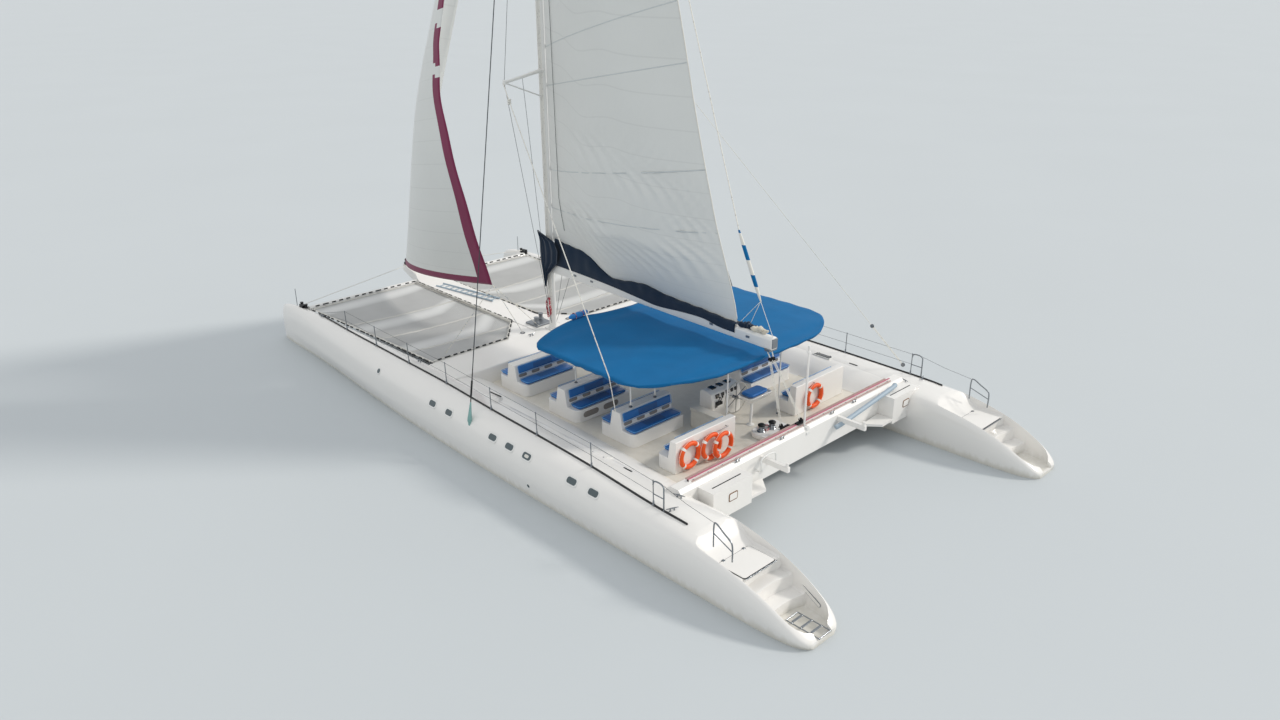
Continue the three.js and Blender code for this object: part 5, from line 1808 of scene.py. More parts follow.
def buoy_band(centre, angle, span=11):
    """A band of tape round a lifebuoy's shell."""
    bm = bmesh.new()
    circle = bmesh.ops.create_circle(bm, segments=16, radius=RING["tube"] + 0.0025)["verts"]
    bmesh.ops.rotate(bm, matrix=Matrix.Rotation(math.pi / 2, 3, "X"), verts=circle)
    bmesh.ops.translate(bm, vec=(RING["middle"], 0, 0), verts=circle)
    bmesh.ops.spin(bm, geom=circle + list(bm.edges), cent=(0, 0, 0), axis=(0, 0, 1),
                   angle=math.radians(span), steps=5)
    bmesh.ops.rotate(bm, matrix=Matrix.Rotation(math.radians(angle - span / 2), 3, "Z"), verts=bm.verts)
    bmesh.ops.transform(bm, matrix=aim(centre, Vector(centre) - Vector((1, 0, 0))), verts=bm.verts)
    bmesh.ops.recalc_face_normals(bm, faces=bm.faces)
    return bm


def grab_line(centre):
    """Rope round a lifebuoy, held at its four bands."""
    run = []
    for k in range(97):
        a = math.radians(45) + 2 * math.pi * k / 96
        slack = abs(math.sin(2 * (a - math.radians(45))))
        r = RING["middle"] + RING["tube"] + 0.006 + 0.03 * slack
        off = Vector((-0.012 - 0.01 * slack, r * math.cos(a), r * math.sin(a) - 0.012 * slack))
        run.append(Vector(centre) + off)
    return run


def lifebuoys(name, rows, node):
    """Lifebuoys with their bands and grab lines."""
    centres = [Vector((LAST["back"] - RING["tube"] - 0.005 - off, y, z)) for y, z, off in rows]
    shells = [hoop(c, (-1, 0, 0), RING["middle"], RING["tube"], 64, 16) for c in centres]
    bands = [buoy_band(c, 45 + 90 * k + 7 * i) for i, c in enumerate(centres) for k in range(4)]
    piece(f"lifebuoy_{name}", {0: shells, 1: bands},
          [finish("lifebuoy_shell"), finish("reflective_tape")], slot="ring_shell", replaces=[node])
    lines(f"lifebuoy_lines_{name}", [grab_line(c) for c in centres], 0.01, rope("grab_rope"),
          slot="ring_shell", sides=2)


class CATAMARAN_OT_lifebuoys(bpy.types.Operator):
    """Four lifebuoys on the last benches"""
    bl_idname = "catamaran.lifebuoys"
    bl_label = "Lifebuoys"

    def execute(self, context):
        lifebuoys("port", PORT_RINGS, "life_rings_port")
        lifebuoys("starboard", [STARBOARD_RING], "life_ring_starboard")
        x = LAST["back"] - 0.06
        hooks = [[(x, 3.15, 1.72), (x, 1.6, 1.72)], [(x + 0.06, 3.1, 1.74), (x, 3.1, 1.74)],
                 [(x + 0.06, 1.65, 1.74), (x, 1.65, 1.74)],
                 [(x + 0.06, -2.02, 1.79), (x - 0.01, -2.02, 1.79), (x - 0.02, -2.02, 1.8)]]
        lines("lifebuoy_bar", hooks, 0.018, finish("anodised_alloy"), slot="stainless")
        return {"FINISHED"}


HATCH = {"x": -4.85, "y": 4.64, "long": 0.64, "wide": 0.46, "low": 1.4, "thick": 0.045}
HATCH_RIM = 0.045
LADDER_X, LADDER_LONG, LADDER_Z = -11.98, 0.85, 0.18
LADDER_HALF = 0.19  # half width between its rails


class CATAMARAN_OT_hatches(bpy.types.Operator):
    """Deck hatches in alloy rims, and the boarding ladder"""
    bl_idname = "catamaran.hatches"
    bl_label = "Hatches and ladder"

    def execute(self, context):
        h = HATCH
        for name, side in SIDES.items():
            low = (h["x"] - h["long"] / 2, side * h["y"] - h["wide"] / 2, h["low"])
            high = (h["x"] + h["long"] / 2, side * h["y"] + h["wide"] / 2, h["low"] + h["thick"])
            rim = rounded_frame(low, high)
            pane = box(Vector(low) + Vector((HATCH_RIM, HATCH_RIM, 0.01)),
                       Vector(high) - Vector((HATCH_RIM, HATCH_RIM, 0.004)))
            knob = [(0, 0), (0.02, 0), (0.02, 0.012), (0, 0.014)]
            knobs = [upright(knob, (h["x"] + d, side * h["y"], high[2] - 0.006), 12) for d in (-0.2, 0.2)]
            middle = finish("smoked_acrylic") if side < 0 else finish_of(moulded_gelcoat)
            piece(f"hatch_{name}", {0: [rim], 1: [pane], 2: knobs},
                  [finish("coated_alloy"), middle, finish("anodised_alloy")],
                  body=f"hatch_{name}", slot="smoked_acrylic", replaces=[f"hatch_lid_{name}"], bevel=0.006)
        self.ladder()
        return {"FINISHED"}

    def ladder(self):
        """Boarding ladder stowed on the port stern step, with flat treads on its rungs."""
        def place(u, out, up=0.0):
            """Point u along the ladder, so far out from its middle and up."""
            return (LADDER_X + LADDER_LONG * u, HULL_Y + out, LADDER_Z + up)
        half = LADDER_HALF
        rails = [[place(0, d), place(1, d)] for d in (-half, half)]
        rungs = [[place(u, -half), place(u, half)] for u in (0.02, 0.28, 0.56, 0.84, 1)]
        lines("ladder_tubes", rails + rungs, 0.028, finish("polished_stainless"), body="boarding_ladder",
              slot="stainless", replaces=["boarding_ladder"])
        wide = 0.028 / LADDER_LONG
        pads = [box(place(u - wide, -0.15, 0.006), place(u + wide, 0.15, 0.02)) for u in (0.28, 0.56, 0.84)]
        piece("ladder_treads", pads, finish("anodised_alloy"), body="boarding_ladder", slot="stainless",
              bevel=0.004)


def rounded_frame(low, high, wide=0.04):
    """Square frame between two corners, open in the middle."""
    bm = box(low, high)
    top = [f for f in bm.faces if abs(f.normal.z) > 0.9]
    bmesh.ops.inset_individual(bm, faces=top, thickness=wide, depth=0)
    centre = (Vector(low) + Vector(high)).xy / 2
    middle = [f for f in bm.faces
              if abs(f.normal.z) > 0.9 and (f.calc_center_median().xy - centre).length < 1e-4]
    bmesh.ops.bridge_loops(bm, edges=[e for f in middle for e in f.edges])
    bmesh.ops.delete(bm, geom=middle, context="FACES_ONLY")
    bmesh.ops.recalc_face_normals(bm, faces=bm.faces)
    return bm


# Spars, sails and bag

MAST_TOP = 28.4
MAST_SECTION = (0.09, 0.15)  # half width and half depth
TRACK_CARS = (4.7, 5.6, 6.75, 9.2, 10.3, 12.9, 15.6, 18.4, 21.2)  # heights of the luff's cars
REEF_BLOCKS = (-5.9, -4.6, 0.4, 1.2)  # x along the boom
# Columns: x of the leech, how far it is set to port, height
MAIN_LEECH = [(-5.41, 0, 3.95), (-5.29, 0.02, 4.5), (-4.66, 0.1, 6.43), (-4.03, 0.2, 8.9),
              (-3.43, 0.32, 11.7), (-2.61, 0.45, 14.8), (-1.66, 0.5, 18.0), (-0.57, 0.47, 21.2),
              (0.69, 0.3, 24.6), (1.99, 0.05, 27.6)]
MAIN_LUFF_X = 2.4
SHEET_EYES = (-6.4, -6.6)  # x of the eyes under the boom
# Columns: x, top of the bag
BAG_TOP = [(2.25, 4.62), (1.7, 4.55), (0.75, 4.45), (-0.15, 4.06), (-0.55, 3.97), (-1.46, 4.08),
           (-2.0, 4.11), (-2.6, 4.03), (-3.4, 3.985), (-4.14, 3.965), (-4.8, 3.93), (-5.45, 3.905)]
# Columns: x, lower edge of the bag's cloth on the boom's sides
BAG_LOW = [(2.25, 3.8), (1.0, 3.79), (-0.5, 3.75), (-1.75, 3.68), (-2.5, 3.64), (-3.5, 3.72),
           (-4.3, 3.75), (-4.9, 3.67), (-5.45, 3.66)]
# Columns: height on the luff, leech x, y, z
JIB_ROWS = [(2.0, 4.45, 1.0, 2.81), (3.3, 4.31, 1.5, 4.24), (4.9, 4.24, 1.95, 5.87),
            (6.6, 4.41, 2.2, 7.52), (8.0, 4.8, 2.15, 8.88), (9.3, 5.02, 1.95, 10.0),
            (10.5, 5.13, 1.7, 11.06), (13.2, 4.7, 1.3, 13.6), (16.0, 3.9, 0.75, 16.3),
            (18.7, 3.04, 0.1, 18.6)]
JIB_FULL = (0.11, 0.22)  # camber's share of the chord at the foot and at the head
STRIP_FOOT = 0.34  # width of the sun strip on the foot
STRIP_LEECH = [(0, 0.58), (-0.3, 0.46), (-1, 0.42)]  # and on the leech, up from the clew
STRIP_GAPS = ((9.45, 9.75), (10.85, 11.3))  # heights where its cloth is worn pale
STAY_FOOT, STAY_TOP = (11.6, 0, 1.79), (2.79, 0, 19.5)
# Battens of the mainsail: height on the luff and on the leech
BATTENS = [(5.58, 6.17), (6.75, 7.75), (9.23, 10.33), (10.32, 11.76), (12.9, 14.9), (15.6, 18.1),
           (18.4, 21.3), (21.2, 24.4)]


def bag_top(x):
    """Height of the bag's upper edge at x."""
    return along(BAG_TOP, min(x, BAG_TOP[0][0]))[0]


def main_leech(z):
    """x and set of the leech at height z."""
    return along([(-h, x, s) for x, s, h in MAIN_LEECH], -z)


def main_point(u, z, rise=0.0):
    """Point on the mainsail, u across from luff to leech, leaving the luff at height z."""
    height = z + rise * u
    leech, set_ = main_leech(height)
    x = MAIN_LUFF_X + (leech - MAIN_LUFF_X) * u
    full = min(1.0, max(0.0, (height - bag_top(x) + 0.03) / 1.5)) ** 0.8
    belly = 0.09 * (MAIN_LUFF_X - leech) * 4 * u * (1 - u) * full
    return Vector((x, set_ * u + belly + full * creases(u, height), height))


# Patches of folds in the half-slack cloth: centre and spread across and up, wavelength, height
CREASES = [(0.5, 5.0, 0.28, 0.6, 0.36, 0.028), (0.85, 5.5, 0.13, 0.8, 0.3, 0.024),
           (0.3, 5.6, 0.15, 0.7, 0.45, 0.03), (0.72, 7.3, 0.2, 0.7, 0.34, 0.026),
           (0.4, 7.8, 0.16, 0.7, 0.4, 0.025), (0.9, 6.5, 0.1, 0.8, 0.26, 0.02)]
CREASE_LEAN = 0.75  # they run down towards the leech


def creases(u, z):
    """Height of the folds at a point on the sail."""
    run = CREASE_LEAN * 7.2 * u + z
    height = 0.0
    for across, up, wide, tall, wave, deep in CREASES:
        near = math.exp(-((u - across) / wide) ** 2 - ((z - up) / tall) ** 2)
        bend = 0.7 * (z - up) ** 2 + 0.25 * math.sin(5 * u + z)
        height += deep * near * math.sin(2 * math.pi * (run + bend) / wave)
    return height


def main_sheet():
    """The mainsail, its rows closer together near the foot."""
    tall, wide = 170, 140
    clew_x, head_z = MAIN_LEECH[0][0], MAIN_LEECH[-1][2]
    feet = [max(3.88, bag_top(MAIN_LUFF_X + (clew_x - MAIN_LUFF_X) * j / wide) - 0.1)
            for j in range(wide + 1)]
    rows = [[main_point(j / wide, foot + (head_z - foot) * (i / tall) ** 1.7)
             for j, foot in enumerate(feet)] for i in range(tall + 1)]
    return skin(rows, cut=(7.7, 23.6))


def luff_x(z):
    """x of the jib's luff, just aft of the stay, at height z."""
    t = (z - STAY_FOOT[2]) / (STAY_TOP[2] - STAY_FOOT[2])
    return STAY_FOOT[0] + (STAY_TOP[0] - STAY_FOOT[0]) * t - 0.06


def jib_row(v):
    """Luff and leech of the jib, v of the way from foot to head."""
    k = v * (len(JIB_ROWS) - 1)
    z, *leech = along([(-i, *row) for i, row in enumerate(JIB_ROWS)], -k)
    return Vector((luff_x(z), 0, z)), Vector(leech)


def jib_point(u, v):
    """Point on the jib: u from luff to leech, v from foot to head."""
    luff, leech = jib_row(v)
    chord = leech - luff
    out = Vector((chord.y, -chord.x, 0)).normalized()
    full = (JIB_FULL[0] + (JIB_FULL[1] - JIB_FULL[0]) * v) * chord.length
    draft = 4 * u ** 0.85 * (1 - u) ** 1.1
    flutter = 0.012 * math.sin(9 * u + 40 * v) * u * u
    return luff + chord * u + out * (full * draft + flutter)


def jib_sheet():
    """The jib, its sun strip on leech and foot."""
    rows = []
    tall, wide, strip = 90, 30, 3  # cells up and across the sail, and across the strip
    foot = STRIP_FOOT / 17
    up = [foot * k / strip for k in range(strip + 1)]
    for v in up + [foot + (1 - foot) * k / tall for k in range(1, tall + 1)]:
        luff, leech = jib_row(v)
        start = max(0.05, 1 - along(STRIP_LEECH, -v)[0] / (leech - luff).length)
        across = [k / wide * start for k in range(wide + 1)]
        across += [start + (1 - start) * k / strip for k in range(1, strip + 1)]
        rows.append([jib_point(u, v) for u in across])
    columns, lines_up = wide + strip, tall + strip
    bm = skin(rows, cut=(columns, lines_up))
    layer = bm.loops.layers.uv.active
    sewn = [f for f in bm.faces
            if all(loop[layer].uv.x > wide - 0.5 or loop[layer].uv.y < strip + 0.5 for loop in f.loops)]
    for face in sewn:
        height = face.calc_center_median().z
        face.material_index = 0 if any(a < height < b for a, b in STRIP_GAPS) else 1
    for face in bm.faces:
        for loop in face.loops:
            loop[layer].uv = (loop[layer].uv.x / columns * 7.1, loop[layer].uv.y / lines_up * 18.2)
    return bm


def oval_tube(centre_line, wide, deep, sides=24):
    """A closed oval section drawn along upright points: deep fore and aft, wide across."""
    rows = [[(x + deep * math.cos(a), y + wide * math.sin(a), z) for a in ring_round(sides)]
            for x, y, z in centre_line]
    return skin(rows, closed=True, caps=True)


def spreader_tip(side):
    """Where the spreader's struts meet, out and aft of the mast."""
    return (MAST_X - 1.3, side * 2.35, SPREADER_Z)


def spreader(side):
    """Two white struts from the mast to the tip, and the fitting that joins them."""
    tip = Vector(spreader_tip(side))
    shapes = []
    for fore, radius in ((-0.06, 0.045), (0.06, 0.035)):
        strut = [(0, 0), (radius + 0.006, 0), (radius, 0.3), (radius - 0.004, 2.5), (0.018, 2.68), (0, 2.68)]
        shapes.append(turned(strut, (MAST_X + fore, side * 0.05, SPREADER_Z + 0.06), tip, 16))
    end = [(0, 0), (0.05, 0.02), (0.055, 0.08), (0.03, 0.14), (0, 0.15)]
    return [*shapes, upright(end, tip - UP * 0.07, 16)]


class CATAMARAN_OT_spars(bpy.types.Operator):
    """Mast with spreaders and track, boom with its ends"""
    bl_idname = "catamaran.spars"
    bl_label = "Spars"

    def execute(self, context):
        white = finish("coated_alloy")
        foot = FOREDECK_TOP + 0.0005
        mast = oval_tube([(MAST_X, 0, z) for z in (foot, 1.56, 8, 16, 24, MAST_TOP)], *MAST_SECTION)
        collar = [box((2.35, -0.16, foot), (2.85, 0.16, 1.54)),
                  oval_tube([(MAST_X, 0, z) for z in (1.53, 1.62)], 0.115, 0.18)]
        head = box((2.2, -0.07, MAST_TOP - 0.1), (2.95, 0.07, MAST_TOP))
        struts = [s for side in SIDES.values() for s in spreader(side)]
        under = [turned([(0, 0), (0.02, 0), (0.02, 2.6), (0, 2.6)], (MAST_X, side * 0.04, SPREADER_Z - 0.7),
                        spreader_tip(side), 12) for side in SIDES.values()]
        piece("mast_tube", [mast, *collar, head, *struts, *under], white, slot="painted_alloy",
              replaces=["mast"], bevel=0.006)
        track = box((2.425, -0.016, 4.0), (2.452, 0.016, 28.0))
        cars = [box((MAIN_LUFF_X, -0.02, z), (MAIN_LUFF_X + 0.04, 0.02, z + 0.1)) for z in TRACK_CARS]
        piece("mast_track", [track, *cars], white, slot="painted_alloy")
        self.boom(white)
        return {"FINISHED"}

    def boom(self, white):
        """Boom with its end caps, sheet eyes, reef blocks and folds of spare cloth."""
        section = [(-0.11, BOOM_LOW), (0.11, BOOM_LOW), (0.125, BOOM_LOW + 0.1), (0.125, BOOM_TOP - 0.065),
                   (0.06, BOOM_TOP), (-0.06, BOOM_TOP), (-0.125, BOOM_TOP - 0.065), (-0.125, BOOM_LOW + 0.1)]
        piece("boom_tube", prism(section, "x", BOOM_AFT, 2.4), white, body="boom", slot="painted_alloy",
              replaces=["boom"], bevel=0.03, segments=4, crease=20)
        ends = [box((BOOM_AFT - 0.02, -0.1, 3.55), (BOOM_AFT + 0.01, 0.1, 3.8)),
                box((BOOM_AFT + 0.03, -0.15, 3.46), (BOOM_AFT + 0.2, 0.15, 3.52)),
                box((2.38, -0.05, 3.56), (2.44, 0.05, 3.78))]
        eyes = [hoop((x, 0, 3.47), (1, 0, 0), 0.035, 0.009, 20, 8) for x in SHEET_EYES]
        reefs = [box((x - 0.06, side * 0.125 - 0.012, 3.64), (x + 0.06, side * 0.125 + 0.012, 3.7))
                 for x in REEF_BLOCKS for side in (1, -1)]
        piece("boom_fittings", ends + eyes + reefs, finish("anodised_alloy"), body="boom",
              slot="stainless", bevel=0.006)
        for name, canvas in (("dark", "bag_canvas"), ("pale", "pale_canvas")):
            piece(f"boom_folds_{name}", [fold(*row) for row in FOLDS[name]], cloth(canvas),
                  body="boom", slot="bag_cloth", crease=80)


# Folds of spare cloth lashed on the boom's aft end: x, y, z of both ends and the radius
FOLDS = {
    "dark": [((-5.5, 0.05, 3.9), (-6.05, -0.02, 3.93), 0.08),
             ((-5.6, -0.06, 3.9), (-5.95, 0.08, 3.97), 0.07)],
    "pale": [((-5.95, 0.06, 3.9), (-6.45, -0.03, 3.91), 0.075),
             ((-6.0, -0.07, 3.9), (-6.35, 0.07, 3.95), 0.06)],
}


def fold(start, end, radius):
    """A crumpled roll of cloth between two points."""
    start, end = Vector(start), Vector(end)
    rows = []
    for k in range(21):
        t = k / 20
        centre = start.lerp(end, t) + Vector((0, 0.02 * math.sin(9 * t), 0.015 * math.sin(14 * t)))
        lumps = 1 + 0.18 * math.sin(21 * t + 50 * radius)
        r = radius * math.sin(math.pi * min(1, 0.08 + 0.86 * t)) ** 0.4 * lumps
        row = []
        for a in ring_round(16):
            wide = r * (1 + 0.15 * math.sin(3 * a + 12 * t))
            row.append(centre + Vector((0, wide * math.cos(a), r * math.sin(a))))
        rows.append(row)
    return skin(rows, closed=True, caps=True)


# Corners of the bag's loose front, lashed round the mast: left and right edge, from the top
FLAP = [((3.06, 0.1, 4.75), (3.0, 0.13, 4.72)), ((2.9, 0.15, 4.42), (2.0, 0.27, 4.6)),
        ((2.86, 0.17, 4.12), (1.8, 0.28, 4.35)), ((2.84, 0.16, 3.8), (1.95, 0.2, 3.9)),
        ((2.8, 0.14, 3.5), (2.5, 0.19, 3.4)), ((2.75, 0.12, 3.0), (2.66, 0.18, 2.98))]


def flap():
    """The bag's loose front: gathered folds that end in points."""
    rows = []
    for k in range(31):
        t = k / 30 * (len(FLAP) - 1)
        i = min(int(t), len(FLAP) - 2)
        left, right = (Vector(FLAP[i][j]).lerp(Vector(FLAP[i + 1][j]), t - i) for j in (0, 1))
        rows.append([left.lerp(right, j / 12) + Vector((0, 0.035 * math.sin(j * 1.6 + 0.4 * t), 0))
                     for j in range(13)])
    return skin(rows, cut=(0.6, 1.8))


def bag_sides():
    """Sail bag: one cloth round the sail's foot, its two edges meeting over the boom."""
    rows = []
    fore, aft, count = BAG_TOP[0][0], BAG_TOP[-1][0], 120
    for i in range(count + 1):
        x = fore + (aft - fore) * i / count
        top = bag_top(x) - 0.012 * math.sin(11 * x)
        full = 0.13 + 0.018 * math.sin(5.2 * x) + 0.01 * math.sin(13 * x + 1)
        low = along(BAG_LOW, x)[0]
        swag = 0.014 * math.sin(7 * x)
        side = [(0.03, top), (0.06, top - 0.015), (full * 0.85, BOOM_TOP + (top - BOOM_TOP) * 0.75),
                (full, BOOM_TOP + (top - BOOM_TOP) * 0.4), (0.137 + swag * 0.4, BOOM_TOP - 0.02),
                (0.138, (BOOM_TOP + low) / 2), (0.14, low)]
        rows.append([(x, y, z) for y, z in side + [(-y, z) for y, z in reversed(side)]])
    return skin(rows, cut=(1.9, 7.7))


class CATAMARAN_OT_sails(bpy.types.Operator):
    """Mainsail with its battens, jib with its sun strip, and the bag on the boom"""
    bl_idname = "catamaran.sails"
    bl_label = "Sails"

    def execute(self, context):
        mainsail = piece("mainsail_cloth", main_sheet(), finish_of(sailcloth, "main_sailcloth"),
                         body="boom", slot="sailcloth", replaces=["mainsail"], solid=0.006, crease=80)
        strips = []
        for z, leech in BATTENS:
            run = [main_point(k / 24, z, leech - z) for k in range(25)]
            for off, edges in ((0.006, (-0.014, 0.014)), (-0.006, (0.014, -0.014))):
                strips.append(skin([[p + Vector((0, off, up)) for p in run] for up in edges]))
        battens = piece("batten_pockets", strips, finish("seam_tape"), body="boom", slot="sailcloth",
                        solid=0.002, crease=80)
        edge = [main_point(1, 4.0 + 23.4 * k / 60) for k in range(61)]
        tape = lines("leech_tape", [edge], 0.03, finish("white_webbing"), body="boom", slot="sailcloth",
                     sides=1)
        reef = [main_point(0.1, 5.0 + 7 * k / 40) + Vector((0, 0.03, 0)) for k in range(41)]
        lines("reef_line", [reef], 0.014, finish_of(stranded_wire), body="boom", slot="wire", sides=1)
        held_sheet(mainsail, (7.7, 24.0), "stretched", ["mast_track", "boom_tube"],
                   with_pieces=[battens, tape])
        jib = piece("jib_cloth", jib_sheet(), [finish_of(sailcloth, "jib_sailcloth"), cloth("sun_strip")],
                    slot="sailcloth", replaces=["jib"], solid=0.006, crease=80)
        held_sheet(jib, (7.4, 18.4), "stretched", ["forestay_wire"])
        bag = piece("sail_bag_cloth", bag_sides(), cloth("bag_canvas"), body="boom", slot="bag_cloth",
                    replaces=["sail_bag"], solid=0.004, crease=80)
        piece("bag_flap", flap(), cloth("bag_canvas"), body="boom", slot="bag_cloth", solid=0.006,
              crease=80)
        held_sheet(bag, (7.9, 2.1), "hung", ["boom_tube"])
        return {"FINISHED"}


# Rigging, fittings and what is under water

HOUNDS = 21.3
SHROUD_FOOT = (-0.71, 5.6, 1.18)
SHEET_BLOCKS = [(-6.58, 3.2), (-6.68, 3.26)]  # x and z under the boom
SHEET_FEET = [(-6.95, 0.12, 1.43), (-7.43, -0.05, 1.71)]


class CATAMARAN_OT_rigging(bpy.types.Operator):
    """Standing and running rigging"""
    bl_idname = "catamaran.rigging"
    bl_label = "Rigging"

    def execute(self, context):
        wire, white = finish_of(stranded_wire), rope("white_rope")
        for name, side in SIDES.items():
            x, y, z = SHROUD_FOOT[0], side * SHROUD_FOOT[1], SHROUD_FOOT[2]
            foot, head = Vector((x, y, z)), Vector((MAST_X - 0.04, side * 0.12, HOUNDS))
            lines(f"shroud_wire_{name}", [[foot + (head - foot) * 0.06, head]], sizes().wire, wire,
                  slot="wire", replaces=[f"shroud_{name}"])
            drop = turned([(0, 0), (0.038, 0.01), (0.058, 0.05), (0.06, 0.11), (0.05, 0.22), (0.034, 0.38),
                           (0.022, 0.52), (0.018, 0.56), (0, 0.565)], foot, head, 20)
            screw = turned([(0, 0.56), (0.014, 0.56), (0.014, 0.72), (0.026, 0.74), (0.026, 1.14),
                            (0.014, 1.16), (0.013, 1.5), (0, 1.51)], foot, head, 16)
            strap = box((x - 0.04, y - 0.06, 1.03), (x + 0.04, y + 0.02, 1.2))
            piece(f"chainplate_{name}", [paint(drop, 0), paint(screw, 1), paint(strap, 0)],
                  [finish("shroud_cover"), finish("satin_black")], slot="stainless", bevel=0.006)
            self.diamonds(name, side, wire)
            self.runner(side, white)
        lines("forestay_wire", [[STAY_FOOT, STAY_TOP]], 0.03, wire, slot="wire", replaces=["forestay"])
        drum = [(0, 0), (0.09, 0), (0.09, 0.03), (0.05, 0.05), (0.05, 0.14), (0.09, 0.16), (0.09, 0.19),
                (0.03, 0.22), (0.03, 0.5), (0, 0.5)]
        furler = turned(drum, (STAY_FOOT[0], 0, STAY_FOOT[2] - 0.005), STAY_TOP, 24)
        piece("furling_drum", furler, finish("satin_black"), slot="stainless")
        self.topping_lift(white)
        self.mainsheet(white)
        self.halyards(white)
        return {"FINISHED"}

    def diamonds(self, name, side, wire):
        """Diamond stays from the spreader's tip up and down the mast, and its lower braces."""
        tip = spreader_tip(side)
        runs = [[tip, (MAST_X - 0.04, side * 0.08, 20.6)], [tip, (MAST_X - 0.06, side * 0.1, 1.75)],
                [(MAST_X - 0.7, side * 1.28, SPREADER_Z + 0.02), (MAST_X - 0.02, side * 0.1, 1.8)]]
        lines(f"diamond_stays_{name}", runs, 0.012, wire, slot="wire", sides=2)

    def runner(self, side, line):
        """Running backstay: taut to starboard, laid forward to the bench on the port side."""
        if side > 0:
            tip, knot, end = (1.3, 2.39, 9.6), (0.91, 2.5, 9.15), (-3.99, 3.262, 1.86)
            lines("runner_port", [[tip, knot, (-4.42, 3.84, 3.13), end]], 0.03, line, slot="wire", sides=2)
            ties = [hoop(Vector(knot) + UP * (0.05 * k), (0.4, -0.1, 1), 0.04, 0.018, 16, 8)
                    for k in (-1, 0, 1)]
            piece("runner_knot_port", ties, line, slot="wire")
            return
        foot, top = Vector((-7.22, -5.34, 1.5)), Vector((2.5, -0.1, 14.0))
        way = (top - foot).normalized()
        lines("runner_starboard", [[foot + way * 0.3, top]], 0.016, line, slot="wire", sides=2)
        blocks = [block_shape(foot + way * 0.12, 0.06), block_shape(foot + way * 1.6, 0.055)]
        piece("runner_blocks_starboard", blocks, finish("anodised_alloy"), slot="stainless", bevel=0.004)
        falls = [[foot + way * t + Vector((0, d, 0)) for t in (0.15, 1.55)] for d in (-0.03, 0.0, 0.03)]
        lines("runner_falls_starboard", falls, 0.012, line, slot="wire", sides=2)

    def topping_lift(self, line):
        """Line from the masthead to the boom's end, wrapped where it divides."""
        head, bend, fork = (2.3, 0, 28.3), (-5.36, 0, 6.37), (-6.18, 0, 4.67)
        lines("topping_lift", [[head, bend, fork]], sizes().rope * 1.7, line, body="boom", slot="wire",
              sides=2)
        legs = [[fork, end] for end in ((-6.66, 0.03, 3.84), (-5.58, 0.06, 3.98), (-5.84, -0.05, 4.0))]
        lines("topping_bridle", legs, 0.014, line, body="boom", slot="wire", sides=2)
        rows = []
        for k in range(25):
            t = k / 24
            centre = Vector(fork).lerp(Vector(bend), t)
            r = 0.024 + 0.045 * math.sin(math.pi * t) + 0.008 * math.sin(9 * t)
            rows.append([(centre.x + r * math.cos(a), centre.y + 0.7 * r * math.sin(a), centre.z)
                         for a in ring_round(10)])
        wrap = paint(skin(rows, closed=True, caps=True), 1,
                     lambda f: int(f.calc_center_median().z * 3) % 2 == 0)
        piece("topping_wrap", wrap, [cloth("acrylic_canvas"), finish("white_webbing")], body="boom",
              slot="bag_cloth", crease=80)

    def mainsheet(self, line):
        """Mainsheet: three falls from each block under the boom to the block below it."""
        shapes = []
        for dy in (-0.035, 0.0, 0.035):
            for (x, z), foot in zip(SHEET_BLOCKS, SHEET_FEET):
                start = Vector(foot) + Vector((0, dy, 0))
                end = BOOM_SET @ Vector((x, dy, z - 0.03))
                tube = turned([(0, 0), (0.008, 0), (0.008, 1), (0, 1)], start, end, 8)
                stretch(tube, start, end)
                shapes.append(tube)
        falls = piece("mainsheet_falls", shapes, line, body=None, slot="wire")
        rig.blend(falls, "platform", "boom", start=SHEET_FEET[0],
                 end=tuple(BOOM_SET @ Vector((-6.6, 0, 3.24))))
        (x0, y0, z0), (x1, y1, z1) = SHEET_FEET
        car = [box((x1 - 0.06, y1 - 0.16, 1.592), (x1 + 0.06, y1 + 0.16, 1.635)),
               block_shape((x1, y1, z1 - 0.02), 0.055), block_shape((x0, y0, z0 - 0.02), 0.05),
               box((x0 - 0.05, y0 - 0.05, 1.3505), (x0 + 0.05, y0 + 0.05, 1.38))]
        piece("mainsheet_car", car, finish("satin_black"), slot="stainless", bevel=0.005)
        piece("boom_blocks", [block_shape((x, 0, z), 0.055) for x, z in SHEET_BLOCKS],
              finish("satin_black"), body="boom", slot="stainless", bevel=0.005)
        strops = [[(x, dy, BOOM_LOW + 0.02), (bx, dy, z + 0.04)]
                  for x, (bx, z) in zip(SHEET_EYES, SHEET_BLOCKS) for dy in (-0.012, 0.012)]
        lines("boom_strops", strops, 0.014, line, body="boom", slot="wire", sides=2)

    def halyards(self, line):
        """Halyards down the mast and a coil of red line at its foot."""
        runs = [[(MAST_X - 0.11 + 0.05 * k, 0.1, 1.9 + 0.1 * k), (MAST_X - 0.1 + 0.05 * k, 0.1, 20 + k)]
                for k in range(4)]
        lines("halyards", runs, 0.013, line, slot="wire", sides=2)
        coil = []
        for k in range(121):
            a = 2 * math.pi * k / 24
            coil.append((MAST_X - 0.02 + 0.09 * math.cos(a), 0.13 + 0.02 * math.sin(3 * a) + 0.0006 * k,
                         2.3 + (0.32 + 0.02 * math.sin(k)) * math.sin(a)))
        lines("halyard_coil", [coil], 0.014, rope("red_rope"), slot="wire", sides=2)


def stretch(bm, start, end):
    """Draws a unit-long tube out to the end."""
    way = end - start
    unit = way.normalized()
    for vert in bm.verts:
        t = (vert.co - start).dot(unit)
        vert.co += unit * (t * (way.length - 1))
    bmesh.ops.subdivide_edges(
        bm, edges=[e for e in bm.edges if e.calc_length() > way.length * 0.5], cuts=8)


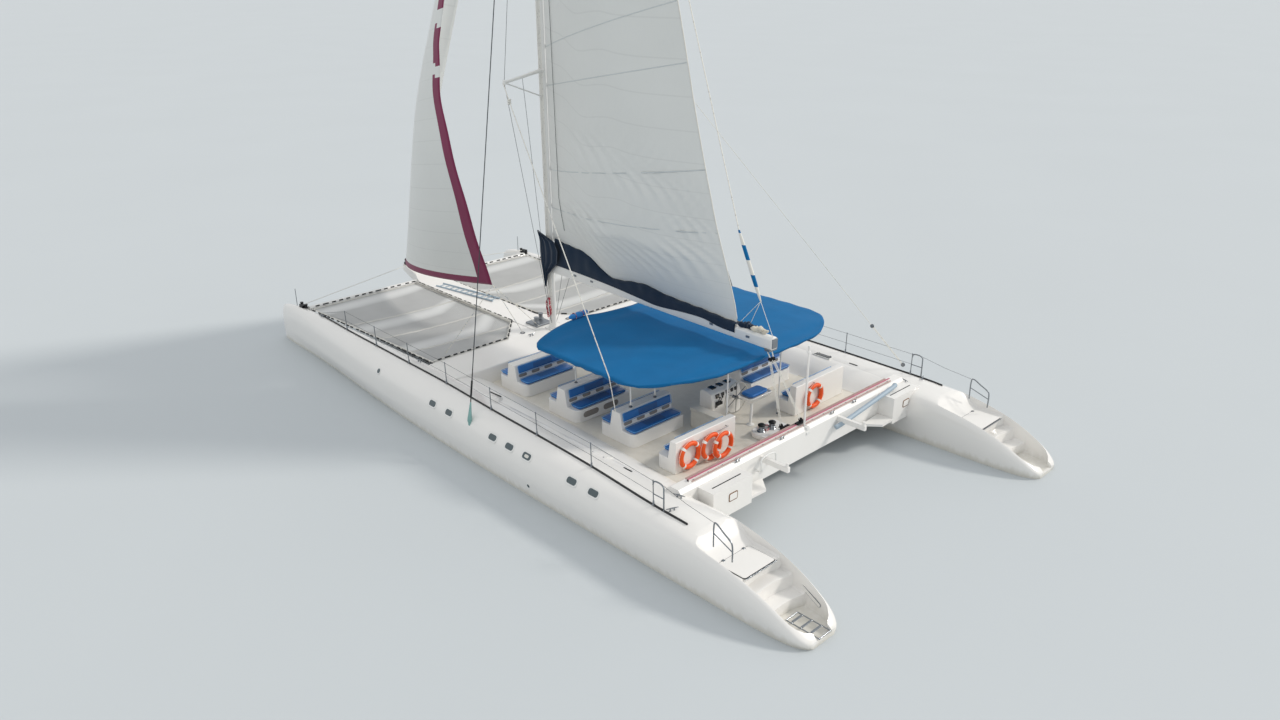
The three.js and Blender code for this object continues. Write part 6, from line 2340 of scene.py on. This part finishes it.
def block_shape(place, size):
    """Pulley block: two cheeks and a sheave."""
    x, y, z = place
    cheek = [(0, 0), (size, 0), (size * 1.05, 0.004), (size, 0.01), (0, 0.012)]
    sheave = [(0, 0), (size * 0.8, 0), (size * 0.7, 0.01), (size * 0.8, 0.02), (0, 0.02)]
    parts = ((cheek, -0.022), (cheek, 0.012), (sheave, -0.01))
    return joined([turned(form, (x, y + d, z), (x, y + 1, z), 20) for form, d in parts])


class CATAMARAN_OT_underwater(bpy.types.Operator):
    """Propellers and rudders"""
    bl_idname = "catamaran.underwater"
    bl_label = "Propellers and rudders"

    def execute(self, context):
        for name, side in SIDES.items():
            y = side * HULL_Y
            hub = turned([(0, 0), (0.05, 0), (0.055, 0.03), (0.053, 0.08), (0.03, 0.13), (0, 0.15)],
                         (-7.7, y, SHAFT_Z), (-9, y, SHAFT_Z))
            blades = [blade(y, angle) for angle in (90, 210, 330)]
            piece(f"propeller_bronze_{name}", [hub, *blades], finish("cast_bronze"), body=f"propeller_{name}",
                  slot="bronze", replaces=[f"propeller_{name}"])
            piece(f"rudder_blade_{name}", rudder_blade(side), finish("rolled_antifouling"),
                  body=f"rudder_{name}", slot="antifouling", replaces=[f"rudder_{name}"], crease=60)
        return {"FINISHED"}


def blade(y, angle):
    """One propeller blade: an oval, pitched and thinned to its edge."""
    rows = []
    for i in range(9):
        r = 0.04 + 0.205 * i / 8
        half = 0.052 * math.sin(math.pi * (0.22 + 0.74 * i / 8)) + 0.006
        pitch = 1.1 - 0.6 * i / 8
        rows.append([(half * s * math.sin(pitch), r, half * s * math.cos(pitch)) for s in
                     (-1, -0.5, 0, 0.5, 1)])
    bm = skin(rows)
    bmesh.ops.solidify(bm, geom=bm.faces, thickness=0.012)
    bmesh.ops.recalc_face_normals(bm, faces=bm.faces)
    place = Matrix.Translation((-7.75, y, SHAFT_Z)) @ Matrix.Rotation(math.radians(angle), 4, "X")
    bmesh.ops.transform(bm, matrix=place, verts=bm.verts)
    return bm


def rudder_blade(side):
    """Foil-shaped blade that narrows towards its foot."""
    foil = [(0, 0), (0.03, 0.028), (0.12, 0.05), (0.28, 0.06), (0.55, 0.045), (0.8, 0.02), (1, 0.002)]
    rows = []
    for k in range(9):
        t = k / 8
        chord, lead = 0.56 + 0.12 * t, -10.31 + 0.03 * t
        z = -1.23 + 0.76 * t
        ring = [(u, w) for u, w in foil] + [(u, -w) for u, w in reversed(foil[1:-1])]
        ring.append(ring[0])
        rows.append([(lead - u * chord, side * HULL_Y + w * chord, z) for u, w in ring])
    return skin(rows, closed=True, caps=True)


# Fittings of the hulls, deck and stern

# Portlights on each topside: x, length, height; the fifth has a white flange
PORTLIGHTS = [(1.12, 0.3), (0.29, 0.3), (-1.78, 0.31), (-2.51, 0.31), (-3.24, 0.31), (-4.99, 0.33),
              (-5.77, 0.33)]
PORTLIGHT_Z, PORTLIGHT_TALL = 1.14, 0.16
FLANGED = 4
# Slots in the side decks, drawn as flat black plates of painted shade: x, y, length, slant
DECK_SLOTS = [(-4.75, 4.2, 0.34, 0.1), (-5.9, 4.62, 0.3, 0.0), (-6.32, 4.38, 0.18, 0.0)]
POLE = (-7.52, -0.1)  # x and y of the pole at the stern


def plate(place, normal, long, tall, corner, thick, along_axis=(1, 0, 0)):
    """A rounded plate lying on a surface, its length along the given axis."""
    normal = Vector(normal).normalized()
    way = Vector(along_axis)
    way = (way - normal * way.dot(normal)).normalized()
    bm = prism(rounded_rectangle(long, tall, corner), "z", -thick, thick)
    turn = Matrix((way, normal.cross(way), normal)).transposed()
    bmesh.ops.transform(bm, matrix=Matrix.Translation(place) @ turn.to_4x4(), verts=bm.verts)
    return bm


def topside_spot(x, z, side):
    """Point and outward normal on the outboard topside."""
    here = on_topside(x, z, side)
    fore, above = on_topside(x + 0.05, z, side), on_topside(x, z + 0.03, side)
    normal = (fore - here).cross(above - here).normalized()
    return here, normal * (1 if normal.y * side > 0 else -1)


def deck_cleat(place, turn=0.0, long=0.3):
    """Horn cleat on two feet."""
    place = Vector(place)
    way = Vector((math.cos(turn), math.sin(turn), 0))
    horn = turned([(0, 0), (0.008, 0), (0.014, 0.25), (0.016, 0.5), (0.014, 0.75), (0.008, 1), (0, 1)],
                  (0, 0, 0), (0, 0, 1), 12)
    bmesh.ops.scale(horn, vec=(1, 1, long), verts=horn.verts)
    start = place + UP * 0.06 - way * long / 2
    bmesh.ops.transform(horn, matrix=aim(start, start + way), verts=horn.verts)
    foot = [(0, 0), (0.024, 0), (0.014, 0.02), (0.012, 0.06), (0, 0.06)]
    return joined([horn, *[upright(foot, place + way * d, 12) for d in (-0.05, 0.05)]])


def gangway(start, end, wide):
    """A folding gangway: two side tubes and the slats between them."""
    start, end = Vector(start), Vector(end)
    way = (end - start).normalized()
    out = Vector((-way.y, way.x, 0)) * wide / 2
    rails = [[start + out, end + out], [start - out, end - out]]
    count = 11
    slats = [[start.lerp(end, (k + 0.5) / count) - out, start.lerp(end, (k + 0.5) / count) + out]
             for k in range(count)]
    return rails, slats


class CATAMARAN_OT_fittings(bpy.types.Operator):
    """Portlights, cleats, fairleads, slots, track, pole, lids and the gangway"""
    bl_idname = "catamaran.fittings"
    bl_label = "Fittings"

    def execute(self, context):
        for name, side in SIDES.items():
            self.portlights(name, side)
            self.stern(name, side)
            self.deck_side(name, side)
        self.beam()
        self.foredeck()
        return {"FINISHED"}

    def portlights(self, name, side):
        """Smoked panes in pale rims along the topside, and the round outlet over the water."""
        rims, panes, seals = [], [], []
        for k, (x, long) in enumerate(PORTLIGHTS[:sizes().portlights]):
            spot, normal = topside_spot(x, PORTLIGHT_Z, side)
            rims.append(plate(spot, normal, long + 0.08, PORTLIGHT_TALL + 0.08, 0.09, 0.008))
            if k == FLANGED:
                panes.append(plate(spot, normal, long + 0.01, PORTLIGHT_TALL + 0.01, 0.065, 0.011))
                seals.append(plate(spot, normal, 0.16, 0.08, 0.038, 0.016))
            else:
                panes.append(plate(spot, normal, long, PORTLIGHT_TALL, 0.065, 0.012))
        spot, normal = topside_spot(4.23, 1.16, side)
        rims.append(plate(spot, normal, 0.2, 0.2, 0.098, 0.008))
        panes.append(plate(spot, normal, 0.15, 0.15, 0.074, 0.012))
        spot, normal = topside_spot(-3.34, 0.36, side)
        rims.append(plate(spot, normal, 0.15, 0.15, 0.073, 0.008))
        panes.append(plate(spot, normal, 0.1, 0.1, 0.049, 0.014))
        piece(f"portlights_{name}", {0: rims, 1: panes, 2: seals},
              [finish("coated_alloy"), finish("portlight_pane"), finish("white_webbing")],
              slot="smoked_acrylic", bevel=0.004)

    def deck_side(self, name, side):
        """Cleats, the slots' painted shade and the dome of one side deck."""
        spots = [(-7.63, 4.64, 0.3), (-7.91, 5.15, 1.2), (3.3, 4.62, 0.2), (9.0, 4.86, 0.1)]
        cleats = [deck_cleat(on_deck(x, side * y), side * turn) for x, y, turn in spots]
        piece(f"deck_cleats_{name}", cleats, finish("polished_stainless"), slot="stainless")
        # flat black plates: painted shade in the slots
        slots = [plate(on_deck(x, side * y) + UP * 0.002, UP, long, 0.05, 0.024, 0.004, (1, slant, 0))
                 for x, y, long, slant in DECK_SLOTS if self.has_deck(x, side * y)]
        piece(f"deck_slots_{name}", slots, finish("satin_black"), slot="deck_gelcoat")
        dome = upright([(0, 0), (0.2, 0), (0.2, 0.03), (0.17, 0.09), (0.1, 0.125), (0, 0.135)],
                       on_deck(-0.42, side * 4.5) - UP * 0.03, 32)
        piece(f"deck_dome_{name}", dome, finish_of(moulded_gelcoat), slot="deck_gelcoat", bevel=0.01)
        bar = [on_deck(-0.62, side * 4.46) + UP * 0.14, on_deck(-0.2, side * 4.54) + UP * 0.15]
        lines(f"deck_dome_bar_{name}", [bar], 0.035, finish("satin_black"), slot="stainless")

    def has_deck(self, x, y):
        """Whether a hull lies below the point."""
        return hull_skin(1 if y > 0 else -1).ray_cast(Vector((x, y, 4)), -UP)[0] is not None

    def stern(self, name, side):
        """Framed lid on the stern panel with its hinges, the pocket, the locker's hatch and a slot's painted shade on
        the deck.
        """
        gelcoat, dark = finish_of(moulded_gelcoat), finish("satin_black")
        x, z = -9.88, 0.882
        lid = plate((x, side * HULL_Y, z + 0.01), UP, 0.74, 1.0, 0.06, 0.012)
        seal = plate((x, side * HULL_Y, z + 0.004), UP, 0.77, 1.03, 0.07, 0.01)
        hinges = [box((x + 0.33, side * HULL_Y + d - 0.03, z), (x + 0.4, side * HULL_Y + d + 0.03, z + 0.035))
                  for d in (-0.33, 0.33)]
        hinges.append(box((x - 0.42, side * HULL_Y - 0.5, z), (x - 0.395, side * HULL_Y + 0.5, z + 0.02)))
        piece(f"stern_lid_{name}", {0: [lid], 1: [seal], 2: hinges},
              [gelcoat, dark, finish("polished_stainless")], slot="deck_gelcoat", bevel=0.006)
        wall = HULL_Y - hull_at(-11.14)[0] * SCOOP_SHARE
        slant = ((-11.14, side * wall, 0.38), (0.12, side, 0))
        pocket = plate(*slant, 0.6, 0.1, 0.04, 0.012, (1, 0, 0.4))
        inner = plate(*slant, 0.58, 0.08, 0.03, 0.014, (1, 0, 0.4))
        piece(f"stern_pocket_{name}", {0: [pocket], 1: [inner]}, [finish("anodised_alloy"), gelcoat],
              slot="deck_gelcoat")
        y0 = 3.345 if side > 0 else 3.98
        hatch = plate((-8.13, side * y0, 1.12), (-1, 0, 0), 0.26, 0.17, 0.03, 0.014, (0, 1, 0))
        rim = plate((-8.13, side * y0, 1.12), (-1, 0, 0), 0.31, 0.22, 0.045, 0.01, (0, 1, 0))
        piece(f"locker_hatch_{name}", {0: [hatch], 1: [rim]}, [gelcoat, finish("teak")],
              slot="deck_gelcoat", bevel=0.004)
        # a flat black strip on the deck: painted shade of the slot there
        slot = box((-7.93, side * y0 - 0.5, 1.4302), (-7.9, side * y0 + 0.5, 1.434))
        piece(f"locker_slot_{name}", slot, dark, slot="deck_gelcoat")

    def beam(self):
        """Mainsheet track, the hose behind the beam, the pole's fittings and the bracket beside it."""
        form = [(-0.035, 1.53), (0.035, 1.53), (0.028, 1.593), (0.01, 1.605), (-0.01, 1.605), (-0.028, 1.593)]
        track = prism([(BEAM_X + d, z) for d, z in form], "y", -4.15, 4.15)
        piece("mainsheet_track", track, finish("track_red"), slot="painted_alloy", bevel=0.003)
        runs = [[(BEAM_X + d, y, 1.56) for y in (-4.1, 4.1)] for d in (0.075, 0.12, -0.08)]
        lines("traveller_ropes", runs, 0.032, finish("track_rope"), slot="painted_alloy", sides=1)
        studs = [box((BEAM_X - 0.05, y - 0.02, 1.52), (BEAM_X + 0.05, y + 0.02, 1.56))
                 for y in (-4.0 + 0.5 * k for k in range(17))]
        piece("mainsheet_track_feet", studs, finish("anodised_alloy"), slot="painted_alloy", bevel=0.004)
        hose = [(-7.74, -1.2, 1.18), (-7.78, -1.4, 1.22), (-7.79, -2.6, 1.38), (-7.78, -3.8, 1.53),
                (-7.74, -3.95, 1.55)]
        lines("davit_hose", [hose], 0.13, finish("grey_tube"), slot="painted_alloy", round_by=8, sides=4)
        x, y = POLE
        lines("aft_pole", [[(x, y, 1.2), (x, y, 3.7)]], 0.05, finish("coated_alloy"), slot="painted_alloy",
              sides=4)
        cap = upright([(0, 0), (0.06, 0), (0.06, 0.015), (0.02, 0.03), (0.02, 0.1), (0.035, 0.12),
                       (0.03, 0.17), (0, 0.18)], (x, y, 3.58), 20)
        clamps = [box((x - 0.14, y - 0.06, z), (x + 0.04, y + 0.06, z + 0.08)) for z in (1.32, 1.46)]
        piece("pole_fittings", [cap, *clamps], finish("coated_alloy"), slot="painted_alloy", bevel=0.006)
        bracket = [(-7.66, 1.5, 1.1), (-7.86, 1.5, 1.15), (-7.86, 1.5, 1.48), (-7.86, 2.0, 1.48),
                   (-7.86, 2.0, 1.15), (-7.66, 2.0, 1.1)]
        lines("davit_bracket", [bracket], 0.045, finish("coated_alloy"), slot="painted_alloy", round_by=4)
        clew = (4.42, 1.0, 2.8)
        sheets = [[clew, (3.02, 0.95, 1.54)], [clew, (2.95, 0.3, 1.58)], [clew, (3.0, 3.9, 1.6)]]
        lines("jib_sheets", sheets, 0.018, rope("sheet_rope"), slot="wire", sides=2)
        knobs = [deck_cleat((BEAM_X - 0.17, y, 1.535), 1.5, 0.18) for y in (-2.2, -1.2, 0.9, 2.6)]
        piece("beam_cleats", knobs, finish("polished_stainless"), slot="stainless")

    def foredeck(self):
        """Gangway on the spine, the fairlead rings and cleats, the fittings at the bows, the windlass."""
        rails, slats = gangway((9.03, 0.16, 1.56), (6.18, -0.31, 1.56), 0.34)
        lines("gangway_rails", rails, 0.06, finish("grey_tube"), slot="painted_alloy")
        lines("gangway_slats", slats, 0.035, finish("grey_tube"), slot="painted_alloy", sides=2)
        rings = [hoop((3.0, side * 0.95, 1.512), (0, 0, 1), 0.07, 0.014, 28, 8) for side in (1, -1)]
        cleats = [deck_cleat((2.6, side * 0.9, 1.5005), 1.5, 0.26) for side in (1, -1)]
        piece("foredeck_fairleads", rings + cleats, finish("polished_stainless"), slot="stainless")
        for name, side in SIDES.items():
            staff = [[(10.9, side * 4.85, 1.4), (10.9, side * 4.85, 2.05)]]
            lines(f"bow_staff_{name}", staff, 0.022, finish("polished_stainless"), slot="stainless")
            block = box((10.35, side * 4.78, 1.46), (10.6, side * 4.92, 1.58))
            drum = [(0, 0), (0.06, 0), (0.045, 0.08), (0.06, 0.16), (0, 0.16)]
            drums = [upright(drum, (x, side * 4.8, 1.46)) for x in (10.3, 10.62)]
            piece(f"bow_block_{name}", [block, *drums], finish("satin_black"), slot="stainless", bevel=0.01)
            lines(f"bow_guy_{name}", [[(10.5, side * 4.75, 1.56), (11.5, side * 0.06, 1.74)]], 0.02,
                  finish("white_webbing"), slot="wire", sides=2)
        round_node("windlass", 0.012)
        dress_node("windlass", finish("anodised_alloy"))


# Stage

FAR = 900  # half the floor's width


class CATAMARAN_OT_stage(bpy.types.Operator):
    """Floor at the waterline, soft studio light and the camera"""
    bl_idname = "catamaran.stage"
    bl_label = "Stage"

    def execute(self, context):
        floor = piece("floor", skin([[(-FAR, y, 0), (FAR, y, 0)] for y in (-FAR, FAR)]),
                      finish("studio_floor"), body=None)
        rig.stage(floor)
        world = bpy.data.worlds.new("studio")
        context.scene.world = world
        world.use_nodes = True
        background = world.node_tree.nodes["Background"]
        background.inputs["Color"].default_value = (*linear("#e6e8ea"), 1)
        background.inputs["Strength"].default_value = 1.0
        sun = bpy.data.lights.new("key", "SUN")
        sun.energy = 1.6
        sun.angle = math.radians(9)
        sun.color = (1.0, 0.95, 0.885)
        key = bpy.data.objects.new("key", sun)
        key.rotation_euler = Vector((-0.50, -0.62, 0.60)).to_track_quat("Z", "Y").to_euler()
        context.scene.collection.objects.link(key)
        context.scene.camera = photo_camera()
        context.scene.view_settings.view_transform = "Standard"
        return {"FINISHED"}


# The photograph's camera: place, heading and dip and roll in degrees, and focal length in pixels
# of a frame 1280 wide
CAMERA = {"place": (-20.96, 18.54, 12.79), "heading": -43.61, "dip": 22.58, "roll": -0.36,
          "focal": 975.4}


def photo_camera():
    """The photograph's camera, made from the values above."""
    data = bpy.data.cameras.new("camera")
    data.sensor_width = 36
    data.lens = CAMERA["focal"] * 36 / 1280
    data.clip_end = 3000
    camera = bpy.data.objects.new("camera", data)
    bpy.context.scene.collection.objects.link(camera)
    heading, dip = math.radians(CAMERA["heading"]), math.radians(CAMERA["dip"])
    ahead = Vector((math.cos(heading) * math.cos(dip), math.sin(heading) * math.cos(dip), -math.sin(dip)))
    right = Vector((math.sin(heading), -math.cos(heading), 0))
    up = right.cross(ahead)
    roll = math.radians(CAMERA["roll"])
    across = right * math.cos(roll) + up * math.sin(roll)
    over = up * math.cos(roll) - right * math.sin(roll)
    turn = Matrix((across, over, -ahead)).transposed()
    camera.matrix_world = Matrix.Translation(CAMERA["place"]) @ turn.to_4x4()
    return camera


class CATAMARAN_PT_pieces(bpy.types.Panel):
    """Pieces of the catamaran and their sizes"""
    bl_idname = "CATAMARAN_PT_pieces"
    bl_label = "Catamaran"
    bl_space_type = "VIEW_3D"
    bl_region_type = "UI"
    bl_category = "Catamaran"

    def draw(self, context):
        for group in (context.scene.catamaran_sizes, context.scene.catamaran_colours):
            for name in group.__annotations__:
                self.layout.prop(group, name)
        for operator in STEPS:
            self.layout.operator(operator.bl_idname)


STEPS = [value for name, value in list(globals().items()) if name.startswith("CATAMARAN_OT_")]
CLASSES = [CatamaranColours, CatamaranSizes, *STEPS, CATAMARAN_PT_pieces]


def register():
    """Adds the classes and the two property groups of the scene."""
    for cls in CLASSES:
        bpy.utils.register_class(cls)
    bpy.types.Scene.catamaran_colours = PointerProperty(type=CatamaranColours)
    bpy.types.Scene.catamaran_sizes = PointerProperty(type=CatamaranSizes)


def unregister():
    """Takes the classes and the property groups away again."""
    del bpy.types.Scene.catamaran_sizes
    del bpy.types.Scene.catamaran_colours
    for cls in reversed(CLASSES):
        bpy.utils.unregister_class(cls)


def main():
    """Builds all groups in turn and writes the boxes of both models."""
    register()
    for step in STEPS:
        group, operator = step.bl_idname.split(".")
        getattr(getattr(bpy.ops, group), operator)()
    bpy.context.view_layer.update()
    boxes = {"cad": CAD_BOX, "visual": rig.bounds()}
    with open("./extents.json", "w") as out:
        json.dump({name: [list(corner) for corner in box_] for name, box_ in boxes.items()}, out)


if __name__ == "__main__":
    main()
